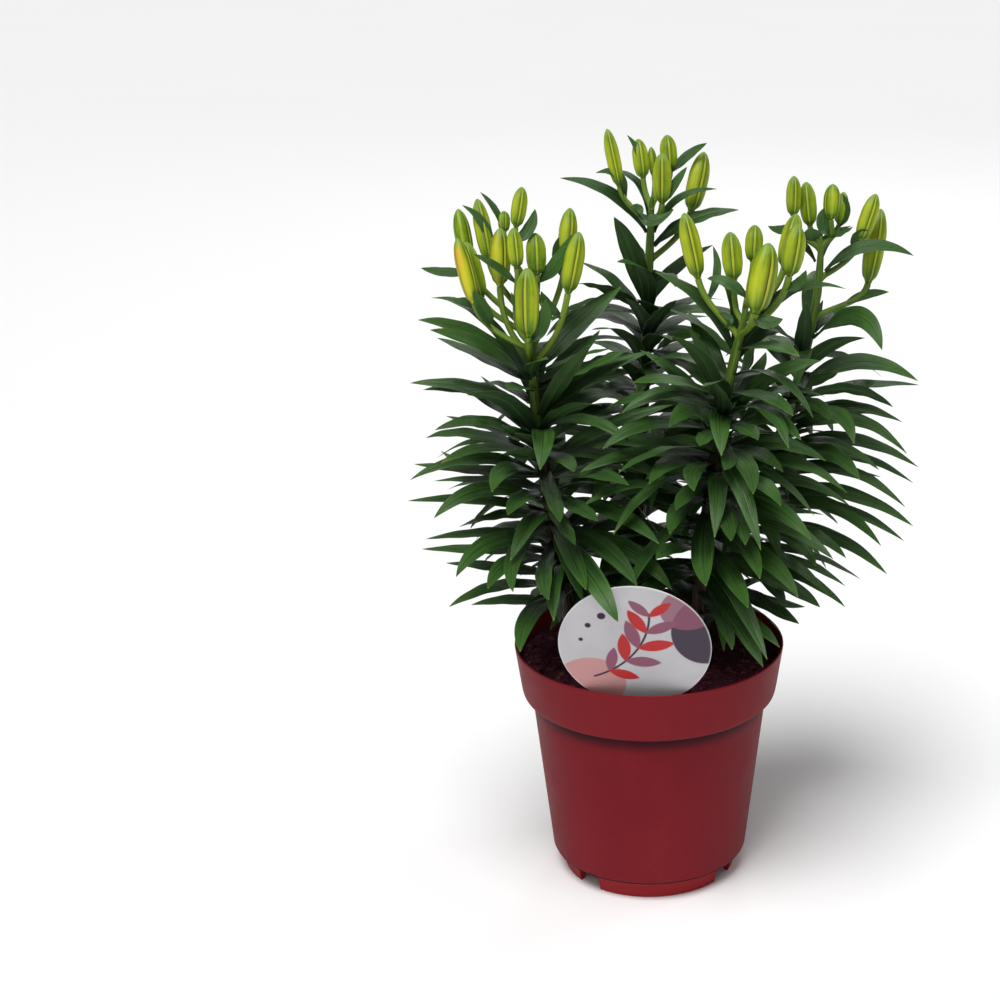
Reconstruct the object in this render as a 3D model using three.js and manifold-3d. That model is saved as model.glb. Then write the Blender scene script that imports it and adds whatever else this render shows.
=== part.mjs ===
// Potted lily in bud: a tapered grower's pot full of potting soil, four leafy stems that each carry a cluster of closed buds, and a round card label on a spike.
// Millimetres, +Z up, the pot's axis is the Z axis and it rests on z = 0. -Y is the front, where the label leans.
import * as THREE from "three";
import Module from "manifold-3d";

// ---- driving dimensions
const POT_SEGMENTS = 48;
// [radius, height] outside from the foot to the lip, then inside from the lip to the floor
const POT_OUTSIDE = [
  [54.9, 0], [57.0, 10], [61.6, 13.2], [62.35, 14.4],
  [74.6, 120], [79.0, 121.5], [80.3, 123], [85, 154.0], [84.3, 154.5],
];
const POT_INSIDE = [
  [83.7, 154.0], [78.8, 124.5], [73.1, 123.5], [60.6, 15.5], [55.0, 12], [52.6, 6.5], [50, 5.6], [0, 5.6],
];
// underside: the recess inside the foot ring and the centre pad that the pot also stands on
const POT_UNDERSIDE = [[0, 0], [18, 0], [18.6, 4], [50.4, 4], [52.5, 0]];
const SLOT_WIDTH = 17.5; // four drain slots in the foot
const SLOT_ANGLES = [46.5, 148.5, 226.5, 328.5]; // degrees from +X
const SLOT_HEIGHT = 11;
const SLOT_INNER = 44;
const SLOT_OUTER = 70;

const SLIVER = 0.02; // joined solids lose edges shorter than this
const GAP = 0.3; // clearance between neighbouring pieces
const SOIL_OUTSIDE = [
  [0, 5.9], [49.8, 5.9], [52.2, 6.9], [54.6, 12.4], [60.3, 15.8], [72.8, 123.8], [78.45, 124.8], [81.6, 143.6],
  [79.0, 145.2], [64, 144.6], [40, 146.2], [18, 147.0], [0, 147.2],
];
const SOIL_SEGMENTS = 32;

const LABEL_RADIUS = 45.7;
const LABEL_THICKNESS = 0.8;
const LABEL_FOOT = [-7.1, -71.5, 143.4]; // the disc's lowest point, just in the soil
const LABEL_LEAN = 16.54; // degrees, its top leans forward
const LABEL_TURN = -3.99; // degrees, its face turns to -X
const LABEL_SPIKE = [[8, 11.0], [-20, 8.0], [-44, 2.4]]; // [height above the disc's foot, width]

const STEM_SIDES = 8;
const SLEEVE_GAP = 0.35; // the leaf bases stand off the stem by this
const SLEEVE_WALL = 1.6;
const LEAF_THICKNESS = 0.8;
const LEAF_FOLD = 0.25; // depth of the fold along the midrib, as a share of the half width
// half-width profile of a leaf: share of its length, share of its widest half width
const LEAF_S = [0, 0.06, 0.18, 0.32, 0.48, 0.64, 0.78, 0.89, 0.96, 1.0];
const LEAF_W = [0.42, 0.5, 0.74, 0.92, 1.0, 0.95, 0.77, 0.5, 0.24, 0.0];
const LEAF_STATIONS = [0, 0.28, 0.64];
// radius profile of a bud
const BUD_SIDES = 6;
const BUD_S = [0.0, 0.13, 0.38, 0.66, 0.9];
const BUD_R = [0.36, 0.8, 1.02, 0.98, 0.56];

// ---- stems: cubic Bezier axis, [height, radius] pairs, heights of the rings
const STEMS = {
  left: {
    axis: [[-46.0, -9.0, 64.0], [-38.7, -1.8, 174.6], [-72.3, -44.1, 278.6], [-67.6, -45.0, 388.2]],
    radius: [[64, 4.3], [145, 4.2], [340, 3.6], [366, 2.8]],
    heights: [64.0, 145.0, 175.3, 193.45, 211.6, 211.9, 226.45, 241.0, 241.3, 256.45, 271.6, 271.9, 285.1, 298.3, 298.6, 310.0, 321.4, 321.8, 334.05, 346.3, 367.25, 388.2],
  },
  centre: {
    axis: [[-9.0, 29.0, 64.0], [-7.9, 30.3, 186.8], [-3.2, 33.0, 309.4], [2.1, 32.0, 431.5]],
    radius: [[64, 3.8], [145, 3.7], [400, 3.2], [430, 2.6]],
    heights: [64.0, 145.0, 168.9, 208.0, 247.1, 247.5, 273.05, 298.6, 298.9, 320.5, 342.1, 342.5, 363.9, 385.3, 399.7, 405.9, 412.1, 431.5],
  },
  front: {
    axis: [[26.0, -22.0, 64.0], [27.6, -23.6, 173.0], [32.4, -43.4, 282.7], [58.4, -45.0, 388.8]],
    radius: [[64, 4.2], [145, 4.1], [350, 3.6], [388, 2.6]],
    heights: [64.0, 145.0, 171.5, 195.0, 218.5, 218.9, 230.05, 241.2, 241.6, 257.05, 272.5, 272.8, 286.1, 299.4, 299.8, 315.3, 330.8, 331.1, 346.85, 362.6, 388.8],
  },
  right: {
    axis: [[38.0, 26.0, 64.0], [24.7, 27.6, 184.3], [107.8, 36.1, 286.5], [105.0, 36.0, 406.5]],
    radius: [[64, 3.7], [145, 3.6], [350, 3.2], [405, 2.8]],
    heights: [64.0, 145.0, 164.8, 188.65, 212.5, 212.8, 230.9, 249.0, 249.4, 264.55, 279.7, 280.0, 294.15, 308.3, 308.6, 328.1, 347.6, 388.7, 390.55, 392.4, 406.5],
  },
};

// ---- whorls of leaves: name, stem, lower and upper height of the ring their bases grow from, and the leaves: base, middle control and tip points, width, roll
const TIERS = [
  ["leaves_left_1", "left", 175.3, 211.6, [
    [-51.5, -10.7, 177.3, -63.2, 22, 193, -78.2, 48, 160.1, 11.6, -0.2],
    [-49.5, -11.2, 181.6, -43.8, 26.3, 201.3, -44.4, 56.7, 189.8, 11, -0.12],
    [-55.5, -15.6, 182.5, -80.3, -13.3, 191.4, -110.6, -15.8, 184.7, 11.6, 0.17],
    [-45.7, -18, 184.6, -17.8, -25.6, 208.3, 8.7, -32.9, 187.2, 11.3, -0.16],
    [-50.3, -12.4, 189.2, -44.1, 26.2, 216.2, -36.7, 53, 202.2, 11.7, -0.28],
    [-54.4, -22.5, 193.4, -78.2, -60.4, 201.6, -75.4, -95.3, 188.3, 11.6, 0.17],
    [-56.3, -21, 195, -77.4, -32.8, 191.6, -77.9, -49.8, 168.6, 11.6, 0.35],
    [-56.9, -21, 197.9, -90.2, -37.8, 214.9, -119.9, -59.3, 201.8, 11.6, 0.17],
    [-53.8, -14.6, 201.8, -63.1, 22.4, 225.8, -79.6, 57.7, 211.2, 11.6, 0.18],
    [-48.3, -21.9, 201.4, -14.2, -41, 222.9, 22.2, -51.3, 190.1, 11.3, -0.34],
    [-50.5, -15.9, 205.5, -29.2, 18.6, 226.6, -16.3, 45.1, 207.8, 12.1, 0.12],
    [-57.3, -17.5, 204.4, -89.6, 1.5, 204.6, -128.3, 14.4, 200.7, 11.6, 0.17],
    [-54.1, -25.7, 207.9, -57.1, -52.5, 205.2, -52.4, -89.6, 205, 11.6, 0.87],
  ]],
  ["leaves_left_2", "left", 211.9, 241, [
    [-51.6, -17.5, 214.5, -29.9, 17.7, 238.2, -14.6, 44.3, 222.8, 12.5, 0.12],
    [-55.5, -16.9, 214.5, -67.1, 26.6, 247.4, -82.2, 54.3, 228, 12.4, -0.06],
    [-54.8, -26.9, 214.7, -57.9, -66.6, 237.4, -54.9, -100.5, 210.3, 12.5, -0.35],
    [-51.8, -26.3, 216.2, -32.3, -55.5, 220.3, -14.2, -78.5, 198.3, 12.7, -0.34],
    [-58.3, -18.9, 218.1, -87.4, 10, 222.6, -105.2, 27.8, 196.1, 11.7, 0.01],
    [-50.1, -24.1, 218.4, -13.9, -36.5, 238, 15.8, -47.9, 228.2, 12, -0.01],
    [-58.7, -26, 219.2, -88.2, -52.8, 236.8, -94.3, -82.1, 222.9, 11.6, 0.35],
    [-60.3, -22.9, 222.5, -97.2, -20.3, 224.4, -139.3, -19, 223.3, 11.6, 0.17],
    [-50.8, -22.1, 224.4, -13.4, -11.2, 252.2, 24, -6.5, 222.6, 12.2, -0.21],
    [-58.7, -19.9, 225.8, -90.6, 21, 233.9, -111.4, 43.1, 205.6, 12.1, 0.27],
    [-54.8, -19.1, 227.1, -46.2, 21.5, 241.5, -35.7, 59.7, 222.4, 11.5, 0.17],
    [-60.7, -26.6, 229.2, -99, -47.8, 251.8, -113.3, -77.4, 228.6, 11.6, 0.52],
    [-57.4, -29.7, 230.6, -65.8, -71.3, 231.3, -57.3, -104.4, 225.3, 11.6, -0.52],
    [-53.4, -21.3, 233.1, -30.6, 5.3, 253.6, -12.6, 31.4, 228.1, 11.2, -0.17],
    [-61.4, -23.7, 232.7, -97.1, -13.6, 235.5, -137.6, -9.9, 226.4, 11.6, 0.17],
    [-52.6, -27.8, 236, -10.1, -50.5, 245.7, 14, -78.9, 221, 11.5, -0.7],
    [-55.7, -30.8, 238, -31, -105.8, 242.9, -17.2, -115.7, 216.3, 13, -0.3],
    [-56.3, -31, 238, -49.6, -60.7, 239.3, -38.3, -86.8, 216.8, 11.4, 0.33],
  ]],
  ["leaves_left_3", "left", 241.3, 271.6, [
    [-54.3, -30.2, 242.7, -23, -59.3, 245.8, -6.5, -88.5, 227.5, 11.5, -0.52],
    [-60.8, -31.5, 244.6, -85.4, -70, 246.2, -78, -104.4, 230.3, 11.6, -0.17],
    [-61.8, -24, 245.8, -90.1, 5.7, 242.1, -120, 21.3, 222.4, 11.6, 0.35],
    [-57, -32.4, 246.4, -44.5, -73.4, 242, -35.7, -106.1, 232.3, 11.5, 0],
    [-63.7, -27.5, 250.8, -102, -22.2, 261.3, -146.3, -22.4, 256.1, 11.6, 0.17],
    [-60.3, -33.3, 251.2, -67.2, -61.7, 269.7, -80.5, -84.9, 242, 11.8, 0.03],
    [-62.4, -25.2, 254.5, -89.8, 9.4, 259.6, -113.4, 27, 219.1, 12.4, 0],
    [-59.7, -24.8, 257.6, -59.7, 10.5, 280.5, -54.3, 44.9, 278.4, 12.3, 0.3],
    [-64.7, -31, 258.8, -100.8, -43.1, 284, -126.1, -66.4, 261.6, 11.6, 0.52],
    [-56.1, -32.8, 259.5, -19.1, -61.9, 271.9, 6.4, -92.4, 255.4, 11.6, -0.35],
    [-63.7, -27, 262.5, -93.1, 2.3, 270, -126.1, 14.6, 249.7, 11.6, 0.17],
    [-59.3, -35.2, 261.6, -51.8, -73.1, 261.5, -41.9, -102.4, 258.7, 11.6, 0.35],
    [-58.5, -35.3, 264.5, -42.7, -70, 271.8, -28.7, -97.7, 271.6, 11.6, -0.17],
    [-56.2, -32.5, 266.3, -18.3, -43, 288.4, 7.6, -46.6, 240.3, 11.9, 0.37],
    [-64.8, -28.5, 266.4, -96, -6.2, 267.6, -133.1, 6.7, 258.5, 9.5, 0.17],
    [-62.8, -35.9, 266.8, -76.2, -67.4, 279.1, -80.4, -95.8, 274.6, 11.6, 0.17],
    [-58.5, -27.8, 269.8, -34.5, 7.9, 295, -10.9, 33.9, 280.3, 11.2, 0.01],
  ]],
  ["leaves_left_4", "left", 272.4, 298.3, [
    [-57.3, -30.9, 274.2, -22, -17.9, 298.2, 9.8, -11.8, 271.3, 11.1, -0.21],
    [-58.2, -35.9, 274.5, -34, -62.9, 295.2, -10.9, -89.8, 290.7, 11.6, -0.35],
    [-66.1, -30.6, 274.5, -99.5, -12, 265.4, -128.3, 8.6, 277.5, 9.5, 0.17],
    [-57.2, -33.9, 275.4, -16.1, -43.5, 294.1, 21.3, -43.3, 273.2, 11.7, 0.11],
    [-63.6, -28.4, 275.7, -75.7, 2.9, 290.9, -84.2, 30.6, 252.7, 11.5, -0.11],
    [-66.5, -31.4, 275.7, -102.2, -19.6, 274.7, -143.1, -10.1, 275.5, 11.6, 0.17],
    [-66.8, -32, 277, -106, -26, 296.6, -143.1, -34.5, 273.9, 11.6, 0.35],
    [-65.2, -37.1, 277.7, -87.5, -65.9, 301.9, -89, -97.9, 289.4, 11.6, 0.35],
    [-61.6, -38.3, 279.3, -55.6, -72.7, 277.5, -50.4, -100.2, 272, 11.6, 0.35],
    [-64.2, -29.7, 283.6, -78, 14.8, 306.2, -88.2, 41.2, 264.8, 12.3, -0.37],
    [-58.7, -32.9, 286.2, -28.1, -23.3, 308.6, 14.1, -18.8, 316.1, 11.6, -0.35],
    [-66.8, -31.7, 285.5, -97.8, -12.2, 304.1, -128.9, -11.1, 279.8, 9.5, 0.17],
    [-67.4, -37.3, 287.3, -93.8, -55.1, 310.3, -119.7, -77.9, 300, 11.6, 0.17],
    [-64.6, -39.6, 287.2, -73.8, -68.8, 306.3, -85.1, -82.2, 306.4, 11.6, -0.52],
    [-59, -36.7, 289.6, -22.8, -48.6, 303.1, 14.4, -55.5, 278.9, 10.8, -0.21],
    [-61.3, -39.7, 291.7, -48.5, -63.9, 301.2, -42.5, -86.4, 297.5, 11.6, 0],
    [-68.4, -34.7, 291.8, -110.6, -29.6, 308.4, -132.7, -32.8, 300, 11.6, 0.17],
    [-62.7, -40.6, 294.2, -58.1, -61.4, 303.2, -53.4, -69.3, 307.4, 11.6, 0.17],
    [-64.9, -40.8, 294.7, -69.1, -57.3, 309.3, -76.3, -72.1, 316.3, 11.6, -0.17],
    [-65.9, -31.9, 296.7, -81.5, 8.5, 315.9, -95.4, 33.6, 286.6, 11.3, 0.25],
    [-68.8, -37, 295.6, -92.8, -45, 324.1, -124.2, -61.3, 314.5, 11.6, 0.35],
    [-68, -33.5, 296.2, -97.3, -13.1, 301.5, -123.8, 1.5, 302.5, 9.5, 0],
    [-61.6, -40.3, 295.8, -57.2, -50, 305, -49.3, -68, 312.5, 11.6, 0.17],
  ]],
  ["leaves_left_5", "left", 298.6, 321.4, [
    [-66.9, -41, 299.3, -75, -54.8, 310.2, -83.9, -76.6, 322.7, 11.6, -0.35],
    [-63.2, -33, 303.3, -52.7, -4.9, 321.9, -47.3, 26.2, 316.7, 12.3, -0.16],
    [-69.3, -36, 303.4, -100.5, -25.4, 326.3, -123.6, -10.8, 329.8, 12.3, -0.19],
    [-61.6, -34.6, 306, -38.5, -13.3, 330.1, -12.9, 6, 312.5, 12.5, -0.31],
    [-67.8, -41.5, 304.6, -78.7, -57.4, 338.2, -103.4, -77.7, 341.1, 11.6, -0.7],
    [-64.2, -42.5, 305.8, -58.5, -70.6, 324.4, -61.6, -93.9, 301.4, 12.8, 0.08],
    [-61, -40, 308.9, -34.5, -50.7, 326.3, -10.3, -64.1, 307.7, 10.8, -0.23],
    [-62, -41.6, 309.2, -47.2, -61.7, 333.4, -26.2, -82.1, 336.5, 11.6, 0.35],
    [-67.9, -34.4, 310.4, -84, -8.7, 315.3, -102.6, 13.3, 324.4, 9.5, -0.35],
    [-66.1, -34.3, 313.8, -68.4, -5.1, 341.9, -71.2, 17, 335.8, 12.3, -0.29],
    [-69.9, -36.8, 313.2, -96.4, -28, 335.6, -133.8, -28.8, 328.7, 11.6, 0.35],
    [-61.8, -37.2, 316.5, -37.7, -26.9, 342, 1, -22.1, 350.2, 11.6, -0.35],
    [-62.4, -42.5, 318.4, -48.8, -58.8, 348.1, -33, -71.2, 368.9, 11.6, 0.35],
    [-70.6, -38.3, 318.3, -101.3, -32.6, 337.2, -140.8, -33.6, 334.5, 11.6, 0.35],
    [-65.1, -35.3, 320.5, -62, -21.8, 329.3, -55.5, -8.1, 339.8, 11.6, 0.52],
  ]],
  ["leaves_left_6", "left", 321.8, 346.3, [
    [-69.9, -37.1, 323.4, -91.6, -16.5, 337.3, -109.8, 7.6, 317.4, 12.3, -0.12],
    [-67.7, -36, 325.2, -76.2, -3, 349.5, -86.9, 15.8, 342.5, 11.2, 0.26],
    [-63.9, -37.2, 328.3, -47.2, -15.6, 347.4, -33.9, 1.4, 353.8, 12.1, -0.29],
    [-62.5, -39.5, 329.3, -40.5, -33.2, 342.7, -12, -27.6, 353.1, 11.6, -0.17],
    [-62.5, -42.2, 332.8, -33.6, -47.4, 350.8, -16.3, -50, 357.8, 12.5, -0.27],
    [-66.7, -36.9, 333.5, -64.2, -6.2, 357, -61.7, 18.6, 343.9, 12.1, 0.22],
    [-68.2, -46, 333.6, -74.4, -73.4, 347.4, -79, -91.4, 348.7, 12.2, 0.28],
    [-70.4, -38.3, 334.8, -95.8, -19.9, 385.6, -128.1, -19.4, 382.5, 11.6, 0],
    [-63.5, -39.3, 337, -44.5, -27, 343.9, -28.8, -12.5, 361, 11.6, 0],
    [-71.8, -41.1, 337.6, -94.2, -38.6, 353.5, -123.6, -36.7, 363.1, 11.6, 0.17],
    [-71, -45.3, 341.1, -91.9, -64.9, 372, -122.5, -84, 381.4, 11.6, 0.7],
    [-72.1, -42.7, 342.6, -97.6, -47.2, 375.9, -132, -57.1, 379.7, 11.6, 0.52],
    [-68, -46.9, 342.4, -69.6, -58.7, 357, -57, -71.6, 360.7, 11.6, -0.35],
    [-63.1, -42.6, 343.4, -40.9, -43.1, 355.5, -20.4, -43.5, 358.8, 12, 0.08],
    [-64.7, -39.2, 344.5, -45.7, -18.5, 366.4, -16.3, -1.3, 384.4, 12.8, -0.52],
  ]],
  ["leaves_centre_1", "centre", 168.9, 247.1, [
    [-11.8, 31.3, 170.5, -43.7, 37.5, 184.7, -63.6, 39.4, 162.2, 12.2, -0.37],
    [-10.9, 33.2, 170.8, -39.2, 55.3, 187.7, -64.7, 73.2, 167.2, 11, 0.16],
    [-11, 28.5, 184, -45.9, 11.2, 191.3, -62.2, -4.3, 162.9, 12.4, 0.24],
    [-10, 33.9, 187.8, -34.5, 58.8, 202.2, -50.3, 82.7, 170.6, 12.6, 0.33],
    [-2.7, 32.7, 187.8, 23.6, 46.1, 191, 40.8, 50.9, 159.9, 10.8, 0.3],
    [-2.2, 29.7, 189.4, 24.2, 24.7, 203.1, 51.7, 21.9, 180.3, 10.8, -0.38],
    [-8.6, 26.4, 191.9, -22.6, -4.8, 204.6, -39.1, -34.9, 181.3, 12.6, -0.34],
    [-3.4, 27.4, 195.6, 19.5, 3.4, 206, 40.3, -25.7, 193.1, 11.5, -0.27],
    [-8.8, 34.7, 200.4, -31.2, 72.1, 206, -46.6, 94.3, 176.2, 11.7, 0.35],
    [-2.5, 33.1, 200.9, 31.4, 52.6, 221.3, 63.7, 63.5, 197.1, 11.9, -0.22],
    [-10.6, 29.2, 204.4, -47, 15.5, 218.9, -81.1, 2.5, 196.7, 11.5, -0.19],
    [-3.5, 34.6, 210, 22.5, 70.6, 221.4, 31.7, 96.7, 174.1, 12, 0.17],
    [-1.7, 29.7, 212.2, 33.4, 20.3, 220.4, 65.1, 4.6, 191.8, 11.5, 0.08],
    [-10.6, 30.9, 215.3, -54.3, 29.9, 229.4, -85.9, 27.5, 222.4, 11.2, 0.06],
    [-8.4, 34.9, 215.5, -33.2, 76, 220, -49.9, 100.4, 190.4, 11.9, 0.11],
    [-5.3, 26.5, 218.6, -0.7, -5.4, 222.2, 0.8, -28.7, 185.3, 12, 0.22],
    [-4.1, 35.3, 223.4, 11.4, 73.3, 229.7, 27.6, 104, 201.7, 12.5, -0.11],
    [-7.6, 26.9, 224.7, -23.6, -10.2, 228.9, -31.4, -37.5, 185.1, 11.9, 0.01],
    [-5.5, 26.5, 225, -3.3, -11.2, 229.8, -2.6, -30.2, 196, 11.7, 0.06],
    [-9.4, 33.6, 228.5, -40.7, 54.1, 253.1, -72.3, 75.2, 228.9, 11.7, 0.38],
    [-6.3, 26.7, 231.9, -12.3, -7.7, 235.8, -9.9, -38.1, 203, 12.1, 0.25],
    [-4.8, 35.7, 233.6, 2.1, 83, 245.3, 11.1, 116.8, 233.6, 12.2, -0.09],
    [-9.8, 30.1, 236.1, -55.5, 18.7, 260.9, -88.8, 12.5, 238.9, 11.3, 0.32],
    [-7.1, 35.4, 241.3, -20.9, 66.3, 248.8, -30.3, 91.6, 213, 11.7, -0.22],
    [-2.4, 34.8, 243.7, 21.4, 64.9, 262.4, 44.3, 89.2, 241.4, 11.5, -0.11],
  ]],
  ["leaves_centre_2", "centre", 247.5, 298.6, [
    [-9.5, 31.4, 249.1, -43.8, 31.6, 271.3, -79.4, 27.7, 243.3, 11.6, 0.02],
    [-2.8, 27.4, 251.6, 15, -6.7, 263.2, 24.2, -25.5, 227.1, 10.9, 0.04],
    [-0.7, 29.8, 251.8, 35.9, 16.1, 268.3, 65.6, 1.6, 238.6, 11.7, -0.38],
    [-5.7, 35.8, 257.1, -13.4, 68.7, 261.5, -13.9, 92.9, 221.7, 12.4, 0.34],
    [-7.4, 35, 260.4, -29.6, 62.5, 274.5, -51.4, 84.4, 237.1, 12.3, -0.29],
    [-2.6, 35.5, 260.2, 14.5, 68.1, 279.1, 32.5, 99.3, 259.2, 12.3, -0.24],
    [-8.8, 30.1, 261.4, -41.2, 19.4, 272.3, -70.4, 4.1, 258.2, 11.3, -0.19],
    [-8.6, 33.5, 261.8, -40.6, 49.1, 286.3, -74, 65.6, 269.8, 12, 0.3],
    [-5.2, 27.1, 263.5, -10.2, -3.6, 267.6, -15, -23.6, 243.2, 12.1, -0.16],
    [-0.1, 30.5, 264.4, 36, 21.7, 275.3, 66.4, 8.5, 247, 12.1, -0.28],
    [-2.9, 35.8, 268, 11.3, 77.5, 283.1, 27.4, 107.6, 273.5, 11.2, -0.18],
    [-0.8, 34.4, 269.9, 30.1, 58.9, 275.2, 48.3, 81.2, 262.5, 12.2, -0.38],
    [-7.8, 28.9, 271, -45.6, -0.4, 271.6, -64.4, -19.4, 234.7, 10.9, -0.04],
    [-4.7, 36.1, 274.4, -10.8, 81.4, 278.9, -12, 110.7, 250.2, 11.8, -0.36],
    [0.3, 30.7, 276.3, 35.1, 22.7, 293.8, 71.4, 10.1, 269.6, 11.8, -0.34],
    [-0.9, 34.8, 277.3, 30.8, 66.2, 291.1, 55.9, 81, 259.3, 11.6, 0.26],
    [-8.1, 30, 279.4, -48.4, 13.7, 282.1, -72.5, -3.2, 253.4, 11.8, -0.19],
    [-7.5, 34.3, 280.9, -42.6, 59.8, 297.1, -72.9, 76.4, 271.9, 11.4, -0.1],
    [-6.2, 28, 283, -24.7, -1.9, 280.7, -34.5, -27.6, 249.9, 12.1, 0.19],
    [-2.9, 27.4, 283.1, 6.4, -13.5, 300.6, 1.5, -46.7, 259.3, 11.6, 0.17],
    [0.6, 32.9, 286.5, 33.4, 41.5, 290, 55.2, 53.5, 248.7, 12.5, -0.33],
    [-4.6, 36.1, 290, -14.5, 77.6, 299.8, -38.9, 98.9, 281.7, 11.6, 0.17],
    [-1.1, 35.5, 292, 18.5, 65.5, 294.7, 38.3, 86.9, 262.7, 12.3, 0.27],
    [-2.5, 27.5, 292.6, 4, 0, 296.7, 6.9, -22.8, 295.3, 11.6, 0.35],
    [0.8, 30.8, 294.2, 46.7, 19.2, 312.2, 78, 7.6, 288.7, 11.2, -0.37],
    [-7.6, 30.5, 295.2, -39.3, 19.9, 309.4, -67.8, 14.8, 277.6, 12.6, 0.34],
  ]],
  ["leaves_centre_3", "centre", 298.9, 342.1, [
    [-7.4, 33.3, 300.6, -41.6, 44.8, 319.4, -69.4, 57.1, 297.1, 12.6, 0.31],
    [-4.8, 36, 300.5, -19.7, 74.6, 314.6, -48.3, 91.9, 294.1, 11.6, 0.17],
    [-0.4, 35.3, 301.1, 29.5, 71.1, 312.2, 45.8, 94.6, 276.5, 12, 0.06],
    [-4.1, 27.7, 305.8, -10.9, 0.3, 309.8, -14.1, -22.6, 307.9, 11.6, -0.17],
    [-7.2, 31.6, 309.8, -44.7, 29, 315.5, -69.2, 32.3, 284.7, 12.5, -0.11],
    [-4.7, 28, 311, -10.6, 13.4, 337.8, -28.8, -19.3, 344.4, 11.6, 0],
    [-1.5, 36.1, 310.8, 11.9, 75.9, 322.6, 38.1, 96.9, 308.2, 11.6, 0],
    [-6.1, 29.1, 311.7, -34.7, 3.8, 326, -53.5, -15.4, 300.6, 11.9, 0.3],
    [1.2, 33.9, 313.3, 41.3, 53.9, 312.9, 60.4, 67.9, 278.6, 11.7, 0.19],
    [1.6, 31.4, 313.5, 48.9, 25.4, 327.6, 83.4, 27.8, 312.4, 12.1, 0.18],
    [-2.8, 27.6, 314.8, -2.7, 2.8, 328.6, -5, -22, 323.4, 11.6, -0.52],
    [-4.2, 36, 318.7, -19.1, 72.6, 335.4, -51.1, 90.3, 321.6, 11.6, 0],
    [-6.6, 30.7, 321.4, -41.4, 19.8, 326.6, -66.1, 19.2, 294.3, 12, 0.27],
    [-0.6, 36, 321.2, 17.1, 72.4, 334.9, 46.9, 90.8, 321.5, 11.6, 0],
    [1.8, 30.7, 322.7, 39.3, 18.7, 340, 75.3, 2.1, 324.6, 12.6, 0.23],
    [-1.6, 27.8, 326.4, 4.1, -7.2, 329.2, 11.7, -21.6, 326.5, 11.6, 0.17],
    [-5.8, 34.6, 326.6, -33.4, 54.2, 333.8, -56.3, 65.2, 292.5, 12.6, 0.28],
    [1.7, 33.9, 326.4, 37.7, 50.7, 329.1, 65.8, 57.7, 303.9, 12.3, -0.1],
    [-3.6, 28, 327.8, -11.2, 1.3, 363.4, -33.1, -27.4, 365.3, 11.6, 0],
    [0.1, 28.4, 327.6, 10.3, 13.7, 354.7, 30.9, -5.1, 355.1, 11.6, -0.7],
    [-1.3, 27.8, 334.1, 3.4, 4.2, 358.9, 14.1, -21.2, 357.3, 11.6, 0.17],
    [1.5, 29.4, 334.9, 30.8, 6.6, 338.9, 49.6, -9.2, 308.1, 11.8, -0.19],
    [-0.4, 36.2, 336.6, 13.8, 74.3, 351, 43, 94.2, 338.5, 11.6, 0],
    [-3.3, 36.2, 338.7, -16.5, 73.8, 358.2, -47.6, 90.2, 341, 11.6, 0],
    [-5.9, 31.1, 339.7, -43.5, 22.2, 354.6, -67.8, 19, 325.9, 12.1, -0.08],
  ]],
  ["leaves_centre_4", "centre", 342.5, 385.3, [
    [2.5, 33.5, 343.8, 35, 44, 355.6, 58.5, 51.6, 317.8, 11.2, -0.2],
    [0.1, 36.1, 344.3, 15.1, 69.6, 362.9, 47.1, 86.1, 352.7, 11.6, 0],
    [-0.3, 28, 345.6, 5.3, 11.8, 372.4, -6.8, -6.5, 377.8, 11.6, 0.35],
    [-0.8, 27.9, 345.7, 5.4, -3.2, 368.9, 16.4, -13.8, 379.8, 11.6, -0.17],
    [2.5, 30.6, 345.6, 33.3, 18.4, 358.8, 59.7, 7.2, 332.4, 11.4, -0.2],
    [-5.7, 31.7, 347.3, -38.4, 28.2, 367.5, -65.3, 29.9, 353.8, 12, 0.12],
    [-1.7, 27.9, 348.3, -2.9, -1.2, 371.4, -13.2, -11.9, 380.5, 11.6, 0.35],
    [-4.6, 34.9, 350.9, -12.9, 42.6, 378.6, -42.3, 46, 387.7, 11.6, 0],
    [3.2, 32.4, 354.6, 38.4, 34.5, 369.6, 67.7, 37.3, 349.7, 11.3, -0.19],
    [-5.2, 31.4, 357.5, -40.4, 25.2, 373.6, -62.3, 15.1, 349.1, 11.2, 0.2],
    [-3.4, 28.7, 359.9, -25.7, -2.2, 387.8, -42.3, -19.4, 391.2, 12.6, -0.24],
    [2.5, 29.6, 362.4, 29, 8.6, 367.6, 53.5, -8.7, 341.8, 11.8, 0.26],
    [-0.2, 28, 363.5, 3.9, 8.2, 400.5, -18.6, -4.4, 400.5, 11.6, 0.52],
    [-4.7, 30.7, 365.8, -37.4, 18.7, 377.4, -59.5, 15.5, 357.9, 10.9, -0.09],
    [1.5, 35.9, 365.9, 13.4, 55.4, 385.5, 40, 68.8, 392.8, 11.6, 0],
    [-2.8, 28.5, 367.4, -6.6, 19.8, 398.7, -20.5, 13, 423.6, 12.8, -0.52],
    [1, 28.1, 377.6, 11, -8, 402.6, 15.9, -30.2, 392, 11.1, 0.26],
    [-1.5, 36.1, 383.1, -11.7, 62, 401.1, -20.7, 80.4, 399.5, 12, -0.34],
  ]],
  ["leaves_centre_5", "centre", 399.7, 412.1, [
    [4.6, 33.9, 401, 23.9, 42, 420.6, 55.1, 43.8, 420.8, 11.6, -0.35],
    [-2.4, 34, 410, -18.7, 43.1, 439, -53.7, 43.6, 440.5, 8.5, 0.52],
    [2, 36.1, 409.9, 4.2, 45.6, 417.1, 14.9, 53.5, 419.2, 7, -0.17],
    [0.9, 36.1, 409.9, 1.3, 57.1, 447.9, -32.4, 61.5, 440.4, 5.4, 0],
    [4.2, 34.7, 409.8, 13.8, 41.9, 435.9, 41.5, 41.3, 434.3, 5.4, -0.52],
  ]],
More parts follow.
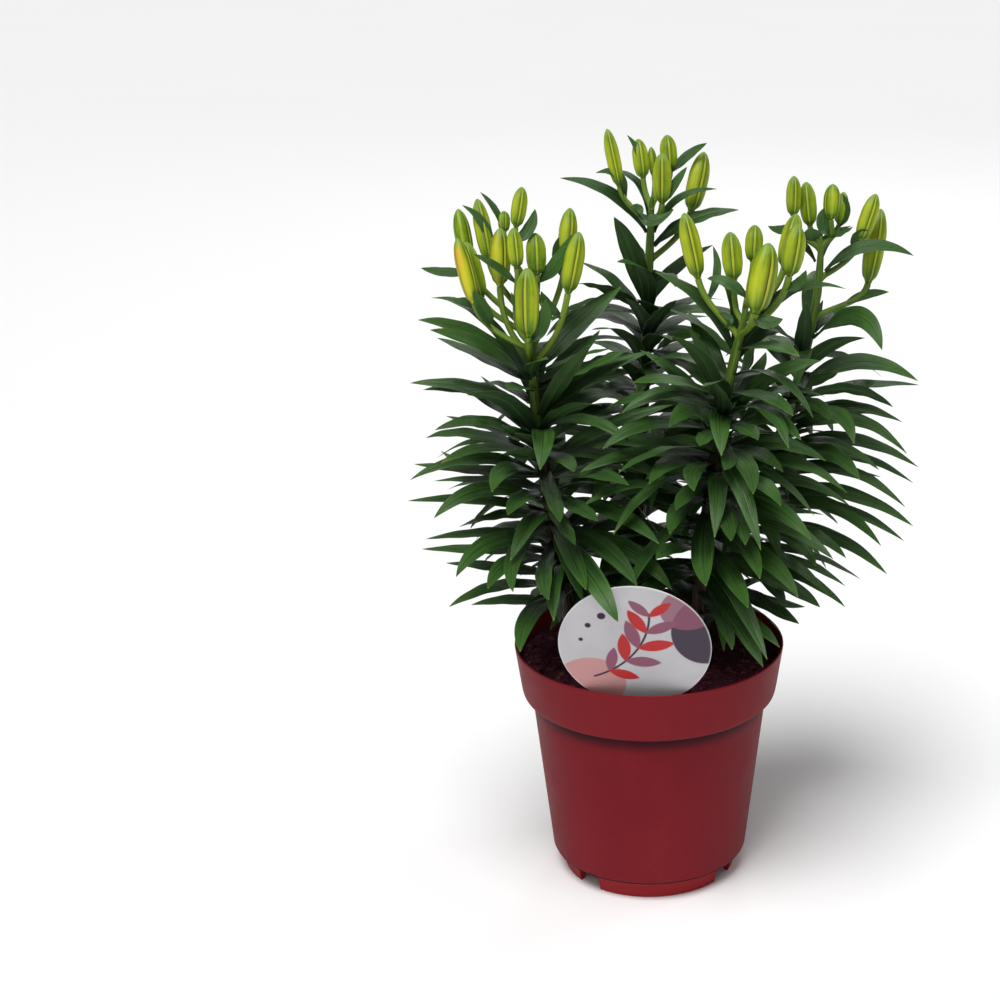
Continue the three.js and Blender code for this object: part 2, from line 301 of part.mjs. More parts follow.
  ["leaves_front_1", "front", 171.5, 218.5, [
    [31.9, -24, 173.2, 51.7, 9.5, 181, 65.8, 40.9, 161.5, 11.5, 0.17],
    [24.9, -30.5, 177.1, -6.9, -42.6, 192.6, -30.7, -48.1, 170.7, 11.7, -0.37],
    [33.4, -33.2, 185.7, 59.5, -62.4, 202.2, 77.9, -84, 186.2, 11, -0.14],
    [34.6, -27.3, 187.1, 61.6, -13.5, 194.5, 82.5, -2.6, 160.5, 11.7, -0.01],
    [28.8, -25.1, 190.1, 17.4, 11.9, 206.4, 15.9, 37.7, 167, 12.2, -0.17],
    [26.6, -26.6, 190.9, 1, -3.6, 210, -17.4, 22.3, 172.4, 11.7, -0.07],
    [32.9, -35.5, 200.5, 46.4, -67.3, 199.7, 49.3, -95, 189.5, 11.6, 0.35],
    [26.4, -32, 204.8, -16.5, -38.2, 230.2, -51.9, -38.1, 199.4, 11.6, -0.19],
    [32.7, -26.8, 208.5, 43.9, 20.2, 220.4, 48.5, 61.5, 200.7, 10.9, -0.11],
    [28.4, -35.5, 212.8, 4.3, -59.3, 227.9, -14.2, -80.3, 199.7, 13, 0.27],
    [34.3, -36.4, 212.8, 54, -71.1, 200.7, 67.4, -101.2, 181.3, 11.5, -0.17],
  ]],
  ["leaves_front_2", "front", 218.9, 241.2, [
    [27.9, -34.5, 220.6, -7.9, -47.8, 228.7, -34.1, -55.3, 189.9, 12.2, 0.2],
    [35.7, -29.1, 220.5, 62.5, 1.3, 222.3, 79.6, 29, 183, 11.9, 0.34],
    [37.6, -33, 222.6, 72.2, -32.5, 215.8, 104.1, -38.9, 193.1, 11.6, -0.52],
    [34.6, -37.6, 222.9, 50.9, -77.5, 228.4, 69.2, -109.7, 190, 12.4, 0.13],
    [36.8, -36.4, 225.8, 65, -57.9, 235, 85.2, -72.3, 217, 12.6, -0.16],
    [30.8, -38, 229.6, 15.6, -69.7, 249.5, 4.6, -98.9, 248.6, 11.6, 0.35],
    [28.7, -33.3, 233.6, -12.2, -26.9, 243.4, -42.1, -16.2, 218.6, 11.1, -0.19],
    [35.2, -38.7, 233.3, 50, -81.9, 233.9, 57.4, -116.9, 225.6, 11.5, -0.17],
    [32.5, -29.4, 234.6, 22.7, 13.3, 251.7, 14.2, 41.8, 210.1, 12.5, -0.24],
    [38.1, -31.9, 236.3, 74.5, -10.8, 252.8, 108.7, 2, 237.7, 11.1, -0.12],
    [37.9, -37.7, 238.6, 71.6, -65.1, 244.8, 87.4, -94.9, 223.2, 11.5, -0.52],
    [38.9, -35.8, 239.1, 82.5, -46, 235.7, 108.7, -50, 206.2, 11.8, -0.2],
  ]],
  ["leaves_front_3", "front", 241.6, 272.5, [
    [30.5, -32.3, 243.7, -1.8, -10.7, 260.1, -28.8, 11.4, 251.1, 12.6, 0.29],
    [31.4, -38.9, 245.8, 5.6, -66.5, 263.6, -13.1, -83, 218.3, 12.7, -0.24],
    [35.8, -30.6, 247.2, 43.6, 9.7, 257.1, 53.8, 33.8, 218.9, 12.6, -0.32],
    [30.3, -35.4, 249.6, -11.1, -33.9, 269.2, -41.3, -28.8, 249.6, 11.2, -0.01],
    [37.6, -40.1, 250.7, 60, -80.4, 255.9, 64, -116, 243.2, 11.5, -0.17],
    [35, -40.9, 253.6, 29.8, -84.3, 248.5, 33.2, -118.3, 239.8, 14, -0.35],
    [40.3, -37.2, 253.4, 80, -47.2, 260.3, 109.6, -65.6, 235.3, 11.6, -0.52],
    [38.9, -32.6, 256.5, 65.3, -0.4, 267.1, 80.2, 26.1, 230.3, 12, -0.01],
    [31.9, -38.8, 259.3, -1.6, -56.7, 293.4, -38.8, -70.5, 270.5, 12.4, 0.11],
    [31.8, -34.7, 260.5, -9.2, -16.1, 278.5, -34.1, -8.8, 237.2, 11.5, 0.36],
    [38.5, -41.2, 261.4, 56.2, -76, 269.6, 55.6, -107.3, 260.6, 11.6, 0],
    [37.3, -32.2, 262.7, 44.3, 9.6, 287.2, 48.9, 49.3, 267, 11.8, -0.25],
    [34.4, -41.3, 264.6, 15.1, -78.8, 276.9, 12.6, -112.5, 269.3, 11.6, 0.17],
    [34.1, -33.3, 265.9, 12.4, -2, 284.6, -12.8, 21.1, 243.6, 12.3, 0.34],
    [41.5, -35.9, 265.6, 83.2, -27.1, 286.2, 121.3, -36, 257.9, 11.6, -0.35],
    [40.8, -40.3, 266.6, 74, -66.7, 278, 94.1, -96, 259.2, 11.6, -0.52],
    [40.5, -34, 267.5, 70.5, -4.5, 267.2, 90.9, 19.7, 231.2, 12.3, -0.21],
    [38.1, -42.2, 268.1, 46.8, -83.9, 271.3, 47.2, -117.2, 266.9, 11.5, 0],
  ]],
  ["leaves_front_4", "front", 272.8, 299.4, [
    [33.7, -35.8, 275.1, -9.9, -12.7, 298.8, -47.2, 0, 289.8, 12.6, 0.06],
    [34.5, -41.3, 275.1, 3.1, -70.8, 298.2, -20.2, -87.4, 259.2, 12, -0.16],
    [38.3, -33.4, 276.5, 39.9, 19.5, 300.3, 43.9, 54.4, 293.6, 12.2, 0.14],
    [40.8, -42.1, 275.9, 66.6, -77.9, 297.2, 75.3, -113.5, 286.7, 11.6, -0.17],
    [41.5, -34.8, 277.4, 71.3, -3.3, 289.2, 87.7, 13, 242.7, 11.5, -0.2],
    [36.5, -42.8, 277.7, 23.5, -79, 285.2, 16, -108.9, 282.6, 11.6, 0],
    [43.2, -37.6, 278.7, 84.6, -33.1, 300.2, 118.4, -46.2, 269.9, 11.6, -0.35],
    [39.2, -43.4, 281, 42.3, -74.6, 297.7, 38.1, -106.4, 264.7, 11.5, 0.28],
    [34.9, -41.4, 282.1, 13.3, -60.6, 305.2, 0.7, -101.7, 295.7, 11.6, 0.35],
    [34.4, -38.4, 284.8, -5.1, -34.3, 309.4, -40.6, -23.3, 290.3, 12.5, 0.36],
    [43.7, -41.1, 285.9, 74.4, -55.1, 294.9, 96.9, -75.7, 266.6, 13, 0.2],
    [37.3, -43.4, 287, 21.7, -78.3, 300.7, 26.2, -110.1, 294.5, 11.6, 0],
    [37.7, -34.8, 287.7, 20.3, 6.3, 295.1, -5.6, 26, 272.2, 11.6, 0.35],
    [43.7, -36.6, 289.9, 73.5, -14.2, 305.4, 96.9, 9.4, 282, 10.9, -0.05],
    [40.9, -44.1, 290, 48.9, -82.4, 310.3, 64.3, -113.6, 259.9, 12.3, 0.09],
    [35.6, -41.2, 291.6, -9.6, -58, 306.5, -39.8, -69, 291, 12, 0.23],
    [45, -38.8, 293, 75, -34.7, 307, 105.7, -41.6, 288.5, 11.6, -0.52],
    [37.4, -43.4, 294.1, 11.3, -73.7, 316.1, -16.6, -103.1, 302.9, 12.9, -0.21],
    [44.9, -42.1, 295.3, 64.6, -52.5, 303.6, 78.3, -75.2, 293.5, 11.6, -0.17],
    [42.8, -44.3, 296.8, 60.9, -82.4, 305.9, 59.3, -116.8, 295.1, 11.5, -0.17],
    [38.9, -35.8, 298, 32.4, -15.4, 331.2, -5.1, -2.1, 345.5, 11.6, 0],
  ]],
  ["leaves_front_5", "front", 299.8, 330.8, [
    [42.4, -45, 300.8, 49.6, -76, 305.8, 43.3, -101.6, 304.1, 11.6, 0.52],
    [46.1, -38.8, 302.4, 79.4, -25.4, 308, 98.2, -14.4, 274.8, 11.4, 0.27],
    [45.2, -43.8, 303.1, 68.6, -64.5, 336.2, 87, -94.7, 319.7, 11.6, -0.52],
    [38.3, -43.7, 304.1, 25, -62.4, 339.4, 12.1, -90.8, 326.2, 11.6, 0.7],
    [38, -42.7, 307.5, -1.7, -59.6, 328.2, -26, -77.3, 308.2, 12.6, 0.28],
    [41.4, -45.5, 308.8, 33.5, -83.9, 320.5, 29.6, -100.6, 318.1, 11.6, 0],
    [44.8, -45.5, 310.9, 56.5, -69.1, 322.9, 62.7, -92.1, 318.8, 11.6, -0.17],
    [48.1, -41.4, 313.4, 65.2, -44.2, 348.1, 100.4, -52.5, 353.8, 11.6, -0.7],
    [43.5, -46.3, 317.8, 39.9, -75.2, 333.7, 41.9, -96.8, 310.9, 12.4, 0.38],
    [39.6, -41.7, 319.3, 2.9, -41.8, 338.8, -25.5, -37.5, 319.1, 10.9, 0.21],
    [43.8, -46.4, 318.9, 44.9, -74.5, 339.7, 38.7, -84.2, 349.7, 11.6, 0.7],
    [47.1, -45.5, 318.7, 71.2, -77.3, 345.1, 79.5, -105.1, 318.1, 12, 0.1],
    [43.9, -37.2, 320.9, 42.2, -4.5, 342.4, 24, 22.6, 363, 12.8, 0],
    [40.5, -43.9, 322.2, 14.7, -55.6, 347.5, -15.4, -61.8, 324.9, 12.5, 0.3],
    [43.9, -46.6, 324.1, 43.8, -66.4, 351.9, 31.2, -90.3, 349.8, 11.6, -0.17],
    [41.2, -44.7, 324.7, 37.9, -52.5, 357.4, 13.8, -62.4, 371.7, 11.6, -0.35],
    [43.5, -37.8, 324.8, 39.1, -19.8, 342, 24.9, -3.3, 358.4, 11.6, -0.35],
    [47.3, -38, 324.2, 63.3, -9, 326.1, 71.3, 7.5, 341.4, 11.6, 0.17],
    [49.5, -40.3, 324.6, 82.9, -26, 335.4, 106.4, -13.6, 319.4, 11.1, -0.07],
    [47.7, -38.1, 328, 63.5, -6.8, 334.8, 61.6, 11.5, 354.1, 11.6, 0.7],
    [41.7, -44.6, 328.6, 14.2, -60.2, 350.8, -8.5, -74.9, 347.4, 12.5, 0.25],
  ]],
  ["leaves_front_6", "front", 331.1, 362.6, [
    [49.4, -46.3, 331.9, 71.5, -74.1, 343.9, 82.2, -96, 334.5, 11.1, -0.13],
    [50.7, -39.6, 337.3, 70.3, -18.7, 344.4, 83.2, -3.6, 318.8, 11.3, 0.04],
    [43.8, -40.7, 339.7, 16.8, -24.3, 360, -7.7, -12.3, 334.5, 12, 0.02],
    [52.4, -46.1, 343.7, 77.6, -65.1, 358.8, 94.6, -80.7, 328.4, 12.1, 0.19],
    [52.8, -40.1, 351.4, 73.6, -21.8, 381.2, 89.8, -26.1, 350.2, 11.6, -0.35],
    [47.9, -41.7, 358.8, 37.6, -32.3, 389.3, 4, -28.1, 400.5, 11.6, 0.17],
    [54, -40.3, 357.6, 75.8, -24.8, 402.5, 115.7, -27.7, 390.2, 11.6, -0.17],
    [54.8, -47.3, 359.2, 72.8, -66.7, 371.9, 86, -79.9, 364.6, 11.4, -0.21],
    [53.7, -40.2, 360.2, 61.7, -28.8, 372.7, 79.5, -22.5, 370.6, 6.2, -0.35],
    [50.2, -40.2, 360.9, 52.6, -27.8, 404, 34.3, -30.5, 396.9, 7, -0.35],
  ]],
  ["leaves_right_1", "right", 164.8, 212.5, [
    [42.7, 31, 167.1, 5.6, 51.6, 190.4, -21, 64.4, 161.7, 11.8, 0.08],
    [50.4, 32.5, 169.6, 72.7, 61.8, 180.9, 98.2, 85.9, 149, 11, 0.09],
    [45.6, 33, 171.1, 27.7, 66.5, 190, 11.4, 93.2, 160.4, 12.4, -0.16],
    [53.5, 28.7, 174.9, 74.2, 26.6, 169.2, 100, 25.4, 165.9, 11.6, -0.17],
    [50.5, 33.8, 179.2, 53.7, 64.2, 182.8, 54.2, 86.9, 158.8, 11.3, 0.18],
    [52.4, 25.3, 181.2, 72.4, -15.4, 186.3, 91.6, -46.9, 185.3, 11.6, -0.17],
    [51.1, 34, 186.9, 42.3, 71.6, 205.2, 28.2, 102.7, 192.2, 11.5, -0.23],
    [53.6, 33.9, 186.8, 65.1, 71.7, 191.6, 70.2, 95.5, 157.4, 12.4, 0.18],
    [55.9, 32.6, 187.3, 87.6, 60.3, 176.7, 113.3, 72.1, 146, 11.6, 0.7],
    [49.4, 32.4, 190.8, 10.9, 61.2, 210.1, -17.2, 84.4, 191.2, 11, 0],
    [52.5, 25.4, 191.6, 44, -17.3, 207.2, 45.7, -56, 171.3, 11.5, -0.24],
    [58.1, 29.9, 191.1, 96.4, 31, 195.6, 125.3, 20.6, 167.9, 11.6, -0.35],
    [56.5, 25.8, 196.2, 75.7, -16, 205.8, 82.5, -51.5, 199.1, 11.6, 0],
    [59.3, 30.3, 195.2, 95.3, 32.8, 203.9, 125.2, 24.2, 180.9, 11.6, -0.17],
    [52, 31.3, 201.8, 14.6, 41.3, 212, -11.8, 53.1, 179.4, 11.1, -0.15],
    [59.1, 34.2, 202.4, 76.2, 66.9, 208.3, 86.4, 96.3, 171.7, 12.5, -0.12],
    [61.9, 31.8, 204.6, 101, 44.9, 202.8, 136.7, 45.6, 177, 11.6, -0.17],
  ]],
  ["leaves_right_2", "right", 212.8, 249, [
    [58.4, 34.6, 214.9, 35.8, 75.7, 232.9, 14.9, 101.8, 215.8, 11.3, 0.24],
    [62.7, 26.6, 216.4, 89.9, -28.5, 241.8, 100.2, -56.9, 227.3, 11.6, -0.17],
    [64.7, 27.7, 217.2, 98.4, 1, 237, 120.5, -29.5, 221.6, 11.6, -0.17],
    [66, 31.1, 216.6, 115.4, 33.6, 225.2, 151.3, 20.6, 190.6, 11.6, -0.52],
    [58.1, 29.1, 219.8, 20.6, 11.1, 238.9, -9.1, -8.4, 213.3, 11.3, 0.25],
    [61.3, 26.6, 219.2, 54.4, -12.1, 248.1, 45.5, -48.7, 213.9, 12.7, 0.32],
    [65.2, 34.8, 220.6, 87.4, 72.1, 224.9, 100.1, 102, 187.5, 10.8, -0.38],
    [64.1, 35.6, 223.4, 68, 72, 234, 74, 99.7, 197.2, 12.1, -0.03],
    [60.7, 33.8, 226.3, 30.9, 56.3, 250.3, 0.8, 77, 228.7, 12.2, -0.28],
    [61.1, 30.5, 229.7, 15, 21.5, 255, -21, 13.3, 242.1, 10.8, -0.09],
    [69.1, 34.5, 229.9, 94.3, 60.2, 219.4, 117.3, 78.6, 170.8, 11.1, -0.11],
    [70.4, 32, 230, 120.4, 38.1, 242.2, 162.1, 27.8, 210.4, 11.6, -0.35],
    [67.7, 35.9, 232.7, 78.1, 85.9, 238.2, 81.4, 121.8, 223.6, 12.3, -0.26],
    [68.3, 27.3, 236.5, 71.3, -14.4, 245.7, 78.9, -53.2, 231.5, 12.3, 0.33],
    [65.7, 35.4, 237.2, 46, 67.9, 255.8, 31.4, 102.4, 253.1, 11.5, 0.37],
    [72.2, 31.7, 235.3, 118.4, 32.5, 245.7, 146.6, 17.7, 210.9, 11.6, -0.52],
    [64.4, 33.6, 238.5, 23.7, 53.2, 266.7, -9.6, 60.3, 221.2, 12.1, 0.08],
    [72.4, 34.6, 238.9, 101.4, 58.8, 232.3, 124.5, 83.6, 200.8, 12.3, 0.05],
    [74, 32.2, 240.6, 124.6, 35.8, 252.5, 167, 24.4, 221.9, 11.6, -0.52],
    [72.2, 36.1, 243.9, 88.1, 80.7, 246, 103.6, 108, 219, 11, 0.14],
  ]],
  ["leaves_right_3", "right", 249.4, 279.7, [
    [72.4, 27.9, 251.2, 67.6, -18.3, 274.5, 58.7, -58.8, 262.1, 10.8, 0.17],
    [69.9, 29.2, 252.1, 37, -5.4, 279.6, 14.6, -29.6, 230.2, 12.2, 0.27],
    [76.8, 34.8, 251.4, 111.6, 57.3, 253.3, 150.2, 68.5, 239.1, 11.6, -0.17],
    [70, 33.4, 256, 17, 45.4, 274.1, -13, 49, 249.9, 11, 0.35],
    [78.9, 32.8, 255.2, 126.7, 37, 268.6, 161.5, 24.3, 234.7, 11.6, -0.35],
    [74.4, 36.9, 257.2, 68, 85, 279.5, 65, 127.2, 267.1, 12.2, -0.08],
    [77, 28.4, 259.8, 85.5, -3.1, 279.2, 87.5, -32.9, 267.6, 11.4, -0.07],
    [80.4, 34.2, 260.5, 126.8, 49.8, 273.7, 168.6, 46.6, 242.8, 11.6, -0.35],
    [79.1, 36.2, 261.2, 103.1, 69.3, 274.6, 119.5, 101.2, 250.8, 12.1, 0.15],
    [74.1, 35.8, 264.6, 38.4, 70.7, 291.9, 7, 91.4, 287, 12.2, -0.15],
    [80.7, 29.6, 265, 112.3, 6.3, 289.4, 127.9, -24.5, 270.3, 11.6, -0.52],
    [74.6, 34.1, 269.5, 26.8, 47.1, 308.4, -7.8, 54.4, 291.6, 11.7, -0.07],
    [78.1, 28.7, 269.1, 73.3, -3.2, 295.4, 62.2, -28.1, 278.5, 11.9, -0.39],
    [83.4, 34.7, 269.8, 129, 51.2, 283, 171.6, 48.9, 252.8, 11.6, -0.52],
    [84.1, 33.5, 271, 117.4, 36.8, 282.2, 144.6, 27.8, 258.3, 11.6, -0.35],
    [83.5, 36.5, 274.1, 108.9, 67.8, 281, 131.3, 86.5, 250.8, 11.6, 0.1],
    [82, 29, 276.2, 88.7, -2.6, 278.5, 76.2, -27.3, 277.8, 11.6, -0.7],
    [77.2, 32.3, 277.7, 34.6, 22.3, 303.2, 5.7, 21.2, 280.4, 12, 0.2],
  ]],
  ["leaves_right_4", "right", 280, 308.3, [
    [87, 34.3, 280.2, 128.2, 42.2, 304.7, 161.9, 28.6, 268.6, 11.6, -0.52],
    [84.9, 37.6, 282.6, 98, 74, 291.5, 107.5, 109.6, 252, 11.6, -0.3],
    [87.3, 36.4, 284.4, 122.8, 62.1, 300.1, 161.7, 61.8, 278.8, 11.6, -0.52],
    [88.4, 30.7, 288.6, 120.2, 9.9, 315.2, 123.9, -21, 292.2, 11.6, -0.35],
    [81.7, 35.1, 291.3, 34.5, 50.6, 308.5, -0.2, 71, 288.7, 11.1, -0.3],
    [84.3, 37.8, 291.9, 64.9, 82.2, 300.4, 49.3, 104.2, 255.6, 11.8, 0.11],
    [88.4, 37.6, 291.9, 110.5, 77.7, 291.1, 121.8, 113, 254.7, 11.1, -0.18],
    [86.7, 29.7, 295.7, 82.8, -4.6, 317.5, 82.5, -35.1, 307.6, 11.7, -0.36],
    [84.3, 32.6, 299.9, 32, 12.8, 320.4, -5.4, 7.4, 302.6, 10.9, 0.34],
    [92.5, 35.1, 298.6, 122.1, 41.2, 318.8, 152.5, 33.4, 298, 11.6, 0.87],
    [87.5, 38.2, 301.8, 71.9, 78.9, 313.3, 66.8, 104.7, 287, 10.9, -0.21],
    [92.5, 36.9, 301.4, 129.9, 64.9, 307.5, 172.8, 71.8, 300.4, 11.6, -0.17],
    [87, 30.8, 303.9, 66, 2.1, 323.1, 46.9, -20.3, 278.1, 12.6, -0.18],
    [90.2, 38.5, 303.3, 94.9, 74.9, 311.1, 95.2, 104.1, 265, 11.8, 0.1],
    [91.1, 30.2, 303.4, 103.4, 5.9, 311.9, 109.3, -17.2, 306.1, 11.6, -0.17],
  ]],
  ["leaves_right_5", "right", 308.6, 347.6, [
    [93.7, 30.8, 309.6, 103.1, 21.4, 321.1, 115.1, 3.8, 329.9, 11.6, 0.52],
    [89.1, 31.6, 313.5, 63.6, 6.2, 336.9, 44.6, -15.9, 306.9, 11, 0.08],
    [96.5, 35.6, 312.9, 131.4, 43.5, 337.7, 167.6, 34.8, 314.6, 11.6, -0.7],
    [93.3, 38.8, 315.1, 97.8, 80.5, 315.3, 105.5, 108.8, 280.5, 11.8, -0.05],
    [91.6, 38.6, 317.1, 75.5, 77, 337.2, 64, 110, 325.4, 11.7, 0.37],
    [95.1, 30.6, 320.6, 107.1, 11.3, 350.2, 129.5, -9.8, 355.3, 11.6, 0.52],
    [94.4, 30.5, 320.5, 96.1, 5.7, 322.1, 91.1, -14.5, 321.1, 11.6, -0.87],
    [93.9, 39, 320.4, 93.4, 60, 323.4, 90.7, 90.2, 325, 11.6, -0.52],
    [93.4, 30.7, 322.1, 95.2, 13.8, 349.9, 95.1, 11.4, 371.7, 11.6, -0.35],
    [96.4, 39.2, 327.9, 101.5, 62, 340.2, 110.6, 82.1, 353.8, 11.6, 0.7],
    [99.7, 37.7, 329.6, 128.5, 62.3, 326.8, 150.2, 88.5, 300.7, 12.5, -0.32],
    [96.2, 30.8, 330.8, 92.8, -8, 355.7, 86.9, -43.4, 335.8, 12.5, -0.27],
    [94.3, 38.2, 333.5, 70, 65.9, 344.5, 49, 84.6, 315.6, 10.9, -0.04],
    [94.1, 34.1, 338.3, 61.9, 25.6, 361.5, 29.2, 19.9, 364.2, 11.9, 0],
    [102.9, 33.2, 343.5, 131.9, 20.6, 377.3, 140, -8.7, 347.5, 12.8, -0.87],
    [99.9, 39.6, 345.3, 101.8, 71.3, 373.4, 107.7, 97.8, 369, 12, 0.02],
    [101.7, 39, 344.9, 120.4, 71, 360, 140.2, 91.8, 334.1, 12.2, -0.03],
  ]],
  ["leaves_right_6", "right", 388.7, 392.4, [
    [105.4, 39.8, 390.2, 107.9, 52.6, 405.9, 125.7, 60.1, 407, 6.2, 0],
    [101.4, 37.7, 390.4, 93.1, 42.2, 406.9, 73, 43.7, 410.8, 6.2, 0.52],
  ]],
];

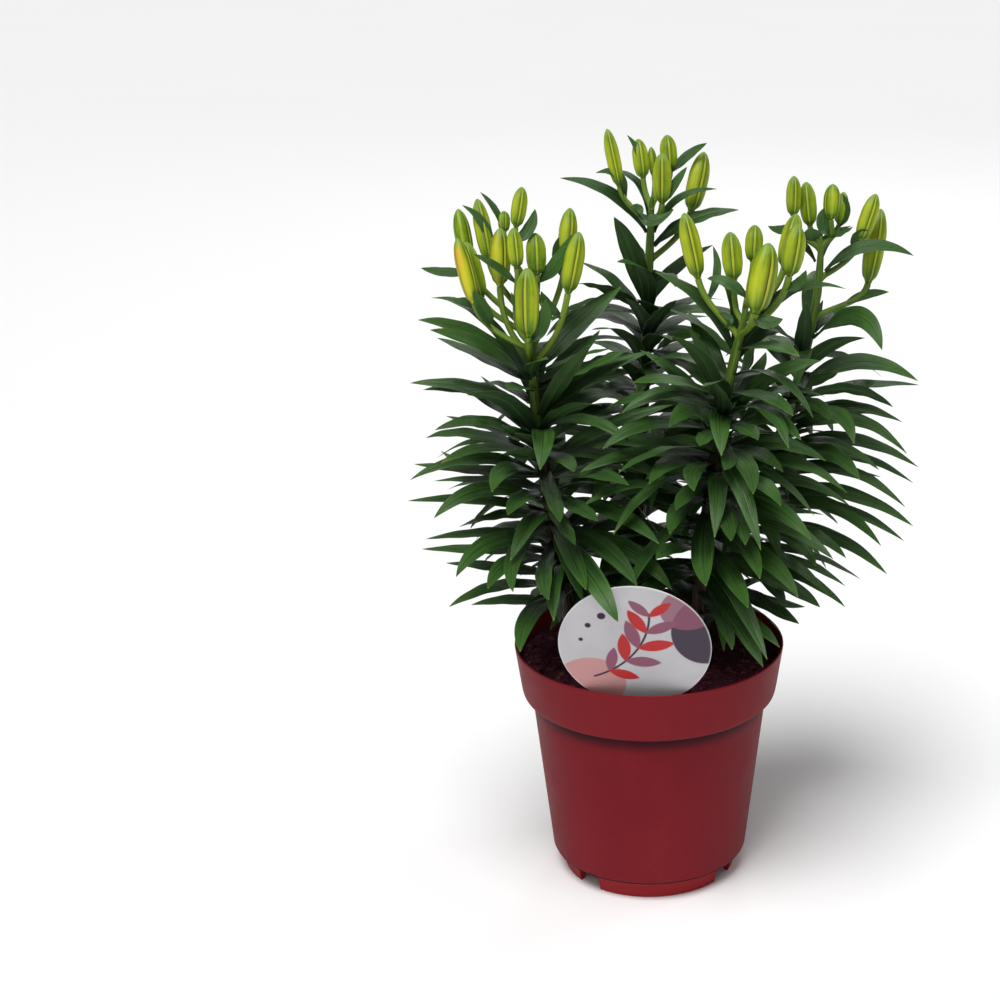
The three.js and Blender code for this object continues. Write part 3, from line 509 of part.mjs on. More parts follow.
// ---- buds: stalk control points, tip, bud radius, stalk radius at its root and under the bud, and the small leaves on the stalk
const BUDS = [
  { name: "bud_left_back_small", stalk: [[-64.64, -41.95, 367.8], [-47.35, -30.33, 380.87], [-85.19, -11.12, 397.96], [-85.43, -0.02, 417.58]], tip: [-85.57, 6.32, 428.77], r: 3.55, r0: 1.42, r1: 1.5, bracts: [[-85.4, 0, 417.6, -88.8, 6.2, 430.7, -99.8, 10.3, 439.3, 4.5, -0.35]] },
  { name: "bud_left_front_large", stalk: [[-68.07, -48.18, 353.73], [-68.38, -54.99, 357.04], [-68.8, -62.37, 363.84], [-68.85, -60.77, 370.61]], tip: [-69.13, -51.73, 408.96], r: 6.89, r0: 1.7, r1: 2.34, turn: 0.25, bracts: [[-68.8, -60.8, 367, -57.2, -59.6, 377, -58.9, -56, 391.2, 6.7, -0.7], [-68.8, -61, 368.8, -73.3, -57.6, 382.9, -78.4, -54.2, 395.5, 4.5, 0.17]] },
  { name: "bud_left_left_far", stalk: [[-67.18, -38.68, 353.25], [-64.25, -18.11, 367.94], [-102.46, -14.81, 380.15], [-106.93, -4.17, 400.42]], tip: [-113.22, 10.8, 428.95], r: 5.04, r0: 1.7, r1: 1.71, bracts: [[-105, -6.9, 395.2, -120.3, -5.1, 393.1, -135.2, -2.2, 396.3, 5.2, 0.7]] },
  { name: "bud_left_left_inner", stalk: [[-68.05, -39.16, 358.16], [-68.35, -26.51, 366.87], [-94, -25.44, 370.12], [-97.82, -21.46, 383.08]], tip: [-107.07, -11.84, 414.41], r: 5, r0: 1.7, r1: 1.7, bracts: [[-95.2, -22.9, 378.3, -105.1, -23.8, 381.3, -115.2, -24.5, 382.7, 5.2, 0.7]] },
  { name: "bud_left_left_outer", stalk: [[-72.47, -44.76, 360.19], [-84.24, -47.41, 366.9], [-98.15, -40.44, 372.51], [-101.29, -37.06, 384.29]], tip: [-110.91, -26.71, 420.42], r: 4.95, r0: 1.7, r1: 1.68, bracts: [[-90.4, -43.1, 370.5, -95.6, -42.1, 381.7, -101.4, -40.2, 392.3, 7.4, 0.52]] },
  { name: "bud_left_left_upper", stalk: [[-68.86, -40.09, 367.91], [-71.86, -24.67, 378.29], [-90.65, -17.56, 387.36], [-94.01, -9.95, 402.49]], tip: [-101.41, 6.85, 435.87], r: 5.02, r0: 1.7, r1: 1.71, bracts: [[-94, -10, 402.5, -90.6, -4, 425.1, -109.6, -2.3, 434.3, 5.2, -0.17]] },
  { name: "bud_left_middle_left", stalk: [[-71.76, -40.99, 356.72], [-82.09, -34.34, 364.39], [-86.21, -37.56, 380.86], [-86.13, -34.02, 393.67]], tip: [-85.92, -25.11, 425.96], r: 5.82, r0: 1.7, r1: 1.98, bracts: [] },
  { name: "bud_left_middle_right", stalk: [[-67.39, -40.29, 372.74], [-66.01, -31.58, 378.43], [-64.41, -30.5, 389.57], [-64.91, -26.41, 398.27]], tip: [-66.19, -15.84, 420.77], r: 5.84, r0: 1.7, r1: 1.99, bracts: [[-64.8, -28.4, 393.4, -50.1, -27.8, 405.1, -44.2, -24, 422.1, 6.7, 0]] },
  { name: "bud_left_middle_small", stalk: [[-71.56, -41.49, 364.14], [-82.04, -34.01, 372.27], [-74.22, -44.86, 392.86], [-75.54, -41.13, 406.24]], tip: [-77.71, -34.99, 428.31], r: 4.61, r0: 1.7, r1: 1.57, bracts: [[-75.7, -41.8, 396.4, -86, -40.5, 408.5, -100.7, -40.4, 414.3, 4.5, 0.52]] },
  { name: "bud_left_middle_upper", stalk: [[-69.5, -40.72, 377.59], [-75.14, -25.83, 387.78], [-79.5, -26.39, 409.38], [-76.93, -20.37, 425.42]], tip: [-73.43, -12.18, 447.24], r: 4.51, r0: 1.7, r1: 1.53, bracts: [[-77.7, -23.1, 416.4, -67.1, -18.9, 422.3, -66.1, -13.1, 434.4, 6.7, -0.35]] },
  { name: "bud_left_right_outer", stalk: [[-63.73, -41.06, 353.14], [-52.88, -35.53, 361.32], [-49.08, -37.49, 376.71], [-46.64, -33.92, 389.45]], tip: [-40.13, -24.38, 423.41], r: 5.82, r0: 1.7, r1: 1.98, bracts: [[-50, -36.2, 375.2, -59, -36.5, 381.2, -62.3, -34.6, 390.8, 5.2, 0.7]] },
  { name: "bud_left_right_upper", stalk: [[-65.86, -40.08, 361.81], [-58.1, -26.54, 372.32], [-50.58, -19.12, 386.85], [-49.08, -11.62, 402.31]], tip: [-46.25, 2.51, 431.44], r: 5.31, r0: 1.7, r1: 1.8, bracts: [[-49.6, -13.6, 398.2, -57.2, -12.8, 407.1, -52.4, -10.8, 417.2, 4.5, 0.52], [-50.4, -15.7, 394.1, -57.1, -9.2, 404.5, -52.8, -3.4, 415.4, 4.5, -0.17]] },
  { name: "bud_centre_front", stalk: [[4.46, 28.8, 419.62], [6.8, 26.2, 421.53], [8.14, 24.19, 425.79], [8.14, 25, 429.36]], tip: [8.14, 31.58, 458.29], r: 5.71, r0: 1.7, r1: 1.94, bracts: [[8.1, 24.8, 427.9, 14.8, 27.3, 439.6, 23.1, 30, 450.2, 5.2, -0.52], [7, 25.8, 423.5, 12.7, 20.5, 418, 15.3, 21.6, 426.5, 6.7, -0.87]] },
  { name: "bud_centre_left_inner", stalk: [[0.01, 35.73, 428.5], [-1.98, 39.72, 431.28], [-2.76, 41, 436.35], [-3.37, 43.04, 440.68]], tip: [-6.42, 53.34, 462.43], r: 4.85, r0: 1.7, r1: 1.65, bracts: [[-3.2, 42.5, 439.5, -2.4, 46.4, 455.1, -13, 49.1, 465.7, 4.5, -0.35]] },
  { name: "bud_centre_left_outer", stalk: [[-2.79, 32.73, 418.72], [-10.01, 33.8, 423.46], [-16.16, 32.64, 430.08], [-17.8, 34.95, 437.53]], tip: [-25, 45.04, 470.12], r: 4.22, r0: 1.69, r1: 1.5, bracts: [[-11, 33.3, 425.6, -3.4, 30.4, 426.4, -5.1, 26.3, 421.1, 5.9, -0.35], [-14.5, 33.5, 429.9, -13.8, 37.4, 450.4, -31.6, 33.1, 445.9, 5.2, 0.52]] },
  { name: "bud_centre_right_inner", stalk: [[3.93, 35.71, 429.56], [7.41, 42.03, 433.67], [13.66, 48.73, 436.24], [13.04, 52.02, 443.07]], tip: [11.21, 61.72, 463.23], r: 5.18, r0: 1.7, r1: 1.76, turn: 0.25, bracts: [[13, 51.1, 441.3, 22.1, 53.5, 453.1, 35.5, 54.7, 459.7, 5.2, -0.7]] },
  { name: "bud_centre_right_outer", stalk: [[4.54, 34.76, 394.78], [13.94, 40.6, 400.79], [23.43, 43.19, 408.93], [25.9, 47.72, 419.25]], tip: [33.89, 62.38, 452.64], r: 6.12, r0: 1.7, r1: 2.08, bracts: [[20, 42.9, 407.8, 21.1, 42.2, 412.9, 25.2, 40.2, 412.3, 5.2, -0.5]] },
  { name: "bud_centre_small", stalk: [[1.99, 35.91, 425.95], [2.45, 43.38, 430.41], [4.07, 52.61, 432], [3.27, 56.21, 439.09]], tip: [1.42, 64.43, 455.31], r: 2.75, r0: 1.1, r1: 1.5, bracts: [] },
  { name: "bud_front_front_large", stalk: [[55.13, -49.02, 369.75], [57.35, -55.1, 372.76], [60.04, -61.74, 378.47], [61.29, -60.42, 384.76]], tip: [69.01, -52.22, 423.69], r: 8.01, r0: 1.7, r1: 2.72, bracts: [[60.7, -60.5, 382.3, 68.3, -65.9, 378.3, 77, -66.7, 383, 6.7, -0.52]] },
  { name: "bud_front_left_inner", stalk: [[52.66, -41.63, 378.2], [49.13, -37.21, 382.99], [50.47, -37.46, 391.19], [49.91, -35.08, 397.54]], tip: [47.59, -25.29, 423.63], r: 5.95, r0: 1.7, r1: 2.02, bracts: [[50.1, -37.3, 388.4, 50.3, -34.9, 405.2, 34.1, -39.2, 400.4, 8.9, 0.52]] },
  { name: "bud_front_left_outer", stalk: [[49.47, -43.07, 369.93], [40.46, -39.84, 378.79], [31.54, -38.63, 387.59], [28.99, -35.42, 398.82]], tip: [20.84, -25.12, 434.82], r: 5.8, r0: 1.7, r1: 1.97, bracts: [[34.8, -38.6, 386.3, 44, -30.7, 400.5, 37.8, -23.6, 414.9, 4.5, 0], [39.7, -40.1, 380, 53, -44.4, 377, 44, -48.3, 372.4, 5.2, -0.35]] },
  { name: "bud_front_middle_back", stalk: [[56.44, -40.52, 381.16], [57.51, -31.05, 386.93], [60.8, -25.46, 395.51], [61.38, -21.03, 404.69]], tip: [62.64, -11.46, 424.51], r: 5.27, r0: 1.7, r1: 1.79, bracts: [] },
  { name: "bud_front_right_back", stalk: [[58.67, -41.35, 378.09], [67.05, -32.73, 383.16], [76.65, -28.09, 391.07], [79.47, -23.33, 401.68]], tip: [87.19, -10.27, 430.79], r: 5.85, r0: 1.7, r1: 1.99, bracts: [] },
  { name: "bud_front_right_outer", stalk: [[59.16, -43.57, 372.85], [71.31, -41.06, 376.98], [79.44, -43.7, 389.96], [81.46, -40.71, 401.39]], tip: [86.48, -33.31, 429.67], r: 6.35, r0: 1.7, r1: 2.16, bracts: [[79.2, -42, 393.6, 89, -44.3, 396.1, 91.1, -42.9, 405.5, 5.9, -0.7]] },
  { name: "bud_right_branch_lower", stalk: [[106.01, 37.3, 356.8], [117.24, 41.46, 361.65], [133.63, 44.03, 362.91], [135.68, 48.13, 373.83]], tip: [143.73, 64.22, 416.72], r: 6.19, r0: 1.7, r1: 2.1, bracts: [[121.4, 41.9, 362, 133.7, 44.7, 369.4, 148.5, 44.6, 369, 5.2, -0.7], [119.7, 41.5, 361.4, 115, 38.6, 360.7, 115.4, 35.3, 356.3, 4.5, 0.17]] },
  { name: "bud_right_branch_upper", stalk: [[108.88, 36.85, 382.42], [117.9, 38.73, 387.05], [126.25, 38.5, 393.53], [129.26, 41.05, 402.12]], tip: [138.85, 49.18, 429.47], r: 5.2, r0: 1.7, r1: 1.77, bracts: [[127.2, 39.9, 397.7, 145.5, 40, 403, 162, 35.4, 394.1, 6.7, -0.7], [126.5, 39.7, 396.7, 124.6, 39.7, 406.8, 133.7, 38.2, 409.7, 5.9, 0.7]] },
  { name: "bud_right_left_inner", stalk: [[101.98, 39.11, 405.17], [100.29, 40.81, 406.53], [98.79, 41.61, 408.78], [98.56, 42.49, 411.13]], tip: [96.12, 51.93, 436.3], r: 5.19, r0: 1.7, r1: 1.77, bracts: [[100.8, 40.2, 406.3, 99.7, 40.8, 399.5, 94.6, 44.8, 404.3, 5.2, 0]] },
  { name: "bud_right_left_upper", stalk: [[100.72, 36.52, 401.47], [94.13, 37.3, 405.34], [87.64, 36.15, 411.6], [87.78, 38.06, 418.38]], tip: [88.27, 44.63, 441.57], r: 4.56, r0: 1.7, r1: 1.55, bracts: [[89, 37.1, 413.1, 80.9, 32.7, 408.2, 72.4, 32.9, 413.4, 5.2, 0.7], [98.8, 36.7, 402.7, 99.3, 33.5, 404.5, 97.4, 33.8, 412, 9.7, -0.5]] },
  { name: "bud_right_right_inner", stalk: [[109.39, 36.41, 404.03], [113.35, 36.79, 406.44], [110.57, 35.07, 412.89], [110.81, 36.57, 416.87]], tip: [112.03, 44.03, 436.78], r: 5.16, r0: 1.7, r1: 1.76, bracts: [[110.7, 36.5, 405.4, 117.8, 34.3, 408.2, 124.1, 33.8, 412.6, 5.9, 0], [111.3, 36.4, 406.8, 103.6, 36.8, 414.8, 109.5, 38.7, 424.4, 6.7, 0.87]] },
  { name: "bud_right_small", stalk: [[107.71, 39.38, 404.01], [110.79, 43.34, 407.02], [116.09, 48.85, 405.57], [116.94, 51.2, 410.33]], tip: [120.18, 60.08, 428.3], r: 3.99, r0: 1.6, r1: 1.5, bracts: [[116.1, 49.7, 408.3, 124.5, 51.1, 417.4, 119.1, 54, 428.4, 5.2, -0.52]] },
];

// ---- small vector helpers on plain arrays
const add = (a, b) => [a[0] + b[0], a[1] + b[1], a[2] + b[2]];
const sub = (a, b) => [a[0] - b[0], a[1] - b[1], a[2] - b[2]];
const mul = (a, k) => [a[0] * k, a[1] * k, a[2] * k];
const dot = (a, b) => a[0] * b[0] + a[1] * b[1] + a[2] * b[2];
const cross = (a, b) => [a[1] * b[2] - a[2] * b[1], a[2] * b[0] - a[0] * b[2], a[0] * b[1] - a[1] * b[0]];
const unit = (a) => mul(a, 1 / (Math.hypot(...a) || 1));
const interp = (x, xs, ys) => {
  if (x <= xs[0]) return ys[0];
  for (let i = 1; i < xs.length; i++)
    if (x <= xs[i]) return ys[i - 1] + ((ys[i] - ys[i - 1]) * (x - xs[i - 1])) / (xs[i] - xs[i - 1]);
  return ys[ys.length - 1];
};
const cubic = (P, t) => {
  const u = 1 - t;
  return add(add(mul(P[0], u * u * u), mul(P[1], 3 * u * u * t)), add(mul(P[2], 3 * u * t * t), mul(P[3], t * t * t)));
};
const cubicSlope = (P, t) => {
  const u = 1 - t;
  return add(add(mul(sub(P[1], P[0]), 3 * u * u), mul(sub(P[2], P[1]), 6 * u * t)), mul(sub(P[3], P[2]), 3 * t * t));
};
const quad = (P, t) => {
  const u = 1 - t;
  return add(add(mul(P[0], u * u), mul(P[1], 2 * u * t)), mul(P[2], t * t));
};
const quadSlope = (P, t) => add(mul(sub(P[1], P[0]), 2 * (1 - t)), mul(sub(P[2], P[1]), 2 * t));
const heightToT = (P, z) => {
  let lo = 0, hi = 1;
  for (let i = 0; i < 40; i++) {
    const m = (lo + hi) / 2;
    if (cubic(P, m)[2] < z) lo = m;
    else hi = m;
  }
  return (lo + hi) / 2;
};
const ring = (centre, along, r, sides, ref, turn = 0) => {
  const T = unit(along);
  const a = unit(sub(ref, mul(T, dot(ref, T)))), b = cross(T, a), out = [];
  for (let i = 0; i < sides; i++) {
    const th = (2 * Math.PI * i) / sides + turn;
    out.push(add(centre, add(mul(a, r * Math.cos(th)), mul(b, r * Math.sin(th)))));
  }
  return out;
};

// ---- solids
const wasm = await Module();
wasm.setup();
const solid = (points, faces) => {
  const v = new Float32Array(points.length * 3);
  points.forEach((p, i) => v.set(p, i * 3));
  const make = (f) => new wasm.Manifold(new wasm.Mesh({ numProp: 3, vertProperties: v, triVerts: new Uint32Array(f.flat()) }));
  const m = make(faces);
  return m.volume() < 0 ? make(faces.map(([a, b, c]) => [a, c, b])) : m;
};
// rings joined into one body, each end closed by a fan or brought to a point
const loft = (rings, tip) => {
  const n = rings[0].length, points = rings.flat(), faces = [];
  for (let k = 0; k + 1 < rings.length; k++)
    for (let i = 0; i < n; i++) {
      const j = (i + 1) % n, a = k * n + i, b = k * n + j, c = (k + 1) * n + j, d = (k + 1) * n + i;
      faces.push([a, b, c], [a, c, d]);
    }
  for (let i = 1; i < n - 1; i++) faces.push([0, i + 1, i]);
  const o = (rings.length - 1) * n;
  if (tip) {
    points.push(tip);
    for (let i = 0; i < n; i++) faces.push([o + i, o + ((i + 1) % n), points.length - 1]);
  } else for (let i = 1; i < n - 1; i++) faces.push([o, o + i, o + i + 1]);
  return solid(points, faces);
};
// rings joined end to end into a closed tube
const closedLoft = (rings) => {
  const n = rings[0].length, K = rings.length, faces = [];
  for (let k = 0; k < K; k++)
    for (let i = 0; i < n; i++) {
      const j = (i + 1) % n, q = (k + 1) % K;
      faces.push([k * n + i, k * n + j, q * n + j], [k * n + i, q * n + j, q * n + i]);
    }
  return solid(rings.flat(), faces);
};
// a [radius, height] profile turned about the Z axis; a point on the axis is one vertex
const turned = (profile, sides) => {
  const points = [], at = [], faces = [];
  for (const [r, z] of profile) {
    if (r === 0) {
      at.push(Array(sides).fill(points.length));
      points.push([0, 0, z]);
    } else {
      const row = [];
      for (let i = 0; i < sides; i++) {
        const th = (2 * Math.PI * (i + 0.5)) / sides;
        row.push(points.length);
        points.push([r * Math.cos(th), r * Math.sin(th), z]);
      }
      at.push(row);
    }
  }
  for (let k = 0; k < profile.length; k++) {
    const p = at[k], q = at[(k + 1) % profile.length];
    for (let i = 0; i < sides; i++) {
      const j = (i + 1) % sides;
      if (p[i] !== p[j]) faces.push([p[i], p[j], q[j]]);
      if (q[i] !== q[j]) faces.push([p[i], q[j], q[i]]);
    }
  }
  return solid(points, faces);
};
const block = (x0, x1, y0, y1, z0, z1, turn) => {
  const c = Math.cos(turn), s = Math.sin(turn);
  const p = (x, y, z) => [x * c - y * s, x * s + y * c, z];
  return loft([[p(x0, y0, z0), p(x1, y0, z0), p(x1, y1, z0), p(x0, y1, z0)], [p(x0, y0, z1), p(x1, y0, z1), p(x1, y1, z1), p(x0, y1, z1)]]);
};

const X = [1, 0, 0];
const stemRadius = (s, z) => interp(z, s.radius.map((p) => p[0]), s.radius.map((p) => p[1]));
const stemRing = (s, t, grow) => {
  const c = cubic(s.axis, t);
  return ring(c, cubicSlope(s.axis, t), stemRadius(s, c[2]) + grow, STEM_SIDES, X);
};
const stemTs = (s) => s.heights.map((z, i) => (i === 0 ? 0 : i === s.heights.length - 1 ? 1 : heightToT(s.axis, z)));
const stemSolid = (s) => loft(stemTs(s).map((t) => stemRing(s, t, 0)));
// the room a stem needs in the soil
const stemRoom = (s) => {
  const above = s.heights.findIndex((z) => z > 150);
  const ts = stemTs(s).slice(0, above + 1);
  const foot = stemRing(s, 0, GAP).map((p) => add(p, mul(unit(cubicSlope(s.axis, 0)), -GAP)));
  return loft([foot, ...ts.map((t) => stemRing(s, t, GAP))]);
};
const sleeve = (s, z0, z1) => {
  const t0 = heightToT(s.axis, z0), t1 = heightToT(s.axis, z1), ts = [t0, heightToT(s.axis, (z0 + z1) / 2), t1];
  const out = ts.map((t) => stemRing(s, t, SLEEVE_GAP + SLEEVE_WALL)), inside = ts.map((t) => stemRing(s, t, SLEEVE_GAP));
  return closedLoft([...out, ...inside.reverse()]);
};
// one leaf: base, middle control and tip points, width, roll about its own axis
const leaf = ([x0, y0, z0, x1, y1, z1, x2, y2, z2, W, roll]) => {
  const P = [[x0, y0, z0], [x1, y1, z1], [x2, y2, z2]];
  let h = add(sub(P[1], P[0]), mul(sub(P[2], P[0]), 0.5));
  h = Math.hypot(h[0], h[1]) < 1e-6 ? X : unit([h[0], h[1], 0]);
  const B = [h[1], -h[0], 0];
  const rings = LEAF_STATIONS.map((s) => {
    const T = unit(quadSlope(P, s)), side0 = unit(sub(B, mul(T, dot(B, T)))), N0 = cross(side0, T);
    const a = roll * Math.min(1, s / 0.25), co = Math.cos(a), si = Math.sin(a);
    const side = add(mul(side0, co), mul(N0, si)), N = sub(mul(N0, co), mul(side0, si));
    const w = (W * interp(s, LEAF_S, LEAF_W)) / 2, f = LEAF_FOLD * w * (1 - 0.3 * s), t = LEAF_THICKNESS * (1 - 0.4 * s), c = quad(P, s);
    return [add(sub(c, mul(side, w)), mul(N, f)), add(add(c, mul(side, w)), mul(N, f)), sub(c, mul(N, t))];
  });
  return loft(rings, P[2]);
};
// one bud on its stalk: the stalk's four control points, the bud's tip, its radius, the stalk's radius at each end, the turn of its sides
const bud = ({ stalk, tip, r, r0, r1, turn = 0 }) => {
  const rings = [], base = stalk[3], axis = sub(tip, base);
  const put = (c, along, rr) => rings.push(ring(c, along, rr, BUD_SIDES, Math.abs(unit(along)[1]) < 0.9 ? [0, -1, 0] : [0, 0, 1], turn));
  for (let k = 0; k < 3; k++) put(cubic(stalk, k / 3), cubicSlope(stalk, k / 3), r0 + ((r1 - r0) * k) / 3);
  BUD_S.forEach((s, i) => put(add(base, mul(axis, s)), axis, Math.max(r * BUD_R[i], r1)));
  return loft(rings, tip);
};

// label: a disc and its spike, one flat piece
const lean = (LABEL_LEAN * Math.PI) / 180;
const turnRad = (LABEL_TURN * Math.PI) / 180, AHEAD = [Math.sin(turnRad), -Math.cos(turnRad), 0];
const LABEL_UP = [AHEAD[0] * Math.sin(lean), AHEAD[1] * Math.sin(lean), Math.cos(lean)];
const LABEL_OUT = [AHEAD[0] * Math.cos(lean), AHEAD[1] * Math.cos(lean), -Math.sin(lean)];
const LABEL_RIGHT = cross(LABEL_UP, LABEL_OUT);
const labelSolid = (grow) => {
  const centre = add(LABEL_FOOT, mul(LABEL_UP, LABEL_RADIUS)), disc = [], spike = [];
  const h = LABEL_THICKNESS / 2 + grow;
  for (const o of [-h, h]) {
    const rim = [];
    for (let i = 0; i < 40; i++) {
      const th = (2 * Math.PI * i) / 40;
      rim.push(add(add(centre, mul(LABEL_OUT, o)), add(mul(LABEL_RIGHT, (LABEL_RADIUS + grow) * Math.cos(th)), mul(LABEL_UP, (LABEL_RADIUS + grow) * Math.sin(th)))));
    }
    disc.push(rim);
    const right = LABEL_SPIKE.map(([up, w], i) => add(add(LABEL_FOOT, mul(LABEL_UP, up - (i === 2 ? grow : 0))), add(mul(LABEL_RIGHT, w / 2 + grow), mul(LABEL_OUT, o))));
    const left = LABEL_SPIKE.map(([up, w], i) => add(add(LABEL_FOOT, mul(LABEL_UP, up - (i === 2 ? grow : 0))), add(mul(LABEL_RIGHT, -w / 2 - grow), mul(LABEL_OUT, o)))).reverse();
    spike.push([...right, ...left]);
  }
  return loft(disc).add(loft(spike));
};

// ---- assembly
const root = new THREE.Group();
root.name = "potted_lily";
const put = (name, s, color, roughness) => {
  const m = s.simplify(SLIVER).getMesh(), n = m.numProp, v = new Float32Array(m.numVert * 3);
  for (let i = 0; i < m.numVert; i++) v.set(m.vertProperties.subarray(i * n, i * n + 3), i * 3);
  const g = new THREE.BufferGeometry();
  g.setAttribute("position", new THREE.BufferAttribute(v, 3));
  g.setIndex(new THREE.BufferAttribute(new Uint32Array(m.triVerts), 1));
  g.computeVertexNormals();
  const mesh = new THREE.Mesh(g, new THREE.MeshStandardMaterial({ color, roughness, metalness: 0 }));
  mesh.name = name;
  root.add(mesh);
};

let pot = turned([...POT_UNDERSIDE, ...POT_OUTSIDE, ...POT_INSIDE], POT_SEGMENTS);
for (const a of SLOT_ANGLES) pot = pot.subtract(block(SLOT_INNER, SLOT_OUTER, -SLOT_WIDTH / 2, SLOT_WIDTH / 2, -1, SLOT_HEIGHT, (a * Math.PI) / 180));
put("pot", pot, 0x7a2a2e, 0.6);

let soil = turned(SOIL_OUTSIDE, SOIL_SEGMENTS).subtract(labelSolid(GAP));
for (const s of Object.values(STEMS)) soil = soil.subtract(stemRoom(s));
put("potting_soil", soil, 0x2e1517, 0.95);
put("care_label", labelSolid(0), 0xcfd2d2, 0.45);
for (const [name, s] of Object.entries(STEMS)) put("stem_" + name, stemSolid(s), 0x5f7a32, 0.55);
for (const [name, stem, z0, z1, leaves] of TIERS) {
  let tier = sleeve(STEMS[stem], z0, z1);
  for (const l of leaves) tier = tier.add(leaf(l));
  put(name, tier, 0x2f5a27, 0.5);
}
for (const b of BUDS) {
  let s = bud(b);
  for (const l of b.bracts) s = s.add(leaf(l));
  put(b.name, s, 0xa8b84a, 0.5);
}

export default root;
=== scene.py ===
# Looks of the potted lily: every CAD node is replaced by a finished piece in the same place.
import bpy, math, random
import numpy as np
from mathutils import Vector, Matrix, noise


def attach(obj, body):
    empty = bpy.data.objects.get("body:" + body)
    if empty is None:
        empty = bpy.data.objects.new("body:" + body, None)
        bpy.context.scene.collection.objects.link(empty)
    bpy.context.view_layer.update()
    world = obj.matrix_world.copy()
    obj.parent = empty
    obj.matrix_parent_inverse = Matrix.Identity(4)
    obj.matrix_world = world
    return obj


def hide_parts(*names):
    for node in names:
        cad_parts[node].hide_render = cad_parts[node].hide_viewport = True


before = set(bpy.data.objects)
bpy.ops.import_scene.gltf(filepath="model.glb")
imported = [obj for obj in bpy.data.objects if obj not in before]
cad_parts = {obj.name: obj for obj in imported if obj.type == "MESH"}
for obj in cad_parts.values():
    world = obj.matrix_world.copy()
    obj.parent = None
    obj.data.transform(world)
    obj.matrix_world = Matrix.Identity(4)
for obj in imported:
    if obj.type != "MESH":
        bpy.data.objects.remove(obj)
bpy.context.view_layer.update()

MM = 0.001

# ---------------------------------------------------------------- tables, in millimetres
# stems: cubic Bezier axis, [height, radius] pairs; whorls: name, stem, ring heights, leaves (base, middle control, tip, width, roll);
# buds: stalk control points, tip, bud radius, stalk radii, small leaves on the stalk
STEMS = {
    "left": dict(axis=[[-46.0, -9.0, 64.0], [-38.7, -1.8, 174.6], [-72.3, -44.1, 278.6], [-67.6, -45.0, 388.2]], radius=[[64, 4.3], [145, 4.2], [340, 3.6], [366, 2.8]]),
    "centre": dict(axis=[[-9.0, 29.0, 64.0], [-7.9, 30.3, 186.8], [-3.2, 33.0, 309.4], [2.1, 32.0, 431.5]], radius=[[64, 3.8], [145, 3.7], [400, 3.2], [430, 2.6]]),
    "front": dict(axis=[[26.0, -22.0, 64.0], [27.6, -23.6, 173.0], [32.4, -43.4, 282.7], [58.4, -45.0, 388.8]], radius=[[64, 4.2], [145, 4.1], [350, 3.6], [388, 2.6]]),
    "right": dict(axis=[[38.0, 26.0, 64.0], [24.7, 27.6, 184.3], [107.8, 36.1, 286.5], [105.0, 36.0, 406.5]], radius=[[64, 3.7], [145, 3.6], [350, 3.2], [405, 2.8]]),
}
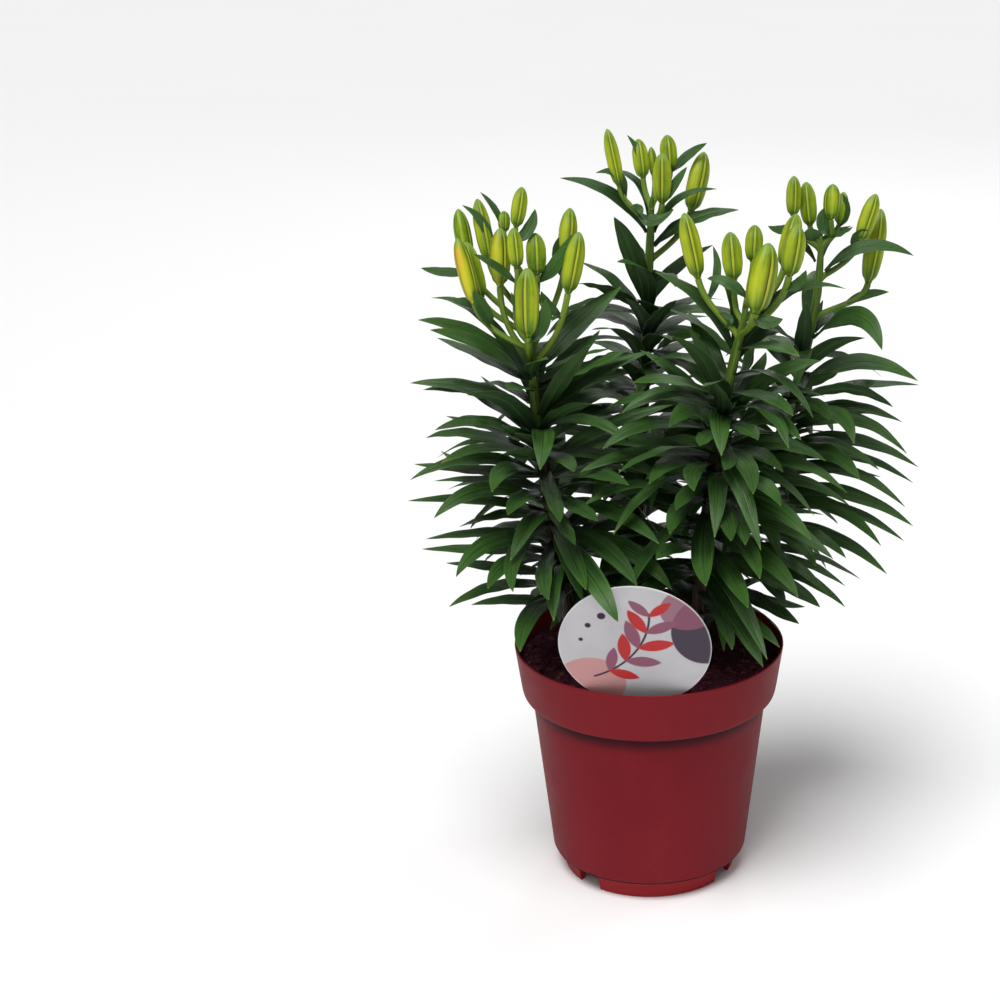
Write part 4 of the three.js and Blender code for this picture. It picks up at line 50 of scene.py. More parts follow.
TIERS = [
    ["leaves_left_1", "left", 175.3, 211.6, [
        [-51.5, -10.7, 177.3, -63.2, 22, 193, -78.2, 48, 160.1, 11.6, -0.2],
        [-49.5, -11.2, 181.6, -43.8, 26.3, 201.3, -44.4, 56.7, 189.8, 11, -0.12],
        [-55.5, -15.6, 182.5, -80.3, -13.3, 191.4, -110.6, -15.8, 184.7, 11.6, 0.17],
        [-45.7, -18, 184.6, -17.8, -25.6, 208.3, 8.7, -32.9, 187.2, 11.3, -0.16],
        [-50.3, -12.4, 189.2, -44.1, 26.2, 216.2, -36.7, 53, 202.2, 11.7, -0.28],
        [-54.4, -22.5, 193.4, -78.2, -60.4, 201.6, -75.4, -95.3, 188.3, 11.6, 0.17],
        [-56.3, -21, 195, -77.4, -32.8, 191.6, -77.9, -49.8, 168.6, 11.6, 0.35],
        [-56.9, -21, 197.9, -90.2, -37.8, 214.9, -119.9, -59.3, 201.8, 11.6, 0.17],
        [-53.8, -14.6, 201.8, -63.1, 22.4, 225.8, -79.6, 57.7, 211.2, 11.6, 0.18],
        [-48.3, -21.9, 201.4, -14.2, -41, 222.9, 22.2, -51.3, 190.1, 11.3, -0.34],
        [-50.5, -15.9, 205.5, -29.2, 18.6, 226.6, -16.3, 45.1, 207.8, 12.1, 0.12],
        [-57.3, -17.5, 204.4, -89.6, 1.5, 204.6, -128.3, 14.4, 200.7, 11.6, 0.17],
        [-54.1, -25.7, 207.9, -57.1, -52.5, 205.2, -52.4, -89.6, 205, 11.6, 0.87],]],
    ["leaves_left_2", "left", 211.9, 241, [
        [-51.6, -17.5, 214.5, -29.9, 17.7, 238.2, -14.6, 44.3, 222.8, 12.5, 0.12],
        [-55.5, -16.9, 214.5, -67.1, 26.6, 247.4, -82.2, 54.3, 228, 12.4, -0.06],
        [-54.8, -26.9, 214.7, -57.9, -66.6, 237.4, -54.9, -100.5, 210.3, 12.5, -0.35],
        [-51.8, -26.3, 216.2, -32.3, -55.5, 220.3, -14.2, -78.5, 198.3, 12.7, -0.34],
        [-58.3, -18.9, 218.1, -87.4, 10, 222.6, -105.2, 27.8, 196.1, 11.7, 0.01],
        [-50.1, -24.1, 218.4, -13.9, -36.5, 238, 15.8, -47.9, 228.2, 12, -0.01],
        [-58.7, -26, 219.2, -88.2, -52.8, 236.8, -94.3, -82.1, 222.9, 11.6, 0.35],
        [-60.3, -22.9, 222.5, -97.2, -20.3, 224.4, -139.3, -19, 223.3, 11.6, 0.17],
        [-50.8, -22.1, 224.4, -13.4, -11.2, 252.2, 24, -6.5, 222.6, 12.2, -0.21],
        [-58.7, -19.9, 225.8, -90.6, 21, 233.9, -111.4, 43.1, 205.6, 12.1, 0.27],
        [-54.8, -19.1, 227.1, -46.2, 21.5, 241.5, -35.7, 59.7, 222.4, 11.5, 0.17],
        [-60.7, -26.6, 229.2, -99, -47.8, 251.8, -113.3, -77.4, 228.6, 11.6, 0.52],
        [-57.4, -29.7, 230.6, -65.8, -71.3, 231.3, -57.3, -104.4, 225.3, 11.6, -0.52],
        [-53.4, -21.3, 233.1, -30.6, 5.3, 253.6, -12.6, 31.4, 228.1, 11.2, -0.17],
        [-61.4, -23.7, 232.7, -97.1, -13.6, 235.5, -137.6, -9.9, 226.4, 11.6, 0.17],
        [-52.6, -27.8, 236, -10.1, -50.5, 245.7, 14, -78.9, 221, 11.5, -0.7],
        [-55.7, -30.8, 238, -31, -105.8, 242.9, -17.2, -115.7, 216.3, 13, -0.3],
        [-56.3, -31, 238, -49.6, -60.7, 239.3, -38.3, -86.8, 216.8, 11.4, 0.33],]],
    ["leaves_left_3", "left", 241.3, 271.6, [
        [-54.3, -30.2, 242.7, -23, -59.3, 245.8, -6.5, -88.5, 227.5, 11.5, -0.52],
        [-60.8, -31.5, 244.6, -85.4, -70, 246.2, -78, -104.4, 230.3, 11.6, -0.17],
        [-61.8, -24, 245.8, -90.1, 5.7, 242.1, -120, 21.3, 222.4, 11.6, 0.35],
        [-57, -32.4, 246.4, -44.5, -73.4, 242, -35.7, -106.1, 232.3, 11.5, 0],
        [-63.7, -27.5, 250.8, -102, -22.2, 261.3, -146.3, -22.4, 256.1, 11.6, 0.17],
        [-60.3, -33.3, 251.2, -67.2, -61.7, 269.7, -80.5, -84.9, 242, 11.8, 0.03],
        [-62.4, -25.2, 254.5, -89.8, 9.4, 259.6, -113.4, 27, 219.1, 12.4, 0],
        [-59.7, -24.8, 257.6, -59.7, 10.5, 280.5, -54.3, 44.9, 278.4, 12.3, 0.3],
        [-64.7, -31, 258.8, -100.8, -43.1, 284, -126.1, -66.4, 261.6, 11.6, 0.52],
        [-56.1, -32.8, 259.5, -19.1, -61.9, 271.9, 6.4, -92.4, 255.4, 11.6, -0.35],
        [-63.7, -27, 262.5, -93.1, 2.3, 270, -126.1, 14.6, 249.7, 11.6, 0.17],
        [-59.3, -35.2, 261.6, -51.8, -73.1, 261.5, -41.9, -102.4, 258.7, 11.6, 0.35],
        [-58.5, -35.3, 264.5, -42.7, -70, 271.8, -28.7, -97.7, 271.6, 11.6, -0.17],
        [-56.2, -32.5, 266.3, -18.3, -43, 288.4, 7.6, -46.6, 240.3, 11.9, 0.37],
        [-64.8, -28.5, 266.4, -96, -6.2, 267.6, -133.1, 6.7, 258.5, 9.5, 0.17],
        [-62.8, -35.9, 266.8, -76.2, -67.4, 279.1, -80.4, -95.8, 274.6, 11.6, 0.17],
        [-58.5, -27.8, 269.8, -34.5, 7.9, 295, -10.9, 33.9, 280.3, 11.2, 0.01],]],
    ["leaves_left_4", "left", 271.9, 298.3, [
        [-57.3, -30.9, 274.2, -22, -17.9, 298.2, 9.8, -11.8, 271.3, 11.1, -0.21],
        [-58.2, -35.9, 274.5, -34, -62.9, 295.2, -10.9, -89.8, 290.7, 11.6, -0.35],
        [-66.1, -30.6, 274.5, -99.5, -12, 265.4, -128.3, 8.6, 277.5, 9.5, 0.17],
        [-57.2, -33.9, 275.4, -16.1, -43.5, 294.1, 21.3, -43.3, 273.2, 11.7, 0.11],
        [-63.6, -28.4, 275.7, -75.7, 2.9, 290.9, -84.2, 30.6, 252.7, 11.5, -0.11],
        [-66.5, -31.4, 275.7, -102.2, -19.6, 274.7, -143.1, -10.1, 275.5, 11.6, 0.17],
        [-66.8, -32, 277, -106, -26, 296.6, -143.1, -34.5, 273.9, 11.6, 0.35],
        [-65.2, -37.1, 277.7, -87.5, -65.9, 301.9, -89, -97.9, 289.4, 11.6, 0.35],
        [-61.6, -38.3, 279.3, -55.6, -72.7, 277.5, -50.4, -100.2, 272, 11.6, 0.35],
        [-64.2, -29.7, 283.6, -78, 14.8, 306.2, -88.2, 41.2, 264.8, 12.3, -0.37],
        [-58.7, -32.9, 286.2, -28.1, -23.3, 308.6, 14.1, -18.8, 316.1, 11.6, -0.35],
        [-66.8, -31.7, 285.5, -97.8, -12.2, 304.1, -128.9, -11.1, 279.8, 9.5, 0.17],
        [-67.4, -37.3, 287.3, -93.8, -55.1, 310.3, -119.7, -77.9, 300, 11.6, 0.17],
        [-64.6, -39.6, 287.2, -73.8, -68.8, 306.3, -85.1, -82.2, 306.4, 11.6, -0.52],
        [-59, -36.7, 289.6, -22.8, -48.6, 303.1, 14.4, -55.5, 278.9, 10.8, -0.21],
        [-61.3, -39.7, 291.7, -48.5, -63.9, 301.2, -42.5, -86.4, 297.5, 11.6, 0],
        [-68.4, -34.7, 291.8, -110.6, -29.6, 308.4, -132.7, -32.8, 300, 11.6, 0.17],
        [-62.7, -40.6, 294.2, -58.1, -61.4, 303.2, -53.4, -69.3, 307.4, 11.6, 0.17],
        [-64.9, -40.8, 294.7, -69.1, -57.3, 309.3, -76.3, -72.1, 316.3, 11.6, -0.17],
        [-65.9, -31.9, 296.7, -81.5, 8.5, 315.9, -95.4, 33.6, 286.6, 11.3, 0.25],
        [-68.8, -37, 295.6, -92.8, -45, 324.1, -124.2, -61.3, 314.5, 11.6, 0.35],
        [-68, -33.5, 296.2, -97.3, -13.1, 301.5, -123.8, 1.5, 302.5, 9.5, 0],
        [-61.6, -40.3, 295.8, -57.2, -50, 305, -49.3, -68, 312.5, 11.6, 0.17],]],
    ["leaves_left_5", "left", 298.6, 321.4, [
        [-66.9, -41, 299.3, -75, -54.8, 310.2, -83.9, -76.6, 322.7, 11.6, -0.35],
        [-63.2, -33, 303.3, -52.7, -4.9, 321.9, -47.3, 26.2, 316.7, 12.3, -0.16],
        [-69.3, -36, 303.4, -100.5, -25.4, 326.3, -123.6, -10.8, 329.8, 12.3, -0.19],
        [-61.6, -34.6, 306, -38.5, -13.3, 330.1, -12.9, 6, 312.5, 12.5, -0.31],
        [-67.8, -41.5, 304.6, -78.7, -57.4, 338.2, -103.4, -77.7, 341.1, 11.6, -0.7],
        [-64.2, -42.5, 305.8, -58.5, -70.6, 324.4, -61.6, -93.9, 301.4, 12.8, 0.08],
        [-61, -40, 308.9, -34.5, -50.7, 326.3, -10.3, -64.1, 307.7, 10.8, -0.23],
        [-62, -41.6, 309.2, -47.2, -61.7, 333.4, -26.2, -82.1, 336.5, 11.6, 0.35],
        [-67.9, -34.4, 310.4, -84, -8.7, 315.3, -102.6, 13.3, 324.4, 9.5, -0.35],
        [-66.1, -34.3, 313.8, -68.4, -5.1, 341.9, -71.2, 17, 335.8, 12.3, -0.29],
        [-69.9, -36.8, 313.2, -96.4, -28, 335.6, -133.8, -28.8, 328.7, 11.6, 0.35],
        [-61.8, -37.2, 316.5, -37.7, -26.9, 342, 1, -22.1, 350.2, 11.6, -0.35],
        [-62.4, -42.5, 318.4, -48.8, -58.8, 348.1, -33, -71.2, 368.9, 11.6, 0.35],
        [-70.6, -38.3, 318.3, -101.3, -32.6, 337.2, -140.8, -33.6, 334.5, 11.6, 0.35],
        [-65.1, -35.3, 320.5, -62, -21.8, 329.3, -55.5, -8.1, 339.8, 11.6, 0.52],]],
    ["leaves_left_6", "left", 321.8, 346.3, [
        [-69.9, -37.1, 323.4, -91.6, -16.5, 337.3, -109.8, 7.6, 317.4, 12.3, -0.12],
        [-67.7, -36, 325.2, -76.2, -3, 349.5, -86.9, 15.8, 342.5, 11.2, 0.26],
        [-63.9, -37.2, 328.3, -47.2, -15.6, 347.4, -33.9, 1.4, 353.8, 12.1, -0.29],
        [-62.5, -39.5, 329.3, -40.5, -33.2, 342.7, -12, -27.6, 353.1, 11.6, -0.17],
        [-62.5, -42.2, 332.8, -33.6, -47.4, 350.8, -16.3, -50, 357.8, 12.5, -0.27],
        [-66.7, -36.9, 333.5, -64.2, -6.2, 357, -61.7, 18.6, 343.9, 12.1, 0.22],
        [-68.2, -46, 333.6, -74.4, -73.4, 347.4, -79, -91.4, 348.7, 12.2, 0.28],
        [-70.4, -38.3, 334.8, -95.8, -19.9, 385.6, -128.1, -19.4, 382.5, 11.6, 0],
        [-63.5, -39.3, 337, -44.5, -27, 343.9, -28.8, -12.5, 361, 11.6, 0],
        [-71.8, -41.1, 337.6, -94.2, -38.6, 353.5, -123.6, -36.7, 363.1, 11.6, 0.17],
        [-71, -45.3, 341.1, -91.9, -64.9, 372, -122.5, -84, 381.4, 11.6, 0.7],
        [-72.1, -42.7, 342.6, -97.6, -47.2, 375.9, -132, -57.1, 379.7, 11.6, 0.52],
        [-68, -46.9, 342.4, -69.6, -58.7, 357, -57, -71.6, 360.7, 11.6, -0.35],
        [-63.1, -42.6, 343.4, -40.9, -43.1, 355.5, -20.4, -43.5, 358.8, 12, 0.08],
        [-64.7, -39.2, 344.5, -45.7, -18.5, 366.4, -16.3, -1.3, 384.4, 12.8, -0.52],]],
    ["leaves_centre_1", "centre", 168.9, 247.1, [
        [-11.8, 31.3, 170.5, -43.7, 37.5, 184.7, -63.6, 39.4, 162.2, 12.2, -0.37],
        [-10.9, 33.2, 170.8, -39.2, 55.3, 187.7, -64.7, 73.2, 167.2, 11, 0.16],
        [-11, 28.5, 184, -45.9, 11.2, 191.3, -62.2, -4.3, 162.9, 12.4, 0.24],
        [-10, 33.9, 187.8, -34.5, 58.8, 202.2, -50.3, 82.7, 170.6, 12.6, 0.33],
        [-2.7, 32.7, 187.8, 23.6, 46.1, 191, 40.8, 50.9, 159.9, 10.8, 0.3],
        [-2.2, 29.7, 189.4, 24.2, 24.7, 203.1, 51.7, 21.9, 180.3, 10.8, -0.38],
        [-8.6, 26.4, 191.9, -22.6, -4.8, 204.6, -39.1, -34.9, 181.3, 12.6, -0.34],
        [-3.4, 27.4, 195.6, 19.5, 3.4, 206, 40.3, -25.7, 193.1, 11.5, -0.27],
        [-8.8, 34.7, 200.4, -31.2, 72.1, 206, -46.6, 94.3, 176.2, 11.7, 0.35],
        [-2.5, 33.1, 200.9, 31.4, 52.6, 221.3, 63.7, 63.5, 197.1, 11.9, -0.22],
        [-10.6, 29.2, 204.4, -47, 15.5, 218.9, -81.1, 2.5, 196.7, 11.5, -0.19],
        [-3.5, 34.6, 210, 22.5, 70.6, 221.4, 31.7, 96.7, 174.1, 12, 0.17],
        [-1.7, 29.7, 212.2, 33.4, 20.3, 220.4, 65.1, 4.6, 191.8, 11.5, 0.08],
        [-10.6, 30.9, 215.3, -54.3, 29.9, 229.4, -85.9, 27.5, 222.4, 11.2, 0.06],
        [-8.4, 34.9, 215.5, -33.2, 76, 220, -49.9, 100.4, 190.4, 11.9, 0.11],
        [-5.3, 26.5, 218.6, -0.7, -5.4, 222.2, 0.8, -28.7, 185.3, 12, 0.22],
        [-4.1, 35.3, 223.4, 11.4, 73.3, 229.7, 27.6, 104, 201.7, 12.5, -0.11],
        [-7.6, 26.9, 224.7, -23.6, -10.2, 228.9, -31.4, -37.5, 185.1, 11.9, 0.01],
        [-5.5, 26.5, 225, -3.3, -11.2, 229.8, -2.6, -30.2, 196, 11.7, 0.06],
        [-9.4, 33.6, 228.5, -40.7, 54.1, 253.1, -72.3, 75.2, 228.9, 11.7, 0.38],
        [-6.3, 26.7, 231.9, -12.3, -7.7, 235.8, -9.9, -38.1, 203, 12.1, 0.25],
        [-4.8, 35.7, 233.6, 2.1, 83, 245.3, 11.1, 116.8, 233.6, 12.2, -0.09],
        [-9.8, 30.1, 236.1, -55.5, 18.7, 260.9, -88.8, 12.5, 238.9, 11.3, 0.32],
        [-7.1, 35.4, 241.3, -20.9, 66.3, 248.8, -30.3, 91.6, 213, 11.7, -0.22],
        [-2.4, 34.8, 243.7, 21.4, 64.9, 262.4, 44.3, 89.2, 241.4, 11.5, -0.11],]],
    ["leaves_centre_2", "centre", 247.5, 298.6, [
        [-9.5, 31.4, 249.1, -43.8, 31.6, 271.3, -79.4, 27.7, 243.3, 11.6, 0.02],
        [-2.8, 27.4, 251.6, 15, -6.7, 263.2, 24.2, -25.5, 227.1, 10.9, 0.04],
        [-0.7, 29.8, 251.8, 35.9, 16.1, 268.3, 65.6, 1.6, 238.6, 11.7, -0.38],
        [-5.7, 35.8, 257.1, -13.4, 68.7, 261.5, -13.9, 92.9, 221.7, 12.4, 0.34],
        [-7.4, 35, 260.4, -29.6, 62.5, 274.5, -51.4, 84.4, 237.1, 12.3, -0.29],
        [-2.6, 35.5, 260.2, 14.5, 68.1, 279.1, 32.5, 99.3, 259.2, 12.3, -0.24],
        [-8.8, 30.1, 261.4, -41.2, 19.4, 272.3, -70.4, 4.1, 258.2, 11.3, -0.19],
        [-8.6, 33.5, 261.8, -40.6, 49.1, 286.3, -74, 65.6, 269.8, 12, 0.3],
        [-5.2, 27.1, 263.5, -10.2, -3.6, 267.6, -15, -23.6, 243.2, 12.1, -0.16],
        [-0.1, 30.5, 264.4, 36, 21.7, 275.3, 66.4, 8.5, 247, 12.1, -0.28],
        [-2.9, 35.8, 268, 11.3, 77.5, 283.1, 27.4, 107.6, 273.5, 11.2, -0.18],
        [-0.8, 34.4, 269.9, 30.1, 58.9, 275.2, 48.3, 81.2, 262.5, 12.2, -0.38],
        [-7.8, 28.9, 271, -45.6, -0.4, 271.6, -64.4, -19.4, 234.7, 10.9, -0.04],
        [-4.7, 36.1, 274.4, -10.8, 81.4, 278.9, -12, 110.7, 250.2, 11.8, -0.36],
        [0.3, 30.7, 276.3, 35.1, 22.7, 293.8, 71.4, 10.1, 269.6, 11.8, -0.34],
        [-0.9, 34.8, 277.3, 30.8, 66.2, 291.1, 55.9, 81, 259.3, 11.6, 0.26],
        [-8.1, 30, 279.4, -48.4, 13.7, 282.1, -72.5, -3.2, 253.4, 11.8, -0.19],
        [-7.5, 34.3, 280.9, -42.6, 59.8, 297.1, -72.9, 76.4, 271.9, 11.4, -0.1],
        [-6.2, 28, 283, -24.7, -1.9, 280.7, -34.5, -27.6, 249.9, 12.1, 0.19],
        [-2.9, 27.4, 283.1, 6.4, -13.5, 300.6, 1.5, -46.7, 259.3, 11.6, 0.17],
        [0.6, 32.9, 286.5, 33.4, 41.5, 290, 55.2, 53.5, 248.7, 12.5, -0.33],
        [-4.6, 36.1, 290, -14.5, 77.6, 299.8, -38.9, 98.9, 281.7, 11.6, 0.17],
        [-1.1, 35.5, 292, 18.5, 65.5, 294.7, 38.3, 86.9, 262.7, 12.3, 0.27],
        [-2.5, 27.5, 292.6, 4, 0, 296.7, 6.9, -22.8, 295.3, 11.6, 0.35],
        [0.8, 30.8, 294.2, 46.7, 19.2, 312.2, 78, 7.6, 288.7, 11.2, -0.37],
        [-7.6, 30.5, 295.2, -39.3, 19.9, 309.4, -67.8, 14.8, 277.6, 12.6, 0.34],]],
    ["leaves_centre_3", "centre", 298.9, 342.1, [
        [-7.4, 33.3, 300.6, -41.6, 44.8, 319.4, -69.4, 57.1, 297.1, 12.6, 0.31],
        [-4.8, 36, 300.5, -19.7, 74.6, 314.6, -48.3, 91.9, 294.1, 11.6, 0.17],
        [-0.4, 35.3, 301.1, 29.5, 71.1, 312.2, 45.8, 94.6, 276.5, 12, 0.06],
        [-4.1, 27.7, 305.8, -10.9, 0.3, 309.8, -14.1, -22.6, 307.9, 11.6, -0.17],
        [-7.2, 31.6, 309.8, -44.7, 29, 315.5, -69.2, 32.3, 284.7, 12.5, -0.11],
        [-4.7, 28, 311, -10.6, 13.4, 337.8, -28.8, -19.3, 344.4, 11.6, 0],
        [-1.5, 36.1, 310.8, 11.9, 75.9, 322.6, 38.1, 96.9, 308.2, 11.6, 0],
        [-6.1, 29.1, 311.7, -34.7, 3.8, 326, -53.5, -15.4, 300.6, 11.9, 0.3],
        [1.2, 33.9, 313.3, 41.3, 53.9, 312.9, 60.4, 67.9, 278.6, 11.7, 0.19],
        [1.6, 31.4, 313.5, 48.9, 25.4, 327.6, 83.4, 27.8, 312.4, 12.1, 0.18],
        [-2.8, 27.6, 314.8, -2.7, 2.8, 328.6, -5, -22, 323.4, 11.6, -0.52],
        [-4.2, 36, 318.7, -19.1, 72.6, 335.4, -51.1, 90.3, 321.6, 11.6, 0],
        [-6.6, 30.7, 321.4, -41.4, 19.8, 326.6, -66.1, 19.2, 294.3, 12, 0.27],
        [-0.6, 36, 321.2, 17.1, 72.4, 334.9, 46.9, 90.8, 321.5, 11.6, 0],
        [1.8, 30.7, 322.7, 39.3, 18.7, 340, 75.3, 2.1, 324.6, 12.6, 0.23],
        [-1.6, 27.8, 326.4, 4.1, -7.2, 329.2, 11.7, -21.6, 326.5, 11.6, 0.17],
        [-5.8, 34.6, 326.6, -33.4, 54.2, 333.8, -56.3, 65.2, 292.5, 12.6, 0.28],
        [1.7, 33.9, 326.4, 37.7, 50.7, 329.1, 65.8, 57.7, 303.9, 12.3, -0.1],
        [-3.6, 28, 327.8, -11.2, 1.3, 363.4, -33.1, -27.4, 365.3, 11.6, 0],
        [0.1, 28.4, 327.6, 10.3, 13.7, 354.7, 30.9, -5.1, 355.1, 11.6, -0.7],
        [-1.3, 27.8, 334.1, 3.4, 4.2, 358.9, 14.1, -21.2, 357.3, 11.6, 0.17],
        [1.5, 29.4, 334.9, 30.8, 6.6, 338.9, 49.6, -9.2, 308.1, 11.8, -0.19],
        [-0.4, 36.2, 336.6, 13.8, 74.3, 351, 43, 94.2, 338.5, 11.6, 0],
        [-3.3, 36.2, 338.7, -16.5, 73.8, 358.2, -47.6, 90.2, 341, 11.6, 0],
        [-5.9, 31.1, 339.7, -43.5, 22.2, 354.6, -67.8, 19, 325.9, 12.1, -0.08],]],
    ["leaves_centre_4", "centre", 342.5, 385.3, [
        [2.5, 33.5, 343.8, 35, 44, 355.6, 58.5, 51.6, 317.8, 11.2, -0.2],
        [0.1, 36.1, 344.3, 15.1, 69.6, 362.9, 47.1, 86.1, 352.7, 11.6, 0],
        [-0.3, 28, 345.6, 5.3, 11.8, 372.4, -6.8, -6.5, 377.8, 11.6, 0.35],
        [-0.8, 27.9, 345.7, 5.4, -3.2, 368.9, 16.4, -13.8, 379.8, 11.6, -0.17],
        [2.5, 30.6, 345.6, 33.3, 18.4, 358.8, 59.7, 7.2, 332.4, 11.4, -0.2],
        [-5.7, 31.7, 347.3, -38.4, 28.2, 367.5, -65.3, 29.9, 353.8, 12, 0.12],
        [-1.7, 27.9, 348.3, -2.9, -1.2, 371.4, -13.2, -11.9, 380.5, 11.6, 0.35],
        [-4.6, 34.9, 350.9, -12.9, 42.6, 378.6, -42.3, 46, 387.7, 11.6, 0],
        [3.2, 32.4, 354.6, 38.4, 34.5, 369.6, 67.7, 37.3, 349.7, 11.3, -0.19],
        [-5.2, 31.4, 357.5, -40.4, 25.2, 373.6, -62.3, 15.1, 349.1, 11.2, 0.2],
        [-3.4, 28.7, 359.9, -25.7, -2.2, 387.8, -42.3, -19.4, 391.2, 12.6, -0.24],
        [2.5, 29.6, 362.4, 29, 8.6, 367.6, 53.5, -8.7, 341.8, 11.8, 0.26],
        [-0.2, 28, 363.5, 3.9, 8.2, 400.5, -18.6, -4.4, 400.5, 11.6, 0.52],
        [-4.7, 30.7, 365.8, -37.4, 18.7, 377.4, -59.5, 15.5, 357.9, 10.9, -0.09],
        [1.5, 35.9, 365.9, 13.4, 55.4, 385.5, 40, 68.8, 392.8, 11.6, 0],
        [-2.8, 28.5, 367.4, -6.6, 19.8, 398.7, -20.5, 13, 423.6, 12.8, -0.52],
        [1, 28.1, 377.6, 11, -8, 402.6, 15.9, -30.2, 392, 11.1, 0.26],
        [-1.5, 36.1, 383.1, -11.7, 62, 401.1, -20.7, 80.4, 399.5, 12, -0.34],]],
    ["leaves_centre_5", "centre", 399.7, 412.1, [
        [4.6, 33.9, 401, 23.9, 42, 420.6, 55.1, 43.8, 420.8, 11.6, -0.35],
        [-2.4, 34, 410, -18.7, 43.1, 439, -53.7, 43.6, 440.5, 8.5, 0.52],
        [2, 36.1, 409.9, 4.2, 45.6, 417.1, 14.9, 53.5, 419.2, 7, -0.17],
        [0.9, 36.1, 409.9, 1.3, 57.1, 447.9, -32.4, 61.5, 440.4, 5.4, 0],
        [4.2, 34.7, 409.8, 13.8, 41.9, 435.9, 41.5, 41.3, 434.3, 5.4, -0.52],]],
    ["leaves_front_1", "front", 171.5, 218.5, [
        [31.9, -24, 173.2, 51.7, 9.5, 181, 65.8, 40.9, 161.5, 11.5, 0.17],
        [24.9, -30.5, 177.1, -6.9, -42.6, 192.6, -30.7, -48.1, 170.7, 11.7, -0.37],
        [33.4, -33.2, 185.7, 59.5, -62.4, 202.2, 77.9, -84, 186.2, 11, -0.14],
        [34.6, -27.3, 187.1, 61.6, -13.5, 194.5, 82.5, -2.6, 160.5, 11.7, -0.01],
        [28.8, -25.1, 190.1, 17.4, 11.9, 206.4, 15.9, 37.7, 167, 12.2, -0.17],
        [26.6, -26.6, 190.9, 1, -3.6, 210, -17.4, 22.3, 172.4, 11.7, -0.07],
        [32.9, -35.5, 200.5, 46.4, -67.3, 199.7, 49.3, -95, 189.5, 11.6, 0.35],
        [26.4, -32, 204.8, -16.5, -38.2, 230.2, -51.9, -38.1, 199.4, 11.6, -0.19],
        [32.7, -26.8, 208.5, 43.9, 20.2, 220.4, 48.5, 61.5, 200.7, 10.9, -0.11],
        [28.4, -35.5, 212.8, 4.3, -59.3, 227.9, -14.2, -80.3, 199.7, 13, 0.27],
        [34.3, -36.4, 212.8, 54, -71.1, 200.7, 67.4, -101.2, 181.3, 11.5, -0.17],]],
    ["leaves_front_2", "front", 218.9, 241.2, [
        [27.9, -34.5, 220.6, -7.9, -47.8, 228.7, -34.1, -55.3, 189.9, 12.2, 0.2],
        [35.7, -29.1, 220.5, 62.5, 1.3, 222.3, 79.6, 29, 183, 11.9, 0.34],
        [37.6, -33, 222.6, 72.2, -32.5, 215.8, 104.1, -38.9, 193.1, 11.6, -0.52],
        [34.6, -37.6, 222.9, 50.9, -77.5, 228.4, 69.2, -109.7, 190, 12.4, 0.13],
        [36.8, -36.4, 225.8, 65, -57.9, 235, 85.2, -72.3, 217, 12.6, -0.16],
        [30.8, -38, 229.6, 15.6, -69.7, 249.5, 4.6, -98.9, 248.6, 11.6, 0.35],
        [28.7, -33.3, 233.6, -12.2, -26.9, 243.4, -42.1, -16.2, 218.6, 11.1, -0.19],
        [35.2, -38.7, 233.3, 50, -81.9, 233.9, 57.4, -116.9, 225.6, 11.5, -0.17],
        [32.5, -29.4, 234.6, 22.7, 13.3, 251.7, 14.2, 41.8, 210.1, 12.5, -0.24],
        [38.1, -31.9, 236.3, 74.5, -10.8, 252.8, 108.7, 2, 237.7, 11.1, -0.12],
        [37.9, -37.7, 238.6, 71.6, -65.1, 244.8, 87.4, -94.9, 223.2, 11.5, -0.52],
        [38.9, -35.8, 239.1, 82.5, -46, 235.7, 108.7, -50, 206.2, 11.8, -0.2],]],
    ["leaves_front_3", "front", 241.6, 272.5, [
        [30.5, -32.3, 243.7, -1.8, -10.7, 260.1, -28.8, 11.4, 251.1, 12.6, 0.29],
        [31.4, -38.9, 245.8, 5.6, -66.5, 263.6, -13.1, -83, 218.3, 12.7, -0.24],
        [35.8, -30.6, 247.2, 43.6, 9.7, 257.1, 53.8, 33.8, 218.9, 12.6, -0.32],
        [30.3, -35.4, 249.6, -11.1, -33.9, 269.2, -41.3, -28.8, 249.6, 11.2, -0.01],
        [37.6, -40.1, 250.7, 60, -80.4, 255.9, 64, -116, 243.2, 11.5, -0.17],
        [35, -40.9, 253.6, 29.8, -84.3, 248.5, 33.2, -118.3, 239.8, 14, -0.35],
        [40.3, -37.2, 253.4, 80, -47.2, 260.3, 109.6, -65.6, 235.3, 11.6, -0.52],
        [38.9, -32.6, 256.5, 65.3, -0.4, 267.1, 80.2, 26.1, 230.3, 12, -0.01],
        [31.9, -38.8, 259.3, -1.6, -56.7, 293.4, -38.8, -70.5, 270.5, 12.4, 0.11],
        [31.8, -34.7, 260.5, -9.2, -16.1, 278.5, -34.1, -8.8, 237.2, 11.5, 0.36],
        [38.5, -41.2, 261.4, 56.2, -76, 269.6, 55.6, -107.3, 260.6, 11.6, 0],
        [37.3, -32.2, 262.7, 44.3, 9.6, 287.2, 48.9, 49.3, 267, 11.8, -0.25],
        [34.4, -41.3, 264.6, 15.1, -78.8, 276.9, 12.6, -112.5, 269.3, 11.6, 0.17],
        [34.1, -33.3, 265.9, 12.4, -2, 284.6, -12.8, 21.1, 243.6, 12.3, 0.34],
        [41.5, -35.9, 265.6, 83.2, -27.1, 286.2, 121.3, -36, 257.9, 11.6, -0.35],
        [40.8, -40.3, 266.6, 74, -66.7, 278, 94.1, -96, 259.2, 11.6, -0.52],
        [40.5, -34, 267.5, 70.5, -4.5, 267.2, 90.9, 19.7, 231.2, 12.3, -0.21],
        [38.1, -42.2, 268.1, 46.8, -83.9, 271.3, 47.2, -117.2, 266.9, 11.5, 0],]],
    ["leaves_front_4", "front", 272.8, 299.4, [
